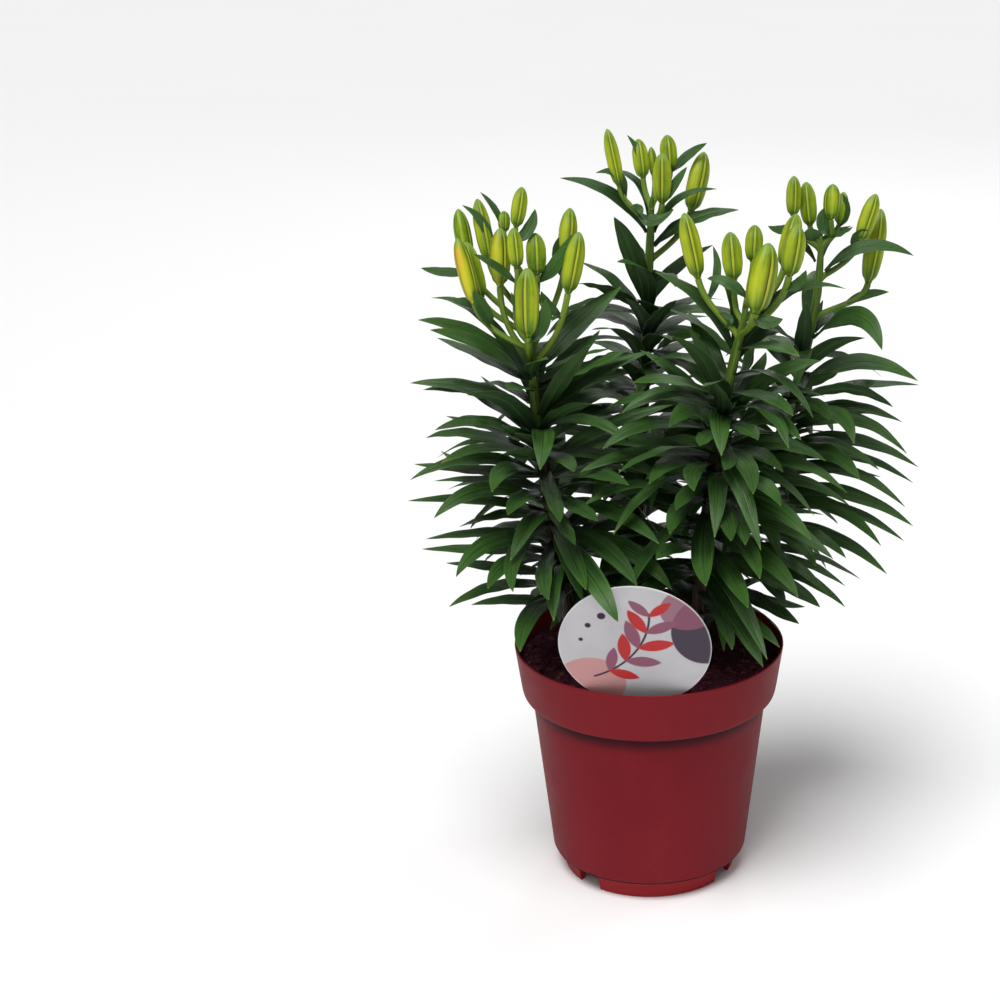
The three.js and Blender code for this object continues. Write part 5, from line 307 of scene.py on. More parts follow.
        [33.7, -35.8, 275.1, -9.9, -12.7, 298.8, -47.2, 0, 289.8, 12.6, 0.06],
        [34.5, -41.3, 275.1, 3.1, -70.8, 298.2, -20.2, -87.4, 259.2, 12, -0.16],
        [38.3, -33.4, 276.5, 39.9, 19.5, 300.3, 43.9, 54.4, 293.6, 12.2, 0.14],
        [40.8, -42.1, 275.9, 66.6, -77.9, 297.2, 75.3, -113.5, 286.7, 11.6, -0.17],
        [41.5, -34.8, 277.4, 71.3, -3.3, 289.2, 87.7, 13, 242.7, 11.5, -0.2],
        [36.5, -42.8, 277.7, 23.5, -79, 285.2, 16, -108.9, 282.6, 11.6, 0],
        [43.2, -37.6, 278.7, 84.6, -33.1, 300.2, 118.4, -46.2, 269.9, 11.6, -0.35],
        [39.2, -43.4, 281, 42.3, -74.6, 297.7, 38.1, -106.4, 264.7, 11.5, 0.28],
        [34.9, -41.4, 282.1, 13.3, -60.6, 305.2, 0.7, -101.7, 295.7, 11.6, 0.35],
        [34.4, -38.4, 284.8, -5.1, -34.3, 309.4, -40.6, -23.3, 290.3, 12.5, 0.36],
        [43.7, -41.1, 285.9, 74.4, -55.1, 294.9, 96.9, -75.7, 266.6, 13, 0.2],
        [37.3, -43.4, 287, 21.7, -78.3, 300.7, 26.2, -110.1, 294.5, 11.6, 0],
        [37.7, -34.8, 287.7, 20.3, 6.3, 295.1, -5.6, 26, 272.2, 11.6, 0.35],
        [43.7, -36.6, 289.9, 73.5, -14.2, 305.4, 96.9, 9.4, 282, 10.9, -0.05],
        [40.9, -44.1, 290, 48.9, -82.4, 310.3, 64.3, -113.6, 259.9, 12.3, 0.09],
        [35.6, -41.2, 291.6, -9.6, -58, 306.5, -39.8, -69, 291, 12, 0.23],
        [45, -38.8, 293, 75, -34.7, 307, 105.7, -41.6, 288.5, 11.6, -0.52],
        [37.4, -43.4, 294.1, 11.3, -73.7, 316.1, -16.6, -103.1, 302.9, 12.9, -0.21],
        [44.9, -42.1, 295.3, 64.6, -52.5, 303.6, 78.3, -75.2, 293.5, 11.6, -0.17],
        [42.8, -44.3, 296.8, 60.9, -82.4, 305.9, 59.3, -116.8, 295.1, 11.5, -0.17],
        [38.9, -35.8, 298, 32.4, -15.4, 331.2, -5.1, -2.1, 345.5, 11.6, 0],]],
    ["leaves_front_5", "front", 299.8, 330.8, [
        [42.4, -45, 300.8, 49.6, -76, 305.8, 43.3, -101.6, 304.1, 11.6, 0.52],
        [46.1, -38.8, 302.4, 79.4, -25.4, 308, 98.2, -14.4, 274.8, 11.4, 0.27],
        [45.2, -43.8, 303.1, 68.6, -64.5, 336.2, 87, -94.7, 319.7, 11.6, -0.52],
        [38.3, -43.7, 304.1, 25, -62.4, 339.4, 12.1, -90.8, 326.2, 11.6, 0.7],
        [38, -42.7, 307.5, -1.7, -59.6, 328.2, -26, -77.3, 308.2, 12.6, 0.28],
        [41.4, -45.5, 308.8, 33.5, -83.9, 320.5, 29.6, -100.6, 318.1, 11.6, 0],
        [44.8, -45.5, 310.9, 56.5, -69.1, 322.9, 62.7, -92.1, 318.8, 11.6, -0.17],
        [48.1, -41.4, 313.4, 65.2, -44.2, 348.1, 100.4, -52.5, 353.8, 11.6, -0.7],
        [43.5, -46.3, 317.8, 39.9, -75.2, 333.7, 41.9, -96.8, 310.9, 12.4, 0.38],
        [39.6, -41.7, 319.3, 2.9, -41.8, 338.8, -25.5, -37.5, 319.1, 10.9, 0.21],
        [43.8, -46.4, 318.9, 44.9, -74.5, 339.7, 38.7, -84.2, 349.7, 11.6, 0.7],
        [47.1, -45.5, 318.7, 71.2, -77.3, 345.1, 79.5, -105.1, 318.1, 12, 0.1],
        [43.9, -37.2, 320.9, 42.2, -4.5, 342.4, 24, 22.6, 363, 12.8, 0],
        [40.5, -43.9, 322.2, 14.7, -55.6, 347.5, -15.4, -61.8, 324.9, 12.5, 0.3],
        [43.9, -46.6, 324.1, 43.8, -66.4, 351.9, 31.2, -90.3, 349.8, 11.6, -0.17],
        [41.2, -44.7, 324.7, 37.9, -52.5, 357.4, 13.8, -62.4, 371.7, 11.6, -0.35],
        [43.5, -37.8, 324.8, 39.1, -19.8, 342, 24.9, -3.3, 358.4, 11.6, -0.35],
        [47.3, -38, 324.2, 63.3, -9, 326.1, 71.3, 7.5, 341.4, 11.6, 0.17],
        [49.5, -40.3, 324.6, 82.9, -26, 335.4, 106.4, -13.6, 319.4, 11.1, -0.07],
        [47.7, -38.1, 328, 63.5, -6.8, 334.8, 61.6, 11.5, 354.1, 11.6, 0.7],
        [41.7, -44.6, 328.6, 14.2, -60.2, 350.8, -8.5, -74.9, 347.4, 12.5, 0.25],]],
    ["leaves_front_6", "front", 331.1, 362.6, [
        [49.4, -46.3, 331.9, 71.5, -74.1, 343.9, 82.2, -96, 334.5, 11.1, -0.13],
        [50.7, -39.6, 337.3, 70.3, -18.7, 344.4, 83.2, -3.6, 318.8, 11.3, 0.04],
        [43.8, -40.7, 339.7, 16.8, -24.3, 360, -7.7, -12.3, 334.5, 12, 0.02],
        [52.4, -46.1, 343.7, 77.6, -65.1, 358.8, 94.6, -80.7, 328.4, 12.1, 0.19],
        [52.8, -40.1, 351.4, 73.6, -21.8, 381.2, 89.8, -26.1, 350.2, 11.6, -0.35],
        [47.9, -41.7, 358.8, 37.6, -32.3, 389.3, 4, -28.1, 400.5, 11.6, 0.17],
        [54, -40.3, 357.6, 75.8, -24.8, 402.5, 115.7, -27.7, 390.2, 11.6, -0.17],
        [54.8, -47.3, 359.2, 72.8, -66.7, 371.9, 86, -79.9, 364.6, 11.4, -0.21],
        [53.7, -40.2, 360.2, 61.7, -28.8, 372.7, 79.5, -22.5, 370.6, 6.2, -0.35],
        [50.2, -40.2, 360.9, 52.6, -27.8, 404, 34.3, -30.5, 396.9, 7, -0.35],]],
    ["leaves_right_1", "right", 164.8, 212.5, [
        [42.7, 31, 167.1, 5.6, 51.6, 190.4, -21, 64.4, 161.7, 11.8, 0.08],
        [50.4, 32.5, 169.6, 72.7, 61.8, 180.9, 98.2, 85.9, 149, 11, 0.09],
        [45.6, 33, 171.1, 27.7, 66.5, 190, 11.4, 93.2, 160.4, 12.4, -0.16],
        [53.5, 28.7, 174.9, 74.2, 26.6, 169.2, 100, 25.4, 165.9, 11.6, -0.17],
        [50.5, 33.8, 179.2, 53.7, 64.2, 182.8, 54.2, 86.9, 158.8, 11.3, 0.18],
        [52.4, 25.3, 181.2, 72.4, -15.4, 186.3, 91.6, -46.9, 185.3, 11.6, -0.17],
        [51.1, 34, 186.9, 42.3, 71.6, 205.2, 28.2, 102.7, 192.2, 11.5, -0.23],
        [53.6, 33.9, 186.8, 65.1, 71.7, 191.6, 70.2, 95.5, 157.4, 12.4, 0.18],
        [55.9, 32.6, 187.3, 87.6, 60.3, 176.7, 113.3, 72.1, 146, 11.6, 0.7],
        [49.4, 32.4, 190.8, 10.9, 61.2, 210.1, -17.2, 84.4, 191.2, 11, 0],
        [52.5, 25.4, 191.6, 44, -17.3, 207.2, 45.7, -56, 171.3, 11.5, -0.24],
        [58.1, 29.9, 191.1, 96.4, 31, 195.6, 125.3, 20.6, 167.9, 11.6, -0.35],
        [56.5, 25.8, 196.2, 75.7, -16, 205.8, 82.5, -51.5, 199.1, 11.6, 0],
        [59.3, 30.3, 195.2, 95.3, 32.8, 203.9, 125.2, 24.2, 180.9, 11.6, -0.17],
        [52, 31.3, 201.8, 14.6, 41.3, 212, -11.8, 53.1, 179.4, 11.1, -0.15],
        [59.1, 34.2, 202.4, 76.2, 66.9, 208.3, 86.4, 96.3, 171.7, 12.5, -0.12],
        [61.9, 31.8, 204.6, 101, 44.9, 202.8, 136.7, 45.6, 177, 11.6, -0.17],]],
    ["leaves_right_2", "right", 212.8, 249, [
        [58.4, 34.6, 214.9, 35.8, 75.7, 232.9, 14.9, 101.8, 215.8, 11.3, 0.24],
        [62.7, 26.6, 216.4, 89.9, -28.5, 241.8, 100.2, -56.9, 227.3, 11.6, -0.17],
        [64.7, 27.7, 217.2, 98.4, 1, 237, 120.5, -29.5, 221.6, 11.6, -0.17],
        [66, 31.1, 216.6, 115.4, 33.6, 225.2, 151.3, 20.6, 190.6, 11.6, -0.52],
        [58.1, 29.1, 219.8, 20.6, 11.1, 238.9, -9.1, -8.4, 213.3, 11.3, 0.25],
        [61.3, 26.6, 219.2, 54.4, -12.1, 248.1, 45.5, -48.7, 213.9, 12.7, 0.32],
        [65.2, 34.8, 220.6, 87.4, 72.1, 224.9, 100.1, 102, 187.5, 10.8, -0.38],
        [64.1, 35.6, 223.4, 68, 72, 234, 74, 99.7, 197.2, 12.1, -0.03],
        [60.7, 33.8, 226.3, 30.9, 56.3, 250.3, 0.8, 77, 228.7, 12.2, -0.28],
        [61.1, 30.5, 229.7, 15, 21.5, 255, -21, 13.3, 242.1, 10.8, -0.09],
        [69.1, 34.5, 229.9, 94.3, 60.2, 219.4, 117.3, 78.6, 170.8, 11.1, -0.11],
        [70.4, 32, 230, 120.4, 38.1, 242.2, 162.1, 27.8, 210.4, 11.6, -0.35],
        [67.7, 35.9, 232.7, 78.1, 85.9, 238.2, 81.4, 121.8, 223.6, 12.3, -0.26],
        [68.3, 27.3, 236.5, 71.3, -14.4, 245.7, 78.9, -53.2, 231.5, 12.3, 0.33],
        [65.7, 35.4, 237.2, 46, 67.9, 255.8, 31.4, 102.4, 253.1, 11.5, 0.37],
        [72.2, 31.7, 235.3, 118.4, 32.5, 245.7, 146.6, 17.7, 210.9, 11.6, -0.52],
        [64.4, 33.6, 238.5, 23.7, 53.2, 266.7, -9.6, 60.3, 221.2, 12.1, 0.08],
        [72.4, 34.6, 238.9, 101.4, 58.8, 232.3, 124.5, 83.6, 200.8, 12.3, 0.05],
        [74, 32.2, 240.6, 124.6, 35.8, 252.5, 167, 24.4, 221.9, 11.6, -0.52],
        [72.2, 36.1, 243.9, 88.1, 80.7, 246, 103.6, 108, 219, 11, 0.14],]],
    ["leaves_right_3", "right", 249.4, 279.7, [
        [72.4, 27.9, 251.2, 67.6, -18.3, 274.5, 58.7, -58.8, 262.1, 10.8, 0.17],
        [69.9, 29.2, 252.1, 37, -5.4, 279.6, 14.6, -29.6, 230.2, 12.2, 0.27],
        [76.8, 34.8, 251.4, 111.6, 57.3, 253.3, 150.2, 68.5, 239.1, 11.6, -0.17],
        [70, 33.4, 256, 17, 45.4, 274.1, -13, 49, 249.9, 11, 0.35],
        [78.9, 32.8, 255.2, 126.7, 37, 268.6, 161.5, 24.3, 234.7, 11.6, -0.35],
        [74.4, 36.9, 257.2, 68, 85, 279.5, 65, 127.2, 267.1, 12.2, -0.08],
        [77, 28.4, 259.8, 85.5, -3.1, 279.2, 87.5, -32.9, 267.6, 11.4, -0.07],
        [80.4, 34.2, 260.5, 126.8, 49.8, 273.7, 168.6, 46.6, 242.8, 11.6, -0.35],
        [79.1, 36.2, 261.2, 103.1, 69.3, 274.6, 119.5, 101.2, 250.8, 12.1, 0.15],
        [74.1, 35.8, 264.6, 38.4, 70.7, 291.9, 7, 91.4, 287, 12.2, -0.15],
        [80.7, 29.6, 265, 112.3, 6.3, 289.4, 127.9, -24.5, 270.3, 11.6, -0.52],
        [74.6, 34.1, 269.5, 26.8, 47.1, 308.4, -7.8, 54.4, 291.6, 11.7, -0.07],
        [78.1, 28.7, 269.1, 73.3, -3.2, 295.4, 62.2, -28.1, 278.5, 11.9, -0.39],
        [83.4, 34.7, 269.8, 129, 51.2, 283, 171.6, 48.9, 252.8, 11.6, -0.52],
        [84.1, 33.5, 271, 117.4, 36.8, 282.2, 144.6, 27.8, 258.3, 11.6, -0.35],
        [83.5, 36.5, 274.1, 108.9, 67.8, 281, 131.3, 86.5, 250.8, 11.6, 0.1],
        [82, 29, 276.2, 88.7, -2.6, 278.5, 76.2, -27.3, 277.8, 11.6, -0.7],
        [77.2, 32.3, 277.7, 34.6, 22.3, 303.2, 5.7, 21.2, 280.4, 12, 0.2],]],
    ["leaves_right_4", "right", 280, 308.3, [
        [87, 34.3, 280.2, 128.2, 42.2, 304.7, 161.9, 28.6, 268.6, 11.6, -0.52],
        [84.9, 37.6, 282.6, 98, 74, 291.5, 107.5, 109.6, 252, 11.6, -0.3],
        [87.3, 36.4, 284.4, 122.8, 62.1, 300.1, 161.7, 61.8, 278.8, 11.6, -0.52],
        [88.4, 30.7, 288.6, 120.2, 9.9, 315.2, 123.9, -21, 292.2, 11.6, -0.35],
        [81.7, 35.1, 291.3, 34.5, 50.6, 308.5, -0.2, 71, 288.7, 11.1, -0.3],
        [84.3, 37.8, 291.9, 64.9, 82.2, 300.4, 49.3, 104.2, 255.6, 11.8, 0.11],
        [88.4, 37.6, 291.9, 110.5, 77.7, 291.1, 121.8, 113, 254.7, 11.1, -0.18],
        [86.7, 29.7, 295.7, 82.8, -4.6, 317.5, 82.5, -35.1, 307.6, 11.7, -0.36],
        [84.3, 32.6, 299.9, 32, 12.8, 320.4, -5.4, 7.4, 302.6, 10.9, 0.34],
        [92.5, 35.1, 298.6, 122.1, 41.2, 318.8, 152.5, 33.4, 298, 11.6, 0.87],
        [87.5, 38.2, 301.8, 71.9, 78.9, 313.3, 66.8, 104.7, 287, 10.9, -0.21],
        [92.5, 36.9, 301.4, 129.9, 64.9, 307.5, 172.8, 71.8, 300.4, 11.6, -0.17],
        [87, 30.8, 303.9, 66, 2.1, 323.1, 46.9, -20.3, 278.1, 12.6, -0.18],
        [90.2, 38.5, 303.3, 94.9, 74.9, 311.1, 95.2, 104.1, 265, 11.8, 0.1],
        [91.1, 30.2, 303.4, 103.4, 5.9, 311.9, 109.3, -17.2, 306.1, 11.6, -0.17],]],
    ["leaves_right_5", "right", 308.6, 347.6, [
        [93.7, 30.8, 309.6, 103.1, 21.4, 321.1, 115.1, 3.8, 329.9, 11.6, 0.52],
        [89.1, 31.6, 313.5, 63.6, 6.2, 336.9, 44.6, -15.9, 306.9, 11, 0.08],
        [96.5, 35.6, 312.9, 131.4, 43.5, 337.7, 167.6, 34.8, 314.6, 11.6, -0.7],
        [93.3, 38.8, 315.1, 97.8, 80.5, 315.3, 105.5, 108.8, 280.5, 11.8, -0.05],
        [91.6, 38.6, 317.1, 75.5, 77, 337.2, 64, 110, 325.4, 11.7, 0.37],
        [95.1, 30.6, 320.6, 107.1, 11.3, 350.2, 129.5, -9.8, 355.3, 11.6, 0.52],
        [94.4, 30.5, 320.5, 96.1, 5.7, 322.1, 91.1, -14.5, 321.1, 11.6, -0.87],
        [93.9, 39, 320.4, 93.4, 60, 323.4, 90.7, 90.2, 325, 11.6, -0.52],
        [93.4, 30.7, 322.1, 95.2, 13.8, 349.9, 95.1, 11.4, 371.7, 11.6, -0.35],
        [96.4, 39.2, 327.9, 101.5, 62, 340.2, 110.6, 82.1, 353.8, 11.6, 0.7],
        [99.7, 37.7, 329.6, 128.5, 62.3, 326.8, 150.2, 88.5, 300.7, 12.5, -0.32],
        [96.2, 30.8, 330.8, 92.8, -8, 355.7, 86.9, -43.4, 335.8, 12.5, -0.27],
        [94.3, 38.2, 333.5, 70, 65.9, 344.5, 49, 84.6, 315.6, 10.9, -0.04],
        [94.1, 34.1, 338.3, 61.9, 25.6, 361.5, 29.2, 19.9, 364.2, 11.9, 0],
        [102.9, 33.2, 343.5, 131.9, 20.6, 377.3, 140, -8.7, 347.5, 12.8, -0.87],
        [99.9, 39.6, 345.3, 101.8, 71.3, 373.4, 107.7, 97.8, 369, 12, 0.02],
        [101.7, 39, 344.9, 120.4, 71, 360, 140.2, 91.8, 334.1, 12.2, -0.03],]],
    ["leaves_right_6", "right", 388.7, 392.4, [
        [105.4, 39.8, 390.2, 107.9, 52.6, 405.9, 125.7, 60.1, 407, 6.2, 0],
        [101.4, 37.7, 390.4, 93.1, 42.2, 406.9, 73, 43.7, 410.8, 6.2, 0.52],]],
]
BUDS = [
    dict(name="bud_left_back_small", stem="left", stalk=[[-64.64, -41.95, 367.8], [-47.35, -30.33, 380.87], [-85.19, -11.12, 397.96], [-85.43, -0.02, 417.58]], tip=[-85.57, 6.32, 428.77], r=3.55, r0=1.42, r1=1.5, bracts=[[-85.4, 0, 417.6, -88.8, 6.2, 430.7, -99.8, 10.3, 439.3, 4.5, -0.35]]),
    dict(name="bud_left_front_large", stem="left", stalk=[[-68.07, -48.18, 353.73], [-68.38, -54.99, 357.04], [-68.8, -62.37, 363.84], [-68.85, -60.77, 370.61]], tip=[-69.13, -51.73, 408.96], r=6.89, r0=1.7, r1=2.34, bracts=[[-68.8, -60.8, 367, -57.2, -59.6, 377, -58.9, -56, 391.2, 6.7, -0.7], [-68.8, -61, 368.8, -73.3, -57.6, 382.9, -78.4, -54.2, 395.5, 4.5, 0.17]]),
    dict(name="bud_left_left_far", stem="left", stalk=[[-67.18, -38.68, 353.25], [-64.25, -18.11, 367.94], [-102.46, -14.81, 380.15], [-106.93, -4.17, 400.42]], tip=[-113.22, 10.8, 428.95], r=5.04, r0=1.7, r1=1.71, bracts=[[-105, -6.9, 395.2, -120.3, -5.1, 393.1, -135.2, -2.2, 396.3, 5.2, 0.7]]),
    dict(name="bud_left_left_inner", stem="left", stalk=[[-68.05, -39.16, 358.16], [-68.35, -26.51, 366.87], [-94, -25.44, 370.12], [-97.82, -21.46, 383.08]], tip=[-107.07, -11.84, 414.41], r=5, r0=1.7, r1=1.7, bracts=[[-95.2, -22.9, 378.3, -105.1, -23.8, 381.3, -115.2, -24.5, 382.7, 5.2, 0.7]]),
    dict(name="bud_left_left_outer", stem="left", stalk=[[-72.47, -44.76, 360.19], [-84.24, -47.41, 366.9], [-98.15, -40.44, 372.51], [-101.29, -37.06, 384.29]], tip=[-110.91, -26.71, 420.42], r=4.95, r0=1.7, r1=1.68, bracts=[[-90.4, -43.1, 370.5, -95.6, -42.1, 381.7, -101.4, -40.2, 392.3, 7.4, 0.52]]),
    dict(name="bud_left_left_upper", stem="left", stalk=[[-68.86, -40.09, 367.91], [-71.86, -24.67, 378.29], [-90.65, -17.56, 387.36], [-94.01, -9.95, 402.49]], tip=[-101.41, 6.85, 435.87], r=5.02, r0=1.7, r1=1.71, bracts=[[-94, -10, 402.5, -90.6, -4, 425.1, -109.6, -2.3, 434.3, 5.2, -0.17]]),
    dict(name="bud_left_middle_left", stem="left", stalk=[[-71.76, -40.99, 356.72], [-82.09, -34.34, 364.39], [-86.21, -37.56, 380.86], [-86.13, -34.02, 393.67]], tip=[-85.92, -25.11, 425.96], r=5.82, r0=1.7, r1=1.98, bracts=[]),
    dict(name="bud_left_middle_right", stem="left", stalk=[[-67.39, -40.29, 372.74], [-66.01, -31.58, 378.43], [-64.41, -30.5, 389.57], [-64.91, -26.41, 398.27]], tip=[-66.19, -15.84, 420.77], r=5.84, r0=1.7, r1=1.99, bracts=[[-64.8, -28.4, 393.4, -50.1, -27.8, 405.1, -44.2, -24, 422.1, 6.7, 0]]),
    dict(name="bud_left_middle_small", stem="left", stalk=[[-71.56, -41.49, 364.14], [-82.04, -34.01, 372.27], [-74.22, -44.86, 392.86], [-75.54, -41.13, 406.24]], tip=[-77.71, -34.99, 428.31], r=4.61, r0=1.7, r1=1.57, bracts=[[-75.7, -41.8, 396.4, -86, -40.5, 408.5, -100.7, -40.4, 414.3, 4.5, 0.52]]),
    dict(name="bud_left_middle_upper", stem="left", stalk=[[-69.5, -40.72, 377.59], [-75.14, -25.83, 387.78], [-79.5, -26.39, 409.38], [-76.93, -20.37, 425.42]], tip=[-73.43, -12.18, 447.24], r=4.51, r0=1.7, r1=1.53, bracts=[[-77.7, -23.1, 416.4, -67.1, -18.9, 422.3, -66.1, -13.1, 434.4, 6.7, -0.35]]),
    dict(name="bud_left_right_outer", stem="left", stalk=[[-63.73, -41.06, 353.14], [-52.88, -35.53, 361.32], [-49.08, -37.49, 376.71], [-46.64, -33.92, 389.45]], tip=[-40.13, -24.38, 423.41], r=5.82, r0=1.7, r1=1.98, bracts=[[-50, -36.2, 375.2, -59, -36.5, 381.2, -62.3, -34.6, 390.8, 5.2, 0.7]]),
    dict(name="bud_left_right_upper", stem="left", stalk=[[-65.86, -40.08, 361.81], [-58.1, -26.54, 372.32], [-50.58, -19.12, 386.85], [-49.08, -11.62, 402.31]], tip=[-46.25, 2.51, 431.44], r=5.31, r0=1.7, r1=1.8, bracts=[[-49.6, -13.6, 398.2, -57.2, -12.8, 407.1, -52.4, -10.8, 417.2, 4.5, 0.52], [-50.4, -15.7, 394.1, -57.1, -9.2, 404.5, -52.8, -3.4, 415.4, 4.5, -0.17]]),
    dict(name="bud_centre_front", stem="centre", stalk=[[4.46, 28.8, 419.62], [6.8, 26.2, 421.53], [8.14, 24.19, 425.79], [8.14, 25, 429.36]], tip=[8.14, 31.58, 458.29], r=5.71, r0=1.7, r1=1.94, bracts=[[8.1, 24.8, 427.9, 14.8, 27.3, 439.6, 23.1, 30, 450.2, 5.2, -0.52], [7, 25.8, 423.5, 12.7, 20.5, 418, 15.3, 21.6, 426.5, 6.7, -0.87]]),
    dict(name="bud_centre_left_inner", stem="centre", stalk=[[0.01, 35.73, 428.5], [-1.98, 39.72, 431.28], [-2.76, 41, 436.35], [-3.37, 43.04, 440.68]], tip=[-6.42, 53.34, 462.43], r=4.85, r0=1.7, r1=1.65, bracts=[[-3.2, 42.5, 439.5, -2.4, 46.4, 455.1, -13, 49.1, 465.7, 4.5, -0.35]]),
    dict(name="bud_centre_left_outer", stem="centre", stalk=[[-2.79, 32.73, 418.72], [-10.01, 33.8, 423.46], [-16.16, 32.64, 430.08], [-17.8, 34.95, 437.53]], tip=[-25, 45.04, 470.12], r=4.22, r0=1.69, r1=1.5, bracts=[[-11, 33.3, 425.6, -3.4, 30.4, 426.4, -5.1, 26.3, 421.1, 5.9, -0.35], [-14.5, 33.5, 429.9, -13.8, 37.4, 450.4, -31.6, 33.1, 445.9, 5.2, 0.52]]),
    dict(name="bud_centre_right_inner", stem="centre", stalk=[[3.93, 35.71, 429.56], [7.41, 42.03, 433.67], [13.66, 48.73, 436.24], [13.04, 52.02, 443.07]], tip=[11.21, 61.72, 463.23], r=5.18, r0=1.7, r1=1.76, bracts=[[13, 51.1, 441.3, 22.1, 53.5, 453.1, 35.5, 54.7, 459.7, 5.2, -0.7]]),
    dict(name="bud_centre_right_outer", stem="centre", stalk=[[4.54, 34.76, 394.78], [13.94, 40.6, 400.79], [23.43, 43.19, 408.93], [25.9, 47.72, 419.25]], tip=[33.89, 62.38, 452.64], r=6.12, r0=1.7, r1=2.08, bracts=[[20, 42.9, 407.8, 21.1, 42.2, 412.9, 25.2, 40.2, 412.3, 5.2, -0.5]]),
    dict(name="bud_centre_small", stem="centre", stalk=[[1.99, 35.91, 425.95], [2.45, 43.38, 430.41], [4.07, 52.61, 432], [3.27, 56.21, 439.09]], tip=[1.42, 64.43, 455.31], r=2.75, r0=1.1, r1=1.5, bracts=[]),
    dict(name="bud_front_front_large", stem="front", stalk=[[55.13, -49.02, 369.75], [57.35, -55.1, 372.76], [60.04, -61.74, 378.47], [61.29, -60.42, 384.76]], tip=[69.01, -52.22, 423.69], r=8.01, r0=1.7, r1=2.72, bracts=[[60.7, -60.5, 382.3, 68.3, -65.9, 378.3, 77, -66.7, 383, 6.7, -0.52]]),
    dict(name="bud_front_left_inner", stem="front", stalk=[[52.66, -41.63, 378.2], [49.13, -37.21, 382.99], [50.47, -37.46, 391.19], [49.91, -35.08, 397.54]], tip=[47.59, -25.29, 423.63], r=5.95, r0=1.7, r1=2.02, bracts=[[50.1, -37.3, 388.4, 50.3, -34.9, 405.2, 34.1, -39.2, 400.4, 8.9, 0.52]]),
    dict(name="bud_front_left_outer", stem="front", stalk=[[49.47, -43.07, 369.93], [40.46, -39.84, 378.79], [31.54, -38.63, 387.59], [28.99, -35.42, 398.82]], tip=[20.84, -25.12, 434.82], r=5.8, r0=1.7, r1=1.97, bracts=[[34.8, -38.6, 386.3, 44, -30.7, 400.5, 37.8, -23.6, 414.9, 4.5, 0], [39.7, -40.1, 380, 53, -44.4, 377, 44, -48.3, 372.4, 5.2, -0.35]]),
    dict(name="bud_front_middle_back", stem="front", stalk=[[56.44, -40.52, 381.16], [57.51, -31.05, 386.93], [60.8, -25.46, 395.51], [61.38, -21.03, 404.69]], tip=[62.64, -11.46, 424.51], r=5.27, r0=1.7, r1=1.79, bracts=[]),
    dict(name="bud_front_right_back", stem="front", stalk=[[58.67, -41.35, 378.09], [67.05, -32.73, 383.16], [76.65, -28.09, 391.07], [79.47, -23.33, 401.68]], tip=[87.19, -10.27, 430.79], r=5.85, r0=1.7, r1=1.99, bracts=[]),
    dict(name="bud_front_right_outer", stem="front", stalk=[[59.16, -43.57, 372.85], [71.31, -41.06, 376.98], [79.44, -43.7, 389.96], [81.46, -40.71, 401.39]], tip=[86.48, -33.31, 429.67], r=6.35, r0=1.7, r1=2.16, bracts=[[79.2, -42, 393.6, 89, -44.3, 396.1, 91.1, -42.9, 405.5, 5.9, -0.7]]),
    dict(name="bud_right_branch_lower", stem="right", stalk=[[106.01, 37.3, 356.8], [117.24, 41.46, 361.65], [133.63, 44.03, 362.91], [135.68, 48.13, 373.83]], tip=[143.73, 64.22, 416.72], r=6.19, r0=1.7, r1=2.1, bracts=[[121.4, 41.9, 362, 133.7, 44.7, 369.4, 148.5, 44.6, 369, 5.2, -0.7], [119.7, 41.5, 361.4, 115, 38.6, 360.7, 115.4, 35.3, 356.3, 4.5, 0.17]]),
    dict(name="bud_right_branch_upper", stem="right", stalk=[[108.88, 36.85, 382.42], [117.9, 38.73, 387.05], [126.25, 38.5, 393.53], [129.26, 41.05, 402.12]], tip=[138.85, 49.18, 429.47], r=5.2, r0=1.7, r1=1.77, bracts=[[127.2, 39.9, 397.7, 145.5, 40, 403, 162, 35.4, 394.1, 6.7, -0.7], [126.5, 39.7, 396.7, 124.6, 39.7, 406.8, 133.7, 38.2, 409.7, 5.9, 0.7]]),
    dict(name="bud_right_left_inner", stem="right", stalk=[[101.98, 39.11, 405.17], [100.29, 40.81, 406.53], [98.79, 41.61, 408.78], [98.56, 42.49, 411.13]], tip=[96.12, 51.93, 436.3], r=5.19, r0=1.7, r1=1.77, bracts=[[100.8, 40.2, 406.3, 99.7, 40.8, 399.5, 94.6, 44.8, 404.3, 5.2, 0]]),
    dict(name="bud_right_left_upper", stem="right", stalk=[[100.72, 36.52, 401.47], [94.13, 37.3, 405.34], [87.64, 36.15, 411.6], [87.78, 38.06, 418.38]], tip=[88.27, 44.63, 441.57], r=4.56, r0=1.7, r1=1.55, bracts=[[89, 37.1, 413.1, 80.9, 32.7, 408.2, 72.4, 32.9, 413.4, 5.2, 0.7], [98.8, 36.7, 402.7, 99.3, 33.5, 404.5, 97.4, 33.8, 412, 9.7, -0.5]]),
    dict(name="bud_right_right_inner", stem="right", stalk=[[109.39, 36.41, 404.03], [113.35, 36.79, 406.44], [110.57, 35.07, 412.89], [110.81, 36.57, 416.87]], tip=[112.03, 44.03, 436.78], r=5.16, r0=1.7, r1=1.76, bracts=[[110.7, 36.5, 405.4, 117.8, 34.3, 408.2, 124.1, 33.8, 412.6, 5.9, 0], [111.3, 36.4, 406.8, 103.6, 36.8, 414.8, 109.5, 38.7, 424.4, 6.7, 0.87]]),
    dict(name="bud_right_small", stem="right", stalk=[[107.71, 39.38, 404.01], [110.79, 43.34, 407.02], [116.09, 48.85, 405.57], [116.94, 51.2, 410.33]], tip=[120.18, 60.08, 428.3], r=3.99, r0=1.6, r1=1.5, bracts=[[116.1, 49.7, 408.3, 124.5, 51.1, 417.4, 119.1, 54, 428.4, 5.2, -0.52]]),
]

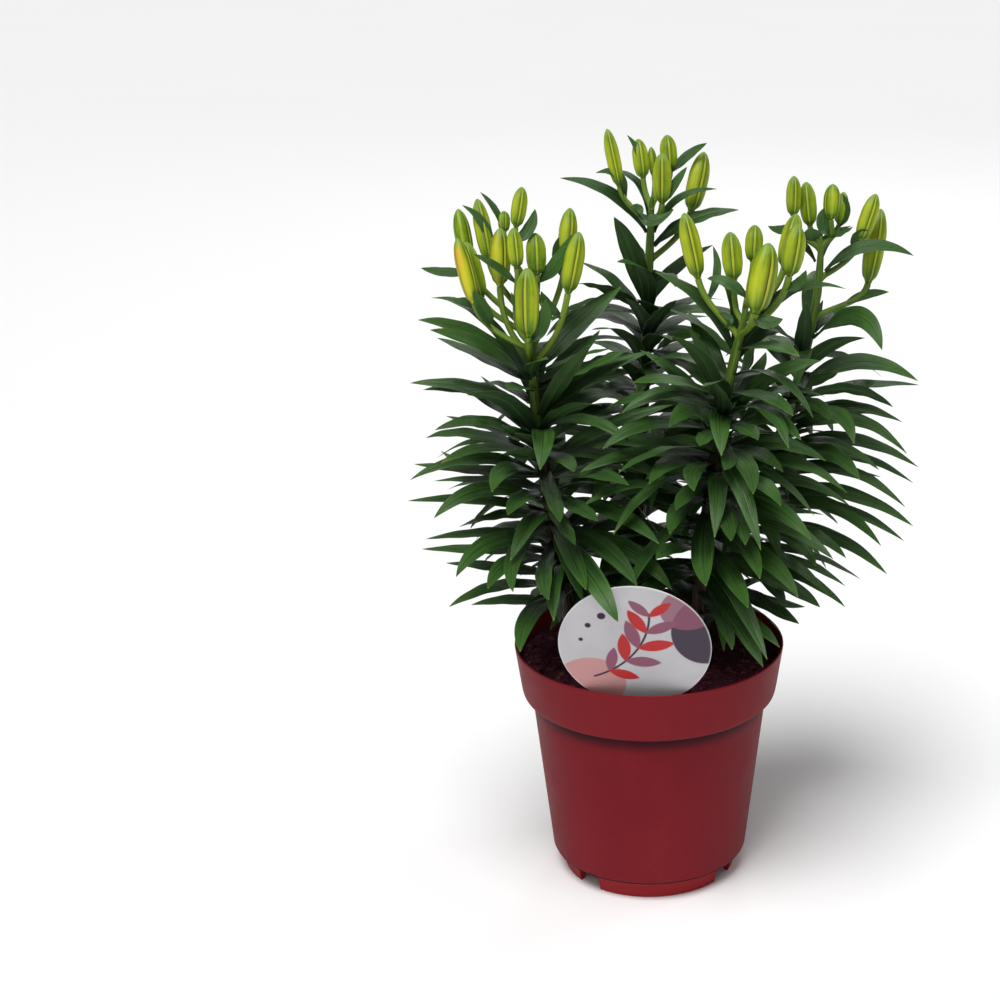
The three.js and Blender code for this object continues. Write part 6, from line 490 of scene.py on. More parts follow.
# how yellow a bud is, how red its seams are, how warm its left side is, and how far it is turned
BUD_TINT = {
    "bud_left_left_far": {"turn": 60, "yellow": 0.05, "seam": 0.1}, "bud_left_left_outer": {"turn": 60, "yellow": 0.8, "seam": 0.2, "warm": 0.85},
    "bud_left_left_inner": {"line": 0.42, "yellow": 0.35, "seam": 0.5}, "bud_left_left_upper": {"line": 0.55, "yellow": 0.5, "seam": 0.2},
    "bud_left_middle_upper": {"line": 0.54, "yellow": 0.5, "seam": 0.2}, "bud_left_back_small": {"line": 0.59, "yellow": 0.1, "seam": 0.1},
    "bud_left_middle_left": {"line": 0.7, "yellow": 0.6, "seam": 1, "warm": 0.25}, "bud_left_middle_small": {"line": 0.52, "yellow": 0.45, "seam": 0.3},
    "bud_left_middle_right": {"line": 0.47, "yellow": 0.1, "seam": 0.35}, "bud_left_front_large": {"line": 0.31, "yellow": 0.55, "seam": 0.85},
    "bud_left_right_upper": {"line": 0.65, "yellow": 0.6, "seam": 0.45}, "bud_left_right_outer": {"line": 0.56, "stalk": 0.9, "yellow": 0.75, "seam": 0.6},
    "bud_centre_left_outer": {"line": 0.48, "yellow": 0.7, "seam": 0.2}, "bud_centre_left_inner": {"line": 0.52, "yellow": 0.6, "seam": 0.2},
    "bud_centre_small": {"yellow": 0.1, "seam": 0.1}, "bud_centre_right_inner": {"line": 0.48, "yellow": 0.4, "seam": 0.3},
    "bud_centre_front": {"line": 0.43, "yellow": 0.55, "seam": 0.6}, "bud_centre_right_outer": {"line": 0.66, "yellow": 0.5, "seam": 0.4},
    "bud_front_left_outer": {"line": 0.53, "stalk": 0.7, "yellow": 0.8, "seam": 0.75}, "bud_front_left_inner": {"line": 0.45, "yellow": 0.3, "seam": 0.5},
    "bud_front_middle_back": {"line": 0.46, "yellow": 0.3, "seam": 0.2}, "bud_front_front_large": {"line": 0.73, "yellow": 0.5, "seam": 0.85},
    "bud_front_right_outer": {"line": 0.63, "yellow": 0.45, "seam": 0.45}, "bud_front_right_back": {"yellow": 0.7, "seam": 0.3},
    "bud_right_left_upper": {"line": 0.57, "stalk": 0.15, "yellow": 0.3, "seam": 0.3}, "bud_right_left_inner": {"line": 0.4, "stalk": 0.15, "yellow": 0.15, "seam": 0.6},
    "bud_right_right_inner": {"turn": -60, "stalk": 0.15, "yellow": 0.45, "seam": 0.2}, "bud_right_small": {"stalk": 0.15, "yellow": 0.05, "seam": 0.2},
    "bud_right_branch_upper": {"line": 0.6, "stalk": 0.35, "yellow": 0.55, "seam": 0.3}, "bud_right_branch_lower": {"line": 0.6, "stalk": 0.3, "yellow": 0.45, "seam": 0.6},
}
# small leaves on the stalks that are wider and turned more to the front: width factor, share of the turn
BRACT_SHAPE = {
    ("bud_left_middle_right", 0): (1.6, 0.7), ("bud_right_left_upper", 1): (1.5, 0.7), ("bud_right_right_inner", 1): (1.5, 0.7),
    ("bud_front_front_large", 0): (1.2, 0.5), ("bud_centre_front", 1): (1.0, 0.6), ("bud_left_front_large", 0): (1.3, 0.6),
    ("bud_centre_left_outer", 0): (0.8, 0.4), ("bud_front_left_outer", 1): (0.8, 0.35),
}
# small leaves whose blade starts further back along its stalk
BRACT_ROW = {
    ("bud_centre_front", 1): [-5.4, 25.5, 422.2, 2.7, 17.0, 415.3, 15.3, 22.0, 426.4, 8.6, -0.2],
    ("bud_right_branch_upper", 0): [109.1, 35.0, 385.2, 131.9, 35.5, 411.0, 161.8, 35.4, 394.3, 8.2, -0.35],
    ("bud_front_left_inner", 0): [57.8, -45.5, 388.4, 46.2, -43.0, 401.7, 34.7, -39.2, 399.2, 7.0, 0.3],
}
# painted shade: the share of its leaf colour each stem keeps, the centre stem's leaves darkened as if in shade
LEAF_PAINTED_LIT_SHARE = {"centre": 0.84}
WORLD_STRENGTH = 0.18
SUN_STRENGTH, SUN_ANGLE, SUN_FROM = 2.9, 34, (-0.35, -0.75, 1.9)
# name, place, aim, diameter, watts, colour
LIGHTS = [
    ("key", (-0.5, -1.5, 1.2), (0, 0, 0.25), 0.5, 3.8, (1, 1, 1)),
    ("front", (0.12, -1.55, 0.34), (0, 0, 0.17), 0.6, 1.9, (1, 1, 1)),
    ("rim", (1.2, 0.5, 1.3), (0, 0, 0.3), 0.5, 2.5, (1, 1, 1)),
    ("sheen", (0.3, 1.9, 1.25), (0, 0, 0.3), 0.6, 3.5, (1, 1, 1)),
]

# ---------------------------------------------------------------- vector helpers
def nrm(v):
    v = np.asarray(v, float)
    n = np.linalg.norm(v)
    return v / n if n > 1e-12 else v


def cubic(P, t):
    P = np.asarray(P, float)
    return (1 - t) ** 3 * P[0] + 3 * (1 - t) ** 2 * t * P[1] + 3 * (1 - t) * t * t * P[2] + t ** 3 * P[3]


def dcubic(P, t):
    P = np.asarray(P, float)
    return 3 * (1 - t) ** 2 * (P[1] - P[0]) + 6 * (1 - t) * t * (P[2] - P[1]) + 3 * t * t * (P[3] - P[2])


def quad(P, t):
    return (1 - t) ** 2 * P[0] + 2 * (1 - t) * t * P[1] + t * t * P[2]


def dquad(P, t):
    return 2 * (1 - t) * (P[1] - P[0]) + 2 * t * (P[2] - P[1])


def ring_axes(T, ref):
    T = nrm(T)
    a = nrm(np.array(ref, float) - np.dot(ref, T) * T)
    return a, np.cross(T, a)


def smooth_table(xs, ys):
    """A monotone cubic through the points."""
    xs, ys = np.array(xs, float), np.array(ys, float)
    d = np.diff(ys) / np.diff(xs)
    m = np.r_[d[0], (d[:-1] + d[1:]) / 2, d[-1]]
    for i in range(len(d)):
        if d[i] == 0:
            m[i] = m[i + 1] = 0
        else:
            a, b = m[i] / d[i], m[i + 1] / d[i]
            if a < 0: m[i] = 0
            if b < 0: m[i + 1] = 0
            s = a * a + b * b
            if s > 9:
                m[i], m[i + 1] = 3 / math.sqrt(s) * a * d[i], 3 / math.sqrt(s) * b * d[i]

    def f(x):
        x = min(max(x, xs[0]), xs[-1])
        i = min(int(np.searchsorted(xs, x, side="right")) - 1, len(d) - 1)
        i = max(i, 0)
        h = xs[i + 1] - xs[i]
        t = (x - xs[i]) / h
        return ((1 + 2 * t) * (1 - t) ** 2 * ys[i] + t * (1 - t) ** 2 * h * m[i] + t * t * (3 - 2 * t) * ys[i + 1] + t * t * (t - 1) * h * m[i + 1])

    return f


# ---------------------------------------------------------------- a mesh gathered from several grids
class Gather:
    """Vertices, faces, per-corner UV, per-vertex colour and per-face material of one piece."""

    def __init__(self):
        self.v, self.f, self.uv, self.c, self.m, self.n = [], [], [], [], [], 0

    def grid(self, pts, uv, col, mat=0, close_u=False, flip=False):
        """pts[r][k]: rows of points; uv the same shape, with one more column when closed."""
        R, K = len(pts), len(pts[0])
        base = self.n
        for r in range(R):
            for k in range(K):
                self.v.append(pts[r][k])
                self.c.append(col[r][k])
        self.n += R * K
        KK = K if close_u else K - 1
        for r in range(R - 1):
            for k in range(KK):
                k2 = (k + 1) % K
                q = [base + r * K + k, base + r * K + k2, base + (r + 1) * K + k2, base + (r + 1) * K + k]
                t = [uv[r][k], uv[r][k + 1], uv[r + 1][k + 1], uv[r + 1][k]]
                if flip:
                    q, t = q[::-1], t[::-1]
                self.f.append(q)
                self.uv += t
                self.m.append(mat)
        return base

    def fan(self, ring, uvs, centre, cuv, ccol, mat=0, flip=False):
        """A cap: ring holds vertex indexes, centre is a new point."""
        c = self.n
        self.v.append(centre)
        self.c.append(ccol)
        self.n += 1
        K = len(ring)
        for k in range(K):
            q = [ring[k], ring[(k + 1) % K], c]
            t = [uvs[k], uvs[k + 1], cuv]
            if flip:
                q, t = q[::-1], t[::-1]
            self.f.append(q)
            self.uv += t
            self.m.append(mat)

    def face(self, q, t, mat=0):
        self.f.append(list(q))
        self.uv += list(t)
        self.m.append(mat)

    def build(self, name, mats, sharp=None):
        me = bpy.data.meshes.new(name)
        me.from_pydata([tuple(np.asarray(p) * MM) for p in self.v], [], self.f)
        uvl = me.uv_layers.new(name="Place")
        uvl.data.foreach_set("uv", np.array(self.uv, np.float32).ravel())
        ca = me.color_attributes.new(name="Tone", type="FLOAT_COLOR", domain="POINT")
        ca.data.foreach_set("color", np.array(self.c, np.float32).ravel())
        me.polygons.foreach_set("material_index", np.array(self.m, np.int32))
        for m in mats:
            me.materials.append(m)
        me.validate()
        me.shade_smooth()
        if sharp is not None:
            me.set_sharp_from_angle(angle=math.radians(sharp))
        me.update()
        ob = bpy.data.objects.new(name, me)
        bpy.context.scene.collection.objects.link(ob)
        return ob


def finish_piece(ob, node):
    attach(ob, "root")
    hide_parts(node)
    return ob


# ---------------------------------------------------------------- materials
class Nodes:
    def __init__(self, name):
        self.mat = bpy.data.materials.new(name)
        self.mat.use_nodes = True
        self.t = self.mat.node_tree
        self.t.nodes.clear()
        self.out = self.t.nodes.new("ShaderNodeOutputMaterial")
        self.b = self.t.nodes.new("ShaderNodeBsdfPrincipled")
        self.t.links.new(self.b.outputs[0], self.out.inputs[0])

    def n(self, kind, **k):
        x = self.t.nodes.new(kind)
        for a, b in k.items():
            setattr(x, a, b)
        return x

    def link(self, a, b):
        self.t.links.new(a, b)

    def put(self, sock, v):
        if isinstance(v, bpy.types.NodeSocket):
            self.link(v, sock)
        elif v is not None:
            sock.default_value = v

    def math(self, op, a, b=None, c=None, clamp=False):
        x = self.n("ShaderNodeMath", operation=op, use_clamp=clamp)
        self.put(x.inputs[0], a)
        self.put(x.inputs[1], b)
        self.put(x.inputs[2], c)
        return x.outputs[0]

    def step(self, x, lo, hi, a=0.0, b=1.0, smooth=True):
        m = self.n("ShaderNodeMapRange", interpolation_type="SMOOTHSTEP" if smooth else "LINEAR")
        self.put(m.inputs["Value"], x)
        self.put(m.inputs["From Min"], lo)
        self.put(m.inputs["From Max"], hi)
        self.put(m.inputs["To Min"], a)
        self.put(m.inputs["To Max"], b)
        return m.outputs["Result"]

    def mix(self, f, a, b, blend="MIX"):
        m = self.n("ShaderNodeMix", data_type="RGBA", blend_type=blend)
        self.put(m.inputs[0], f)
        for s, v in ((m.inputs[6], a), (m.inputs[7], b)):
            self.put(s, tuple(v) + (1,) if isinstance(v, (tuple, list)) and len(v) == 3 else v)
        return m.outputs[2]

    def noise(self, vec, scale, detail=3.0, rough=0.55, distortion=0.0):
        x = self.n("ShaderNodeTexNoise")
        self.put(x.inputs["Vector"], vec)
        x.inputs["Scale"].default_value = scale
        x.inputs["Detail"].default_value = detail
        x.inputs["Roughness"].default_value = rough
        x.inputs["Distortion"].default_value = distortion
        return x.outputs["Fac"]

    def place(self):
        u = self.n("ShaderNodeUVMap", uv_map="Place")
        s = self.n("ShaderNodeSeparateXYZ")
        self.link(u.outputs[0], s.inputs[0])
        return s.outputs[0], s.outputs[1], u.outputs[0]

    def tone(self):
        a = self.n("ShaderNodeAttribute", attribute_name="Tone")
        s = self.n("ShaderNodeSeparateColor")
        self.link(a.outputs["Color"], s.inputs[0])
        return s.outputs[0], s.outputs[1], s.outputs[2]

    def where(self):
        return self.n("ShaderNodeTexCoord").outputs["Object"]

    def vec(self, x, y, z=0.0):
        c = self.n("ShaderNodeCombineXYZ")
        for i, v in enumerate((x, y, z)):
            self.put(c.inputs[i], v)
        return c.outputs[0]

    def bump(self, h, strength, distance, normal=None):
        b = self.n("ShaderNodeBump")
        b.inputs["Strength"].default_value = strength
        b.inputs["Distance"].default_value = distance
        self.put(b.inputs["Height"], h)
        if normal is not None:
            self.link(normal, b.inputs["Normal"])
        return b.outputs[0]

    def set(self, **k):
        for a, v in k.items():
            self.put(self.b.inputs[a.replace("_", " ")], v)
        return self.mat


def lin(r, g, b):
    """sRGB 0-255 to linear."""
    def f(c):
        c = c / 255
        return c / 12.92 if c <= 0.04045 else ((c + 0.055) / 1.055) ** 2.4
    return (f(r), f(g), f(b))


# leaf blades. Place: u -1..1 across, v 0..1 along. Tone: r random, g height in the plant 0..1, b yellowing, alpha share
# of colour kept under painted shade
def leaf_material(name, under):
    k = Nodes(name)
    u, v, uv = k.place()
    rnd, high, yel = k.tone()
    au = k.math("ABSOLUTE", u)
    where = k.where()
    big = k.noise(where, 28.0, 3.0)
    # long streaks along the blade
    st = k.noise(k.vec(k.math("MULTIPLY", u, 9.0), k.math("MULTIPLY", v, 1.6), k.math("MULTIPLY", rnd, 40.0)), 1.6, 4.0, 0.6)
    if under:
        dark, mid, light = lin(28, 46, 28), lin(42, 66, 38), lin(66, 94, 52)
    else:
        dark, mid, light = lin(17, 34, 18), lin(38, 69, 27), lin(72, 112, 47)
    base = k.mix(k.step(st, 0.34, 0.66), dark, mid)
    # painted sheen: paler stripes along the blade
    painted_sheen_stripes = k.noise(k.vec(k.math("MULTIPLY", u, 5.0), k.math("MULTIPLY", v, 0.9), k.math("MULTIPLY", rnd, 70.0)), 1.3, 2.0)
    base = k.mix(k.math("MULTIPLY", k.step(painted_sheen_stripes, 0.54, 0.68), 0.55), base, light)
    base = k.mix(k.math("MULTIPLY", k.step(big, 0.42, 0.72), 0.5), base, light)
    # painted light: paler towards the tip and on the leaves high in the plant, where more light falls
    base = k.mix(k.math("MULTIPLY", k.step(v, 0.35, 1.0), 0.42), base, light)
    base = k.mix(k.math("MULTIPLY", high, 0.35), base, lin(56, 92, 36) if not under else lin(78, 110, 56))
    # painted shade where the blade leaves the stem
    base = k.mix(k.math("MULTIPLY", k.step(v, 0.34, 0.0), 0.7), base, lin(12, 24, 18))
    s = k.n("ShaderNodeSeparateXYZ")
    k.link(where, s.inputs[0])
    # painted shade: low leaves darkened, most towards the stem
    low = k.math("MULTIPLY", k.step(s.outputs[2], 0.30, 0.17), k.step(v, 0.80, 0.15))
    base = k.mix(k.math("MULTIPLY", low, 0.78), base, lin(12, 22, 19))
    # painted shade: leaves darkened by the share in the Tone alpha
    painted_lit_share = k.n("ShaderNodeAttribute", attribute_name="Tone").outputs["Alpha"]
    base = k.mix(painted_lit_share, lin(10, 18, 16), base)
    # parallel veins, their paler stripes partly painted sheen
    wave = k.math("SINE", k.math("MULTIPLY", u, 34.0))
    vein_and_painted_sheen = k.step(wave, 0.1, 1.0)
    base = k.mix(k.math("MULTIPLY", vein_and_painted_sheen, 0.22), base, light)
    # midrib: a sunk, darker line above, a paler raised one below
    rib = k.step(au, 0.10, 0.0)
    base = k.mix(k.math("MULTIPLY", rib, 0.45 if under else 0.4), base, lin(84, 118, 60) if under else lin(12, 30, 10))
    # painted highlight: paler strips beside the midrib, along the fold
    painted_rib_sheen = k.math("MULTIPLY", k.step(au, 0.06, 0.12), k.step(au, 0.26, 0.13))
    base = k.mix(k.math("MULTIPLY", painted_rib_sheen, 0.18), base, light)
    # thin paler margin, yellow tip
    edge = k.step(au, 0.90, 1.0)
    base = k.mix(k.math("MULTIPLY", edge, 0.30), base, lin(84, 124, 46))
    tip = k.step(v, 0.968, 1.0)
    base = k.mix(k.math("MULTIPLY", tip, 0.6), base, lin(128, 146, 56))
    base = k.mix(k.math("MULTIPLY", yel, k.step(k.math("ADD", v, k.math("MULTIPLY", st, 0.12)), 0.93, 1.06)), base, lin(150, 146, 48))
    # faint dust and spots
    spot = k.noise(where, 420.0, 2.0, 0.5)
    base = k.mix(k.math("MULTIPLY", k.step(spot, 0.66, 0.78), 0.12), base, lin(90, 112, 80))
    fine = k.noise(k.vec(k.math("MULTIPLY", u, 26.0), k.math("MULTIPLY", v, 9.0), rnd), 3.0, 3.0)
    h = k.math("ADD", k.math("MULTIPLY", wave, 0.35), k.math("MULTIPLY", fine, 0.55))
    h = k.math("SUBTRACT" if not under else "ADD", h, k.math("MULTIPLY", rib, 1.2))
    rough = k.step(k.math("ADD", st, k.math("MULTIPLY", fine, 0.4)), 0.3, 1.1, 0.50 if under else 0.24, 0.64 if under else 0.38)
    return k.set(Base_Color=base, Roughness=rough, Normal=k.bump(h, 0.4, 0.0004), Specular_IOR_Level=0.08 if under else 0.30)


# stems and stalks. Place: u round, v height in metres. Tone: r random, g 0 low and purple .. 1 green
def stem_material(name):
    k = Nodes(name)
    u, v, uv = k.place()
    rnd, high, third = k.tone()
    where = k.where()
    streak = k.noise(k.vec(k.math("MULTIPLY", u, 14.0), k.math("MULTIPLY", v, 30.0), rnd), 1.5, 4.0)
    blot = k.noise(where, 90.0, 3.0)
    green = k.mix(k.step(streak, 0.3, 0.7), lin(56, 84, 24), lin(92, 120, 38))
    purple = k.mix(k.step(streak, 0.35, 0.7), lin(30, 18, 18), lin(62, 42, 28))
    f = k.step(k.math("ADD", high, k.math("MULTIPLY", k.math("SUBTRACT", blot, 0.5), 0.7)), 0.15, 0.75)
    col = k.mix(f, purple, green)
    col = k.mix(third, col, k.mix(k.step(streak, 0.3, 0.7), lin(92, 124, 34), lin(138, 160, 54)))
    col = k.mix(k.math("MULTIPLY", k.step(k.noise(where, 700.0, 2.0), 0.6, 0.72), 0.25), col, lin(70, 52, 34))
    h = k.math("ADD", k.math("SINE", k.math("MULTIPLY", u, 75.4)), k.math("MULTIPLY", streak, 2.0))
    return k.set(Base_Color=col, Roughness=k.step(streak, 0.2, 0.8, 0.42, 0.58), Normal=k.bump(h, 0.4, 0.0003), Specular_IOR_Level=0.25)


# buds. Place: u 0..3 round (each unit is one outer petal), v 0..1 from base to tip. Tone: r random, g yellow, b red seam
def bud_material(name):
    k = Nodes(name)
    u, v, uv = k.place()
    rnd, yellow, seam = k.tone()
    glow = k.n("ShaderNodeAttribute", attribute_name="Tone").outputs["Alpha"]
    where = k.where()
    fr = k.math("FRACT", u)
    mid = k.math("ABSOLUTE", k.math("SUBTRACT", fr, 0.5))        # 0 on the outer petal's keel, 0.5 on the inner rib
    streak = k.noise(k.vec(k.math("MULTIPLY", u, 7.0), k.math("MULTIPLY", v, 1.3), k.math("MULTIPLY", rnd, 60.0)), 2.0, 4.0)
    blot = k.noise(where, 60.0, 2.0)
    green, lime, yel = lin(70, 108, 12), lin(122, 152, 18), lin(182, 190, 36)
    col = k.mix(k.step(streak, 0.3, 0.75), green, lime)
    # yellow grows up the middle of each face
    y = k.math("MULTIPLY", k.step(v, 0.05, 0.35), k.step(v, 1.0, 0.6))
    y = k.math("MULTIPLY", y, k.math("ADD", k.math("MULTIPLY", yellow, 0.85), k.math("MULTIPLY", k.math("SUBTRACT", blot, 0.45), 1.1), clamp=True))
    col = k.mix(y, col, yel)
    # green base
    col = k.mix(k.math("MULTIPLY", k.step(v, 0.24, 0.0), 0.8), col, lin(74, 112, 26))
    col = k.mix(k.math("MULTIPLY", k.step(v, 0.045, 0.0), 0.5), col, lin(44, 74, 18))
    # a warmer, ripening side
    col = k.mix(k.math("MULTIPLY", glow, k.step(v, 0.98, 0.80)), col, k.mix(k.step(v, 0.35, 0.75), lin(206, 190, 42), lin(214, 166, 48)))
    # inner rib: a paler strip between two seams
    rib = k.step(mid, 0.42, 0.455)
    col = k.mix(k.math("MULTIPLY", rib, 0.45), col, lin(178, 190, 58))
    # shade beside the seams
    near = k.step(mid, 0.20, 0.40)
    near = k.math("MULTIPLY", near, k.step(mid, 0.46, 0.42))
    col = k.mix(k.math("MULTIPLY", near, 0.66), col, lin(60, 94, 12))
    line = k.math("MULTIPLY", k.step(mid, 0.388, 0.410), k.step(mid, 0.460, 0.438))
    line = k.math("MULTIPLY", line, k.step(fr, 0.45, 0.55, 0.28, 1.0))
    col = k.mix(k.math("MULTIPLY", line, k.math("ADD", 0.45, k.math("MULTIPLY", seam, 0.55), clamp=True)), col, k.mix(k.math("MULTIPLY", seam, 1.3, clamp=True), lin(52, 78, 12), lin(98, 44, 14)))
    # pale keel: partly its own colour, partly painted highlight on the ridge
    keel = k.step(mid, 0.15, 0.0)
    col = k.mix(k.math("MULTIPLY", keel, 0.40), col, lin(186, 198, 56))
    # whitish, slightly green tip: partly its own paler colour, partly painted highlight
    t = k.step(k.math("ADD", v, k.math("MULTIPLY", k.math("SUBTRACT", streak, 0.5), 0.12)), 0.80, 0.985)
    col = k.mix(k.math("MULTIPLY", t, 0.55), col, lin(140, 170, 80))
    fine = k.noise(where, 900.0, 3.0)
    col = k.mix(k.math("MULTIPLY", k.step(fine, 0.5, 0.8), 0.10), col, lin(180, 190, 110))
    h = k.math("ADD", k.math("MULTIPLY", streak, 1.3), k.math("MULTIPLY", fine, 0.5))
    h = k.math("SUBTRACT", h, k.math("MULTIPLY", line, 1.5))
    return k.set(Base_Color=col, Roughness=k.step(streak, 0.2, 0.8, 0.32, 0.46), Normal=k.bump(h, 0.35, 0.0004), Specular_IOR_Level=0.24,
                 Subsurface_Weight=0.08, Subsurface_Radius=(0.002, 0.003, 0.001), Subsurface_Scale=1.0)


# moulded plastic of the pot. Place: u round 0..1, v height in metres
def pot_material():
    k = Nodes("terracotta_plastic")
    where = k.where()
    s = k.n("ShaderNodeSeparateXYZ")
    k.link(where, s.inputs[0])
    mott = k.noise(where, 34.0, 5.0, 0.6)
    cloud = k.noise(where, 9.0, 3.0, 0.5)
    grain = k.noise(where, 1500.0, 3.0, 0.6)
    flow = k.noise(k.vec(k.math("MULTIPLY", s.outputs[0], 60.0), k.math("MULTIPLY", s.outputs[1], 60.0), k.math("MULTIPLY", s.outputs[2], 6.0)), 1.0, 3.0)
    col = k.mix(k.step(mott, 0.3, 0.7), lin(108, 16, 27), lin(113, 19, 30))
    col = k.mix(k.math("MULTIPLY", k.step(cloud, 0.35, 0.7), 0.3), col, lin(124, 29, 36))
    # painted light: the rim band a little brighter, as lit more from above
    col = k.mix(k.math("MULTIPLY", k.step(s.outputs[2], 0.1205, 0.1225), 0.5), col, lin(121, 26, 33))
    # painted shadow under the rim band
    shade = k.math("MULTIPLY", k.step(s.outputs[2], 0.1090, 0.1192), k.step(s.outputs[2], 0.1218, 0.1205))
    col = k.mix(k.math("MULTIPLY", shade, 0.9), col, lin(34, 3, 16))
    col = k.mix(k.math("MULTIPLY", k.step(flow, 0.5, 0.8), 0.10), col, lin(134, 42, 46))
    # brighter foot, dust near the ground
    col = k.mix(k.math("MULTIPLY", k.step(s.outputs[2], 0.0130, 0.0115), 0.8), col, lin(146, 34, 40))
    # painted shade: a dark line in the step over the foot
    painted_step_shade = k.math("MULTIPLY", k.step(s.outputs[2], 0.0126, 0.0132), k.step(s.outputs[2], 0.0146, 0.0139))
    col = k.mix(k.math("MULTIPLY", painted_step_shade, 0.75), col, lin(48, 10, 16))
    dust = k.math("MULTIPLY", k.step(k.noise(where, 260.0, 4.0, 0.7), 0.62, 0.74), k.step(s.outputs[2], 0.09, 0.0))
    col = k.mix(k.math("MULTIPLY", dust, 0.22), col, lin(150, 84, 80))
    # faint soil stains and scuffs on the rim band
    scuff = k.noise(k.vec(k.math("MULTIPLY", s.outputs[0], 40.0), k.math("MULTIPLY", s.outputs[1], 40.0), k.math("MULTIPLY", s.outputs[2], 300.0)), 2.0, 5.0, 0.7)
    sc = k.math("MULTIPLY", k.step(scuff, 0.62, 0.76), k.step(s.outputs[2], 0.115, 0.130))
    col = k.mix(k.math("MULTIPLY", sc, 0.16), col, lin(156, 70, 70))
    h = k.math("ADD", k.math("MULTIPLY", grain, 0.6), k.math("MULTIPLY", mott, 0.8))
    rough = k.step(k.math("ADD", mott, k.math("MULTIPLY", scuff, 0.5)), 0.4, 1.1, 0.46, 0.62)
    return k.set(Base_Color=col, Roughness=rough, Normal=k.bump(h, 0.10, 0.0004), Specular_IOR_Level=0.11)


def soil_material():
    k = Nodes("peat_soil")
    where = k.where()
    rnd, wet, fibre = k.tone()
    a = k.noise(where, 160.0, 6.0, 0.75)
    b = k.noise(where, 620.0, 4.0, 0.7)
    c = k.n("ShaderNodeTexVoronoi", feature="F1")
    k.link(where, c.inputs["Vector"])
    c.inputs["Scale"].default_value = 320.0
    cell = k.n("ShaderNodeSeparateColor")
    k.link(c.outputs["Color"], cell.inputs[0])
    col = k.mix(k.step(a, 0.3, 0.72), lin(44, 13, 33), lin(94, 42, 56))
    col = k.mix(k.math("MULTIPLY", k.step(b, 0.56, 0.72), 0.6), col, lin(130, 74, 76))
    col = k.mix(k.math("MULTIPLY", k.step(cell.outputs[0], 0.90, 0.96), 0.5), col, lin(148, 96, 88))
    col = k.mix(k.math("MULTIPLY", fibre, 0.8), col, lin(92, 56, 42))
    h = k.math("ADD", k.math("MULTIPLY", a, 1.2), k.math("MULTIPLY", b, 0.7))
    return k.set(Base_Color=col, Roughness=0.93, Normal=k.bump(h, 0.8, 0.0012), Specular_IOR_Level=0.15)


# label: a generic leafy sprig over overlapping rounds. Place: u, v in disc radii, origin at the disc's centre
def label_material():
    k = Nodes("label_print")
    u, v, uv = k.place()
    where = k.where()
    col = k.mix(k.step(k.noise(where, 40.0, 3.0), 0.3, 0.7), lin(180, 178, 182), lin(188, 186, 189))

    def shape(cx, cy, rx, ry, turn, soft=0.02):
        m = k.n("ShaderNodeMapping", vector_type="TEXTURE")
        k.link(uv, m.inputs["Vector"])
        m.inputs["Location"].default_value = (cx, cy, 0)
        m.inputs["Rotation"].default_value = (0, 0, math.radians(turn))
        m.inputs["Scale"].default_value = (rx, ry, 1)
        ln = k.n("ShaderNodeVectorMath", operation="LENGTH")
        k.link(m.outputs[0], ln.inputs[0])
        e = soft / min(rx, ry)
        return k.step(ln.outputs["Value"], 1 + e / 2, 1 - e / 2)

    def lens(cx, cy, ln_, wd, turn, soft=0.02):
        """A pointed leaf shape: where two rounds overlap."""
        t = math.radians(turn)
        r = (ln_ * ln_ + wd * wd) / (2 * wd)
        d = r - wd
        nx, ny = -math.sin(t), math.cos(t)
        return k.math("MULTIPLY", shape(cx + nx * d, cy + ny * d, r, r, 0, soft), shape(cx - nx * d, cy - ny * d, r, r, 0, soft))

    for f, c in LABEL_SHAPES(shape, lens, k):
        col = k.mix(f, col, c)
    r2 = k.n("ShaderNodeVectorMath", operation="LENGTH")
    k.link(uv, r2.inputs[0])
    col = k.mix(k.math("MULTIPLY", k.step(r2.outputs["Value"], 0.975, 1.0), 0.6), col, lin(212, 215, 218))
    fine = k.noise(where, 1200.0, 2.0)
    return k.set(Base_Color=col, Roughness=k.step(fine, 0.2, 0.8, 0.40, 0.50), Normal=k.bump(fine, 0.05, 0.0002), Specular_IOR_Level=0.3)


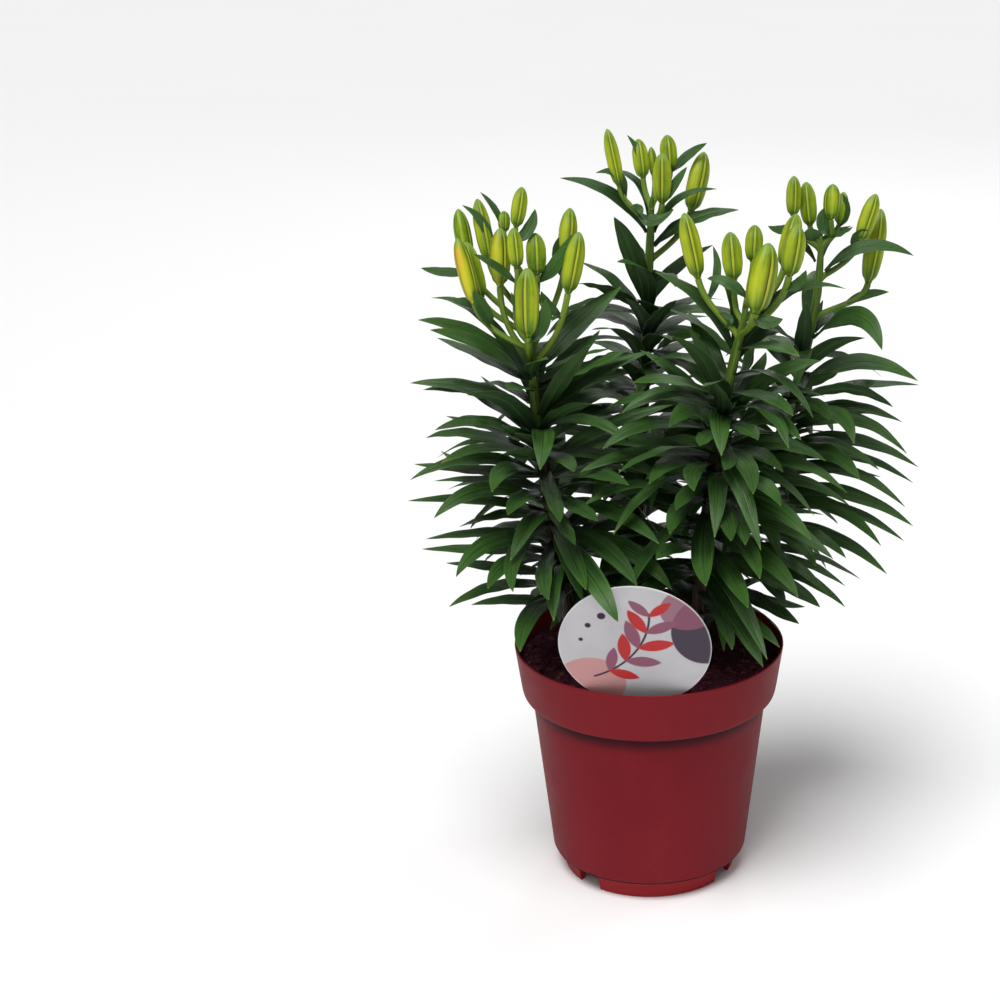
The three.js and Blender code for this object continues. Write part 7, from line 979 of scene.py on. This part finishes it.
def LABEL_SHAPES(shape, lens, k):
    plum, rose, salmon, red = lin(40, 22, 46), lin(132, 76, 98), lin(188, 132, 130), lin(176, 34, 36)
    out = []
    # overlapping rounds low on the left and at the right edge
    out.append((k.math("MULTIPLY", shape(-0.62, -0.66, 0.50, 0.44, 20), 0.92), salmon))
    out.append((k.math("MULTIPLY", shape(0.94, 0.30, 0.46, 0.56, -12), 0.95), plum))
    out.append((k.math("MULTIPLY", shape(0.72, 0.66, 0.40, 0.34, 30), 0.85), rose))
    # a sprig: a curved stalk with paired leaves
    stalk = k.math("MULTIPLY", shape(-0.95, 0.55, 1.165, 1.165, 0), shape(-0.95, 0.55, 1.145, 1.145, 0))
    ring = k.math("SUBTRACT", shape(-0.95, 0.55, 1.165, 1.165, 0), shape(-0.95, 0.55, 1.135, 1.135, 0), clamp=True)
    out.append((k.math("MULTIPLY", ring, shape(-0.1, -0.05, 0.62, 0.70, 0)), plum))
    for i, (a, ln_) in enumerate(((-58, 0.21), (-44, 0.24), (-30, 0.25), (-16, 0.23), (-2, 0.19))):
        t = math.radians(a)
        px, py = -0.95 + 1.15 * math.cos(t), 0.55 + 1.15 * math.sin(t)
        for side in (-1, 1):
            ang = a + 90 - side * 48
            cx, cy = px + math.cos(math.radians(ang)) * ln_ * 0.95, py + math.sin(math.radians(ang)) * ln_ * 0.95
            out.append((lens(cx, cy, ln_, ln_ * 0.36, ang), red if (i + (side > 0)) % 2 else rose))
    # small dots
    for x, y, r in ((-0.42, 0.50, 0.055), (-0.60, 0.34, 0.04), (-0.28, 0.66, 0.04), (-0.70, 0.10, 0.03)):
        out.append((shape(x, y, r, r, 0), plum))
    return out


def card_material():
    k = Nodes("label_back")
    where = k.where()
    n1 = k.noise(where, 60.0, 3.0)
    col = k.mix(k.step(n1, 0.3, 0.7), lin(206, 208, 208), lin(218, 219, 218))
    return k.set(Base_Color=col, Roughness=k.step(n1, 0.3, 0.7, 0.45, 0.55), Normal=k.bump(k.noise(where, 900.0, 2.0), 0.06, 0.0002), Specular_IOR_Level=0.4)


LEAF_TOP, LEAF_UNDER = leaf_material("leaf_upper", False), leaf_material("leaf_under", True)
STEM = stem_material("stem_skin")
BUD = bud_material("bud_skin")
POT, SOIL, LABEL, CARD = pot_material(), soil_material(), label_material(), card_material()

# ---------------------------------------------------------------- leaves
WIDTH = smooth_table([0, 0.05, 0.14, 0.28, 0.44, 0.58, 0.72, 0.84, 0.92, 0.97, 1.0], [0.52, 0.58, 0.74, 0.92, 1.0, 0.96, 0.81, 0.57, 0.34, 0.15, 0.02])
NS, NV = ((24, 8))
LEAF_S = np.r_[-0.018, np.linspace(0, 1, NS) ** 0.92]
rng = random.Random(11)


SEEN_FROM = np.array([6.94, -1305.93, 730.40])


def add_leaf(g, row, high, small=None, painted_lit_share=1.0):
    P = np.array(row[:9], float).reshape(3, 3)
    W, roll = row[9] * 1.05, row[10]
    if small:
        wide, face = small
        W = W * wide
        h = P[1] - P[0] + 0.5 * (P[2] - P[0])
        h[2] = 0
        h = nrm(h) if np.linalg.norm(h) > 1e-6 else np.array([1.0, 0, 0])
        B, c, T = np.array([h[1], -h[0], 0.0]), quad(P, 0.5), nrm(dquad(P, 0.5))
        side0 = nrm(B - np.dot(B, T) * T)
        N0, look = np.cross(side0, T), nrm(SEEN_FROM - c)
        look = nrm(look - np.dot(look, T) * T)
        full = math.atan2(-float(np.dot(look, side0)), float(np.dot(look, N0)))
        if math.cos(full) < 0:
            full += math.pi if full < 0 else -math.pi
        roll = roll + max(-0.9 * face, min(0.9 * face, face * (full - roll)))
    h = P[1] - P[0] + 0.5 * (P[2] - P[0])
    h[2] = 0
    h = nrm(h) if np.linalg.norm(h) > 1e-6 else np.array([1.0, 0, 0])
    B = np.array([h[1], -h[0], 0.0])
    L = float(np.linalg.norm(P[1] - P[0]) + np.linalg.norm(P[2] - P[1]))
    r1, r2, r3 = rng.random(), rng.random(), rng.random()
    yel = 0.0 if rng.random() > 0.04 else 0.15 + 0.25 * rng.random()
    ph, k1 = r1 * 6.28, 2.2 + 2.2 * r2
    amp = 0.035 * W * (0.4 + r3)
    fold0 = 0.25 * (0.72 + 0.5 * r2)
    top, bot, uv, col = [], [], [], []
    for s in LEAF_S:
        sc = min(max(s, 0), 1)
        c, T = quad(P, s), nrm(dquad(P, min(max(s, 0.001), 0.999)))
        side0 = nrm(B - np.dot(B, T) * T)
        N0 = np.cross(side0, T)
        a = roll * min(1, sc / 0.25)
        co, si = math.cos(a), math.sin(a)
        side, N = side0 * co + N0 * si, N0 * co - side0 * si
        w = W * WIDTH(sc) / 2
        f = fold0 * (1 - 0.45 * sc) + 0.30 * math.exp(-sc * 9)
        th = (0.34 + 0.5 * math.exp(-sc * 10)) * (1 - 0.45 * sc)
        ru, tu = [], []
        rt, rb = [], []
        for k in range(NV + 1):
            v = -1 + 2 * k / NV
            # V fold softened at the midrib, margins turned down a little
            fold = f * w * (math.sqrt(v * v + 0.03) - 0.17) - 0.10 * w * v ** 4
            rip = amp * abs(v) ** 2.5 * math.sin(ph + (k1 * 6.28) * sc + (1.1 if v > 0 else 0)) * math.sin(math.pi * sc)
            p = c + side * (w * v) + N * (fold + rip)
            e = th * (1 - 0.75 * abs(v) ** 3) * 0.5 + 0.06
            keel = 0.32 * math.exp(-(v * 5.0) ** 2) * (1 - sc)
            rt.append(p + N * e * 0.5)
            rb.append(p - N * (e * 0.5 + keel))
            tu.append((v, sc))
        top.append(rt)
        bot.append(rb)
        uv.append(tu)
        col.append([(r1, high, yel, painted_lit_share)] * (NV + 1))
    a0 = g.grid(top, uv, col, 0, flip=False)
    b0 = g.grid(bot, uv, col, 1, flip=True)
    K, R = NV + 1, len(LEAF_S)
    for r in range(R - 1):            # margins
        for k, fl in ((0, True), (NV, False)):
            q = [a0 + r * K + k, b0 + r * K + k, b0 + (r + 1) * K + k, a0 + (r + 1) * K + k]
            t = [uv[r][k], uv[r][k], uv[r + 1][k], uv[r + 1][k]]
            if fl:
                q, t = q[::-1], t[::-1]
            g.face(q, t, 0)
    for k in range(NV):               # both ends
        g.face([a0 + k, b0 + k, b0 + k + 1, a0 + k + 1], [uv[0][k], uv[0][k], uv[0][k + 1], uv[0][k + 1]], 1)
        o = (R - 1) * K
        g.face([a0 + o + k + 1, b0 + o + k + 1, b0 + o + k, a0 + o + k], [uv[-1][k + 1], uv[-1][k + 1], uv[-1][k], uv[-1][k]], 0)


for name, stem, z0, z1, rows in TIERS:
    g = Gather()
    for row in rows:
        z = (row[2] - 150) / 280
        add_leaf(g, row, min(max((z - 0.55) / 0.45, 0), 1) * 0.9, painted_lit_share=LEAF_PAINTED_LIT_SHARE.get(stem, 1.0))
    finish_piece(g.build("look_" + name, [LEAF_TOP, LEAF_UNDER], sharp=50), name)


# ---------------------------------------------------------------- stems
def tube(g, centres, slopes, radii, ref, n, tones, mat=0, cap0=True, cap1=True, ridge=0.0, phase=0.0, v_of=None):
    pts, uv, col = [], [], []
    for i, (c, T, r) in enumerate(zip(centres, slopes, radii)):
        a, b = ring_axes(T, ref)
        row = []
        for k in range(n):
            th = 2 * math.pi * k / n
            rr = r * (1 + ridge * math.cos(6 * th + phase))
            row.append(c + rr * (math.cos(th) * a + math.sin(th) * b))
        pts.append(row)
        vv = v_of[i] if v_of is not None else c[2] * MM
        uv.append([(k / n, vv) for k in range(n + 1)])
        col.append([tones[i]] * n)
    base = g.grid(pts, uv, col, mat, close_u=True)
    if cap0:
        g.fan([base + k for k in range(n)], uv[0], centres[0], (0.5, uv[0][0][1]), tones[0], mat, flip=True)
    if cap1:
        o = base + (len(pts) - 1) * n
        g.fan([o + k for k in range(n)], uv[-1], centres[-1] + nrm(slopes[-1]) * radii[-1] * 0.5, (0.5, uv[-1][0][1]), tones[-1], mat)
    return base


def stem_radius(s, z):
    return float(np.interp(z, [p[0] for p in s["radius"]], [p[1] for p in s["radius"]]))


for name, s in STEMS.items():
    g = Gather()
    n = 120
    cs, ts, rs, tones = [], [], [], []
    zt = s["axis"][3][2]
    top = max(b["stalk"][0][2] for b in BUDS if b["stem"] == name) + 2.0
    t_end = min((i / 400 for i in range(401) if cubic(s["axis"], i / 400)[2] >= min(top, zt - 0.01)), default=1.0)
    for i in range(n + 1):
        t = t_end * i / n
        c = cubic(s["axis"], t)
        wob = 1 + 0.025 * noise.noise(Vector((c[0] * 0.02, c[2] * 0.11, 3.7)))
        cs.append(c)
        ts.append(dcubic(s["axis"], t))
        r = stem_radius(s, c[2]) * wob
        up = min(max((t - 0.62) / 0.38, 0), 1)
        r *= 1 - 0.22 * up * up * (3 - 2 * up)
        if i > n - 8:
            r *= 1 - 0.25 * (i - n + 8) / 8
        if i > n - 2:
            r *= 0.86 if i == n - 1 else 0.5
        rs.append(r)
        high = (c[2] - 250) / (zt - 250)
        tones.append((0.3, min(max(high, 0), 1), 0, 1))
    tube(g, cs, ts, rs, (1, 0, 0), 24, tones, ridge=0.012)
    finish_piece(g.build("look_stem_" + name, [STEM]), "stem_" + name)

# ---------------------------------------------------------------- buds
BUD_R = smooth_table([0, 0.04, 0.12, 0.24, 0.40, 0.58, 0.74, 0.86, 0.93, 0.975, 1.0], [0.36, 0.56, 0.77, 0.92, 1.0, 1.0, 0.90, 0.70, 0.50, 0.30, 0.10])
TINT = BUD_TINT


def add_bud(g, b):
    Q, tip = np.array(b["stalk"], float), np.array(b["tip"], float)
    base, ax = Q[3], tip - Q[3]
    L = float(np.linalg.norm(ax))
    T = nrm(ax)
    R = b["r"]
    tint = TINT.get(b["name"], {})
    r1, r2 = rng.random(), rng.random()
    yellow = tint.get("yellow", 0.25 + 0.5 * r1)
    seam = tint.get("seam", 0.15 + 0.35 * r2)
    turn = math.radians(tint.get("turn", r2 * 120))
    n = 60
    rows_n = 44
    # stalk
    m = 14
    cs = [cubic(Q, i / m) for i in range(m)]
    axis = STEMS[b["stem"]]["axis"]
    low = min((i / 200 for i in range(201)), key=lambda u: abs(cubic(axis, u)[2] - (Q[0][2] - 6.0)))
    A, up = cubic(axis, low), nrm(dcubic(axis, low))
    own = nrm(dcubic(Q, 0.0))
    R4 = np.array([A, A + up * 2.2, Q[0] - own * 2.2, Q[0]])
    cs = [cubic(R4, i / 5) for i in range(5)] + cs + [base - T * 0.6]
    sl = [dcubic(R4, i / 5) for i in range(5)] + [dcubic(Q, i / m) for i in range(m)] + [T]
    # a little thicker at the fork and under the bud
    rr = [b["r0"] * 1.1] * 5 + [b["r0"] * (1 + 0.12 * max(0, 1 - i / 4)) + (b["r1"] - b["r0"]) * (i / m) ** 1.6 for i in range(m)] + [b["r1"]]
    pale = tint.get("stalk", 0.6)
    tube(g, cs, sl, rr, (0, -1, 0) if abs(T[1]) < 0.9 else (0, 0, 1), 14, [(r1, 0.8 + 0.15 * r2, pale, 1)] * len(cs), mat=1)
    # bud: three outer petals, and between them three narrow ribs of the inner ones
    a, c = ring_axes(T, (0, -1, 0) if abs(T[1]) < 0.9 else (0, 0, 1))
    if "line" in tint:              # where the dark seam lies across the bud's width as seen from the front
        look = nrm(SEEN_FROM - (base + 0.5 * ax))
        look = nrm(look - np.dot(look, T) * T)
        psi = math.asin(2 * tint["line"] - 1)
        way = math.cos(psi) * look + math.sin(psi) * np.cross(T, look)
        turn = math.atan2(float(np.dot(way, c)), float(np.dot(way, a))) + math.radians(9)
    warm, warm_dir = tint.get("warm", 0.0), nrm((-0.95, -0.30, 0))
    pts, uv, col = [], [], []
    for i in range(rows_n + 1):
        s = i / rows_n
        s = 0.5 - 0.5 * math.cos(math.pi * s) * (1 - 0.18 * (1 - abs(2 * s - 1)))
        s = min(max(s, 0), 1)
        join = min(s / 0.10, 1)
        join = join * join * (3 - 2 * join)
        r = b["r1"] * 1.04 * (1 - join) + R * BUD_R(s) * join
        cc = base + ax * s
        row, ru, rc = [], [], []
        shape = math.sin(math.pi * min(s * 1.1, 1)) ** 0.5 if 0 < s < 0.91 else 0.25
        for k in range(n + 1):
            w = 3 * k / n
            fr = w - math.floor(w)
            mid = abs(fr - 0.5)
            th = turn + 2 * math.pi * k / n
            d = 0.035 * math.cos(2 * math.pi * (fr - 0.5))                       # outer petals stand out
            d -= (0.085 if fr > 0.5 else 0.03) * math.exp(-((mid - 0.425) / 0.022) ** 2)  # seams
            d += 0.045 * math.exp(-((mid - 0.5) / 0.05) ** 2)                     # inner rib
            d += 0.022 * math.exp(-((mid) / 0.05) ** 2)                           # keel
            end = 0.0
            if s > 0.9:                                                            # six blunt petal tips
                end = -0.16 * (s - 0.9) / 0.1 * (0.5 + 0.5 * math.cos(2 * math.pi * (fr)))
            if k < n:
                way = math.cos(th) * a + math.sin(th) * c
                row.append(cc + r * (1 + d * (0.35 + 0.65 * shape) * join + end) * way)
                rc.append((r1, yellow, seam, warm * max(0.0, min(1.0, (float(np.dot(way, warm_dir)) + 0.1) / 0.5))))
            ru.append((w, s))
        pts.append(row)
        uv.append(ru)
        col.append(rc)
    b0 = g.grid(pts, uv, col, 0, close_u=True)
    g.fan([b0 + k for k in range(n)], uv[0], base - T * 0.4, (1.5, 0), (r1, yellow, seam, 0), 0, flip=True)
    o = b0 + rows_n * n
    g.fan([o + k for k in range(n)], uv[-1], tip, (1.5, 1), (r1, yellow, seam, 0), 0)


for b in BUDS:
    g = Gather()
    add_bud(g, b)
    if b["bracts"]:
        for i, row in enumerate(b["bracts"]):
            row = BRACT_ROW.get((b["name"], i), row)
            n_before = len(g.f)
            add_leaf(g, row, 0.9, small=BRACT_SHAPE.get((b["name"], i), (1.12, 0.35)))
            for i in range(n_before, len(g.f)):
                g.m[i] += 2
        ob = g.build("look_" + b["name"], [BUD, STEM, LEAF_TOP, LEAF_UNDER], sharp=50)
    else:
        ob = g.build("look_" + b["name"], [BUD, STEM])
    finish_piece(ob, b["name"])


# ---------------------------------------------------------------- pot
def arc(p, q, bulge, n):
    """Points from p to q on a shallow arc."""
    p, q = np.array(p, float), np.array(q, float)
    d = q - p
    nn = np.array([-d[1], d[0]])
    return [tuple(p + d * t + nn * bulge * 4 * t * (1 - t)) for t in np.linspace(0, 1, n)]


def round_corners(points, radii, n=5):
    """Profile with its corners rounded: radii[i] is the length cut from each side of corner i."""
    out = [points[0]]
    for i in range(1, len(points) - 1):
        p, c, q = (np.array(points[j], float) for j in (i - 1, i, i + 1))
        r = min(radii[i], 0.45 * np.linalg.norm(c - p), 0.45 * np.linalg.norm(q - c))
        if r < 0.02:
            out.append(tuple(c))
            continue
        a, b = c + nrm(p - c) * r, c + nrm(q - c) * r
        for t in np.linspace(0, 1, n):
            out.append(tuple((1 - t) ** 2 * a + 2 * (1 - t) * t * c + t * t * b))
    out.append(points[-1])
    return out


def densify(points, step):
    out = [points[0]]
    for p, q in zip(points[:-1], points[1:]):
        d = math.dist(p, q)
        m = max(1, int(math.ceil(d / step)))
        out += [(p[0] + (q[0] - p[0]) * i / m, p[1] + (q[1] - p[1]) * i / m) for i in range(1, m + 1)]
    return out


POT_PROFILE = [(0.0, 0.0), (17.2, 0.0), (18.6, 0.9), (18.9, 4.0), (50.2, 4.0), (52.3, 0.7), (52.9, 0.0), (54.5, 0.0), (55.0, 0.5), (56.75, 8.9), (57.3, 10.2),
               (60.6, 12.4), (61.6, 12.9), (61.5, 13.7), (62.1, 14.2), (62.5, 15.0), (74.4, 119.2), (74.9, 120.6), (78.6, 121.4), (80.2, 122.6), (81.0, 126.0),
               (84.95, 153.3), (84.9, 154.1), (84.4, 154.5), (83.9, 154.4), (83.6, 153.8), (79.4, 126.0), (78.2, 124.3), (73.6, 123.2), (73.0, 121.8), (60.8, 16.2), (60.0, 14.9),
               (55.4, 12.3), (54.6, 11.4), (52.7, 6.7), (51.8, 5.8), (50.0, 5.6), (0.0, 5.6)]
POT_ROUND = [0, 0.5, 0.5, 0.6, 0.8, 0.4, 0.4, 0.4, 0.5, 0.6, 0.6, 0.6, 0.25, 0.2, 0.3, 0.5, 0.8, 1.0, 1.0, 1.0, 2.0,
             0.4, 0.3, 0.3, 0.3, 0.4, 1.0, 1.0, 0.8, 0.8, 0.6, 0.6, 0.6, 0.6, 0.6, 0.6, 0.5, 0]


def lathe(g, profile, n, mat=0, tone=(0.5, 0, 0, 1), wobble=0.0):
    prof = profile
    rows, uv, col = [], [], []
    for r, z in prof:
        if r < 1e-6:
            continue
        row = []
        for k in range(n):
            th = 2 * math.pi * k / n
            rr = r
            if wobble and z > 20:
                rr = r + wobble * math.sin(2 * th + 0.6) * (z - 20) / 134
            row.append((rr * math.cos(th), rr * math.sin(th), z))
        rows.append(row)
        uv.append([(k / n, z * MM) for k in range(n + 1)])
        col.append([tone] * n)
    b = g.grid(rows, uv, col, mat, close_u=True)
    g.fan([b + k for k in range(n)], uv[0], (0, 0, prof[0][1]), (0.5, prof[0][1] * MM), tone, mat, flip=True)
    o = b + (len(rows) - 1) * n
    g.fan([o + k for k in range(n)], uv[-1], (0, 0, prof[-1][1]), (0.5, prof[-1][1] * MM), tone, mat)
    return b


g = Gather()
prof = densify(round_corners(POT_PROFILE, POT_ROUND), 6.0)
lathe(g, prof, 192)
pot = g.build("look_pot", [POT])
# drain slots
cutters = []
for a in (46.5, 148.5, 226.5, 328.5):
    a = math.radians(a)
    bpy.ops.mesh.primitive_cube_add(size=1)
    c = bpy.context.object
    c.scale = ((70 - 44) * MM, 17.5 * MM, 12 * MM)
    c.rotation_euler = (0, 0, a)
    c.location = (57 * MM * math.cos(a), 57 * MM * math.sin(a), 5 * MM)
    bpy.context.view_layer.update()
    bev = c.modifiers.new("b", "BEVEL")
    bev.width, bev.segments = 1.6 * MM, 3
    cutters.append(c)
bpy.context.view_layer.update()
for c in cutters:
    mod = pot.modifiers.new("slot", "BOOLEAN")
    mod.operation, mod.object, mod.solver = "DIFFERENCE", c, "EXACT"
dg = bpy.context.evaluated_depsgraph_get()
cut = bpy.data.meshes.new_from_object(pot.evaluated_get(dg))
pot.modifiers.clear()
old = pot.data
pot.data = cut
bpy.data.meshes.remove(old)
for c in cutters:
    bpy.data.objects.remove(c)
pot.data.shade_smooth()
pot.data.set_sharp_from_angle(angle=math.radians(38))
pot.data.materials.clear()
pot.data.materials.append(POT)
finish_piece(pot, "pot")

# ---------------------------------------------------------------- soil
SOIL_SIDE = [(0, 5.9), (49.8, 5.9), (52.2, 6.9), (54.6, 12.4), (60.3, 15.8), (72.8, 123.8), (78.45, 124.8), (81.3, 142.0)]


def soil_height(x, y):
    r = math.hypot(x, y)
    base = np.interp(r, [0, 18, 40, 64, 76, 81.6], [147.0, 146.6, 145.6, 144.0, 144.0, 142.4])
    v = Vector((x, y, 0.0))
    h = 1.5 * noise.noise(v * 0.045 + Vector((3, 1, 7)))
    h += 1.3 * noise.noise(v * 0.13 + Vector((9, 4, 2)))
    h += 1.1 * abs(noise.noise(v * 0.31 + Vector((1, 8, 5))))
    h += 0.9 * noise.noise(v * 0.75 + Vector((6, 2, 8)))
    return base + h * min(1.0, (82.5 - r) / 4)


g = Gather()
nr, na = ((86, 260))
rows, uv, col = [], [], []
for r, z in SOIL_SIDE[1:]:
    rows.append([(r * math.cos(2 * math.pi * k / na), r * math.sin(2 * math.pi * k / na), z) for k in range(na)])
for i in range(nr):
    r = 81.3 - (81.3 - 0.9) * i / (nr - 1)
    row = []
    for k in range(na):
        th = 2 * math.pi * (k + 0.5 * (i % 2)) / na if i else 2 * math.pi * k / na
        x, y = r * math.cos(th), r * math.sin(th)
        row.append((x, y, soil_height(x, y)))
    rows.append(row)
for row in rows:
    uv.append([(k / na, 0.0) for k in range(na + 1)])
    col.append([(0.5, 0, 0, 1)] * na)
b0 = g.grid(rows, uv, col, 0, close_u=True)
g.fan([b0 + k for k in range(na)], uv[0], (0, 0, 5.9), (0.5, 0), (0.5, 0, 0, 1), 0, flip=True)
o = b0 + (len(rows) - 1) * na
g.fan([o + k for k in range(na)], uv[-1], (0, 0, soil_height(0, 0)), (0.5, 0), (0.5, 0, 0, 1), 0)
# loose crumbs and fibres half sunk in the surface
crng = random.Random(5)
ico = [(0, 0, 1)] + [(0.894 * math.cos(i * 1.2566), 0.894 * math.sin(i * 1.2566), 0.447) for i in range(5)] + [(0.894 * math.cos(0.628 + i * 1.2566), 0.894 * math.sin(0.628 + i * 1.2566), -0.447) for i in range(5)] + [(0, 0, -1)]
icof = [(0, i + 1, (i + 1) % 5 + 1) for i in range(5)] + [(i + 1, i + 6, (i + 1) % 5 + 1) for i in range(5)] + [((i + 1) % 5 + 1, i + 6, (i + 1) % 5 + 6) for i in range(5)] + [(11, (i + 1) % 5 + 6, i + 6) for i in range(5)]
for i in range(1500):
    rr, th = 80.0 * math.sqrt(crng.random()), crng.random() * 6.283
    x, y = rr * math.cos(th), rr * math.sin(th)
    sz = 0.5 + 1.5 * crng.random() ** 3
    sx, sy, sz2 = sz * (0.7 + 0.8 * crng.random()), sz * (0.7 + 0.6 * crng.random()), sz * (0.5 + 0.5 * crng.random())
    tr = crng.random() * 6.283
    if math.hypot(x, y) + sz * 1.4 > 81.0:
        continue
    z = soil_height(x, y) + sz2 * 0.25
    base = g.n
    tone = (crng.random(), 0, 0.0 if crng.random() < 0.86 else 0.7, 1)
    for p in ico:
        j = 0.8 + 0.4 * crng.random()
        px, py = p[0] * sx * j, p[1] * sy * j
        g.v.append((x + px * math.cos(tr) - py * math.sin(tr), y + px * math.sin(tr) + py * math.cos(tr), z + p[2] * sz2 * j))
        g.c.append(tone)
    g.n += 12
    for f in icof:
        g.face([base + q for q in f], [(0.5, 0)] * 3)
for i in range(150):      # fibres
    rr, th = 76.0 * math.sqrt(crng.random()), crng.random() * 6.283
    x, y = rr * math.cos(th), rr * math.sin(th)
    ln, dr, cv = 2.5 + 6 * crng.random(), crng.random() * 6.283, (crng.random() - 0.5) * 1.6
    pts3 = []
    for j in range(5):
        a = dr + cv * (j / 4 - 0.5)
        px, py = x + ln * (j / 4 - 0.5) * math.cos(a), y + ln * (j / 4 - 0.5) * math.sin(a)
        if math.hypot(px, py) > 80: break
        pts3.append(np.array([px, py, soil_height(px, py) + 0.35 + 0.5 * math.sin(j / 4 * 3.14)]))
    if len(pts3) == 5:
        sl = [pts3[min(j + 1, 4)] - pts3[max(j - 1, 0)] for j in range(5)]
        tube(g, pts3, sl, [0.10, 0.2, 0.22, 0.18, 0.08], (0, 0, 1), 5, [(0.2, 0, 0.8, 1)] * 5)
soil = g.build("look_potting_soil", [SOIL])
finish_piece(soil, "potting_soil")

# ---------------------------------------------------------------- label
LEAN, TURN = math.radians(16.54), math.radians(-3.99)
AHEAD = np.array([math.sin(TURN), -math.cos(TURN), 0])
UP, OUT = AHEAD * math.sin(LEAN) + np.array([0, 0, math.cos(LEAN)]), AHEAD * math.cos(LEAN) - np.array([0, 0, math.sin(LEAN)])
RIGHT = np.cross(UP, OUT)
FOOT = np.array([-7.1, -71.5, 143.4])
RAD, THK = 45.7, 0.8
centre = FOOT + UP * RAD
g = Gather()
n = 160
rings = [(0.25, 0.5), (0.5, 0.5), (0.75, 0.5), (0.985, 0.5), (0.997, 0.42), (1.0, 0.3), (1.0, -0.3), (0.997, -0.42), (0.985, -0.5), (0.6, -0.5), (0.25, -0.5)]


def on_label(x, y, o):
    """x, y in disc radii, o along the face's normal in thicknesses."""
    return centre + RIGHT * (RAD * x) + UP * (RAD * y) + OUT * (THK * o)


rows, uv, col = [], [], []
for rr, o in rings:
    rows.append([on_label(rr * math.cos(2 * math.pi * k / n), rr * math.sin(2 * math.pi * k / n), o) for k in range(n)])
    uv.append([(rr * math.cos(2 * math.pi * k / n), rr * math.sin(2 * math.pi * k / n)) for k in range(n + 1)])
    col.append([(0.5, 0, 0, 1)] * n)
b0 = g.grid(rows, uv, col, 0, close_u=True, flip=True)
for i in range(len(g.f)):
    if i // n >= 4:
        g.m[i] = 1
g.fan([b0 + k for k in range(n)], uv[0], on_label(0, 0, 0.5), (0, 0), (0.5, 0, 0, 1), 0)
o = b0 + (len(rings) - 1) * n
g.fan([o + k for k in range(n)], uv[-1], on_label(0, 0, -0.5), (0, 0), (0.5, 0, 0, 1), 1, flip=True)
# spike
spike = [(8, 5.5), (0, 5.2), (-20, 4.0), (-38, 2.2), (-44, 0.7)]
rows, uv, col = [], [], []
for up, hw in spike:
    c = FOOT + UP * up
    row = [c + RIGHT * x + OUT * y for x, y in ((-hw, -0.3), (-hw * 0.6, -0.38), (hw * 0.6, -0.38), (hw, -0.3), (hw, 0.3), (hw * 0.6, 0.38), (-hw * 0.6, 0.38), (-hw, 0.3))]
    rows.append(row[::-1])
    uv.append([(0, 0)] * 9)
    col.append([(0.5, 0, 0, 1)] * 8)
b1 = g.grid(rows, uv, col, 1, close_u=True, flip=False)
g.fan([b1 + k for k in range(8)], uv[0], FOOT + UP * 8, (0, 0), (0.5, 0, 0, 1), 1, flip=True)
g.fan([b1 + 4 * 8 + k for k in range(8)], uv[0], FOOT + UP * -44.3, (0, 0), (0.5, 0, 0, 1), 1)
label = g.build("look_care_label", [LABEL, CARD], sharp=40)
finish_piece(label, "care_label")

# ---------------------------------------------------------------- floor, light and camera
def floor_material():
    k = Nodes("floor")
    where = k.where()
    n1 = k.noise(where, 3.0, 2.0)
    col = k.mix(n1, (0.90, 0.90, 0.90), (0.92, 0.92, 0.92))
    return k.set(Base_Color=col, Roughness=0.7, Specular_IOR_Level=0.2)


me = bpy.data.meshes.new("floor")
S = 6.0
me.from_pydata([(-S, -S, 0), (S, -S, 0), (S, S, 0), (-S, S, 0)], [], [(0, 1, 2, 3)])
me.materials.append(floor_material())
floor = bpy.data.objects.new("floor", me)
bpy.context.scene.collection.objects.link(floor)

scene = bpy.context.scene
world = bpy.data.worlds.new("studio")
scene.world = world
world.use_nodes = True
world.node_tree.nodes["Background"].inputs[0].default_value = (1.0, 1.0, 1.0, 1)
world.node_tree.nodes["Background"].inputs[1].default_value = WORLD_STRENGTH


sun = bpy.data.lights.new("sky", "SUN")
sun.energy, sun.angle = SUN_STRENGTH, math.radians(SUN_ANGLE)
sun_ob = bpy.data.objects.new("sky", sun)
sun_ob.rotation_euler = (Vector((0, 0, 0)) - Vector(SUN_FROM)).to_track_quat("-Z", "Y").to_euler()
scene.collection.objects.link(sun_ob)


def area(name, loc, target, size, watts, colour=(1, 1, 1)):
    d = bpy.data.lights.new(name, "AREA")
    d.shape, d.size, d.energy, d.color = "DISK", size, watts, colour
    o = bpy.data.objects.new(name, d)
    o.location = loc
    o.rotation_euler = (Vector(target) - Vector(loc)).to_track_quat("-Z", "Y").to_euler()
    scene.collection.objects.link(o)
    return o


for name_, loc_, tgt_, size_, watts_, col_ in LIGHTS:
    area(name_, loc_, tgt_, size_, watts_, col_)

cam = bpy.data.cameras.new("camera")
cam.lens, cam.sensor_width = 81.02, 36.0
cam.shift_x, cam.shift_y = -0.16, 0.012
cam.clip_start, cam.clip_end = 0.05, 50
camera = bpy.data.objects.new("camera", cam)
camera.location = (0.00694, -1.30593, 0.73040)
camera.rotation_euler = (math.radians(90 - 20.563), 0, 0)
scene.collection.objects.link(camera)
scene.camera = camera
scene.view_settings.view_transform = "Standard"
scene.view_settings.look = "None"
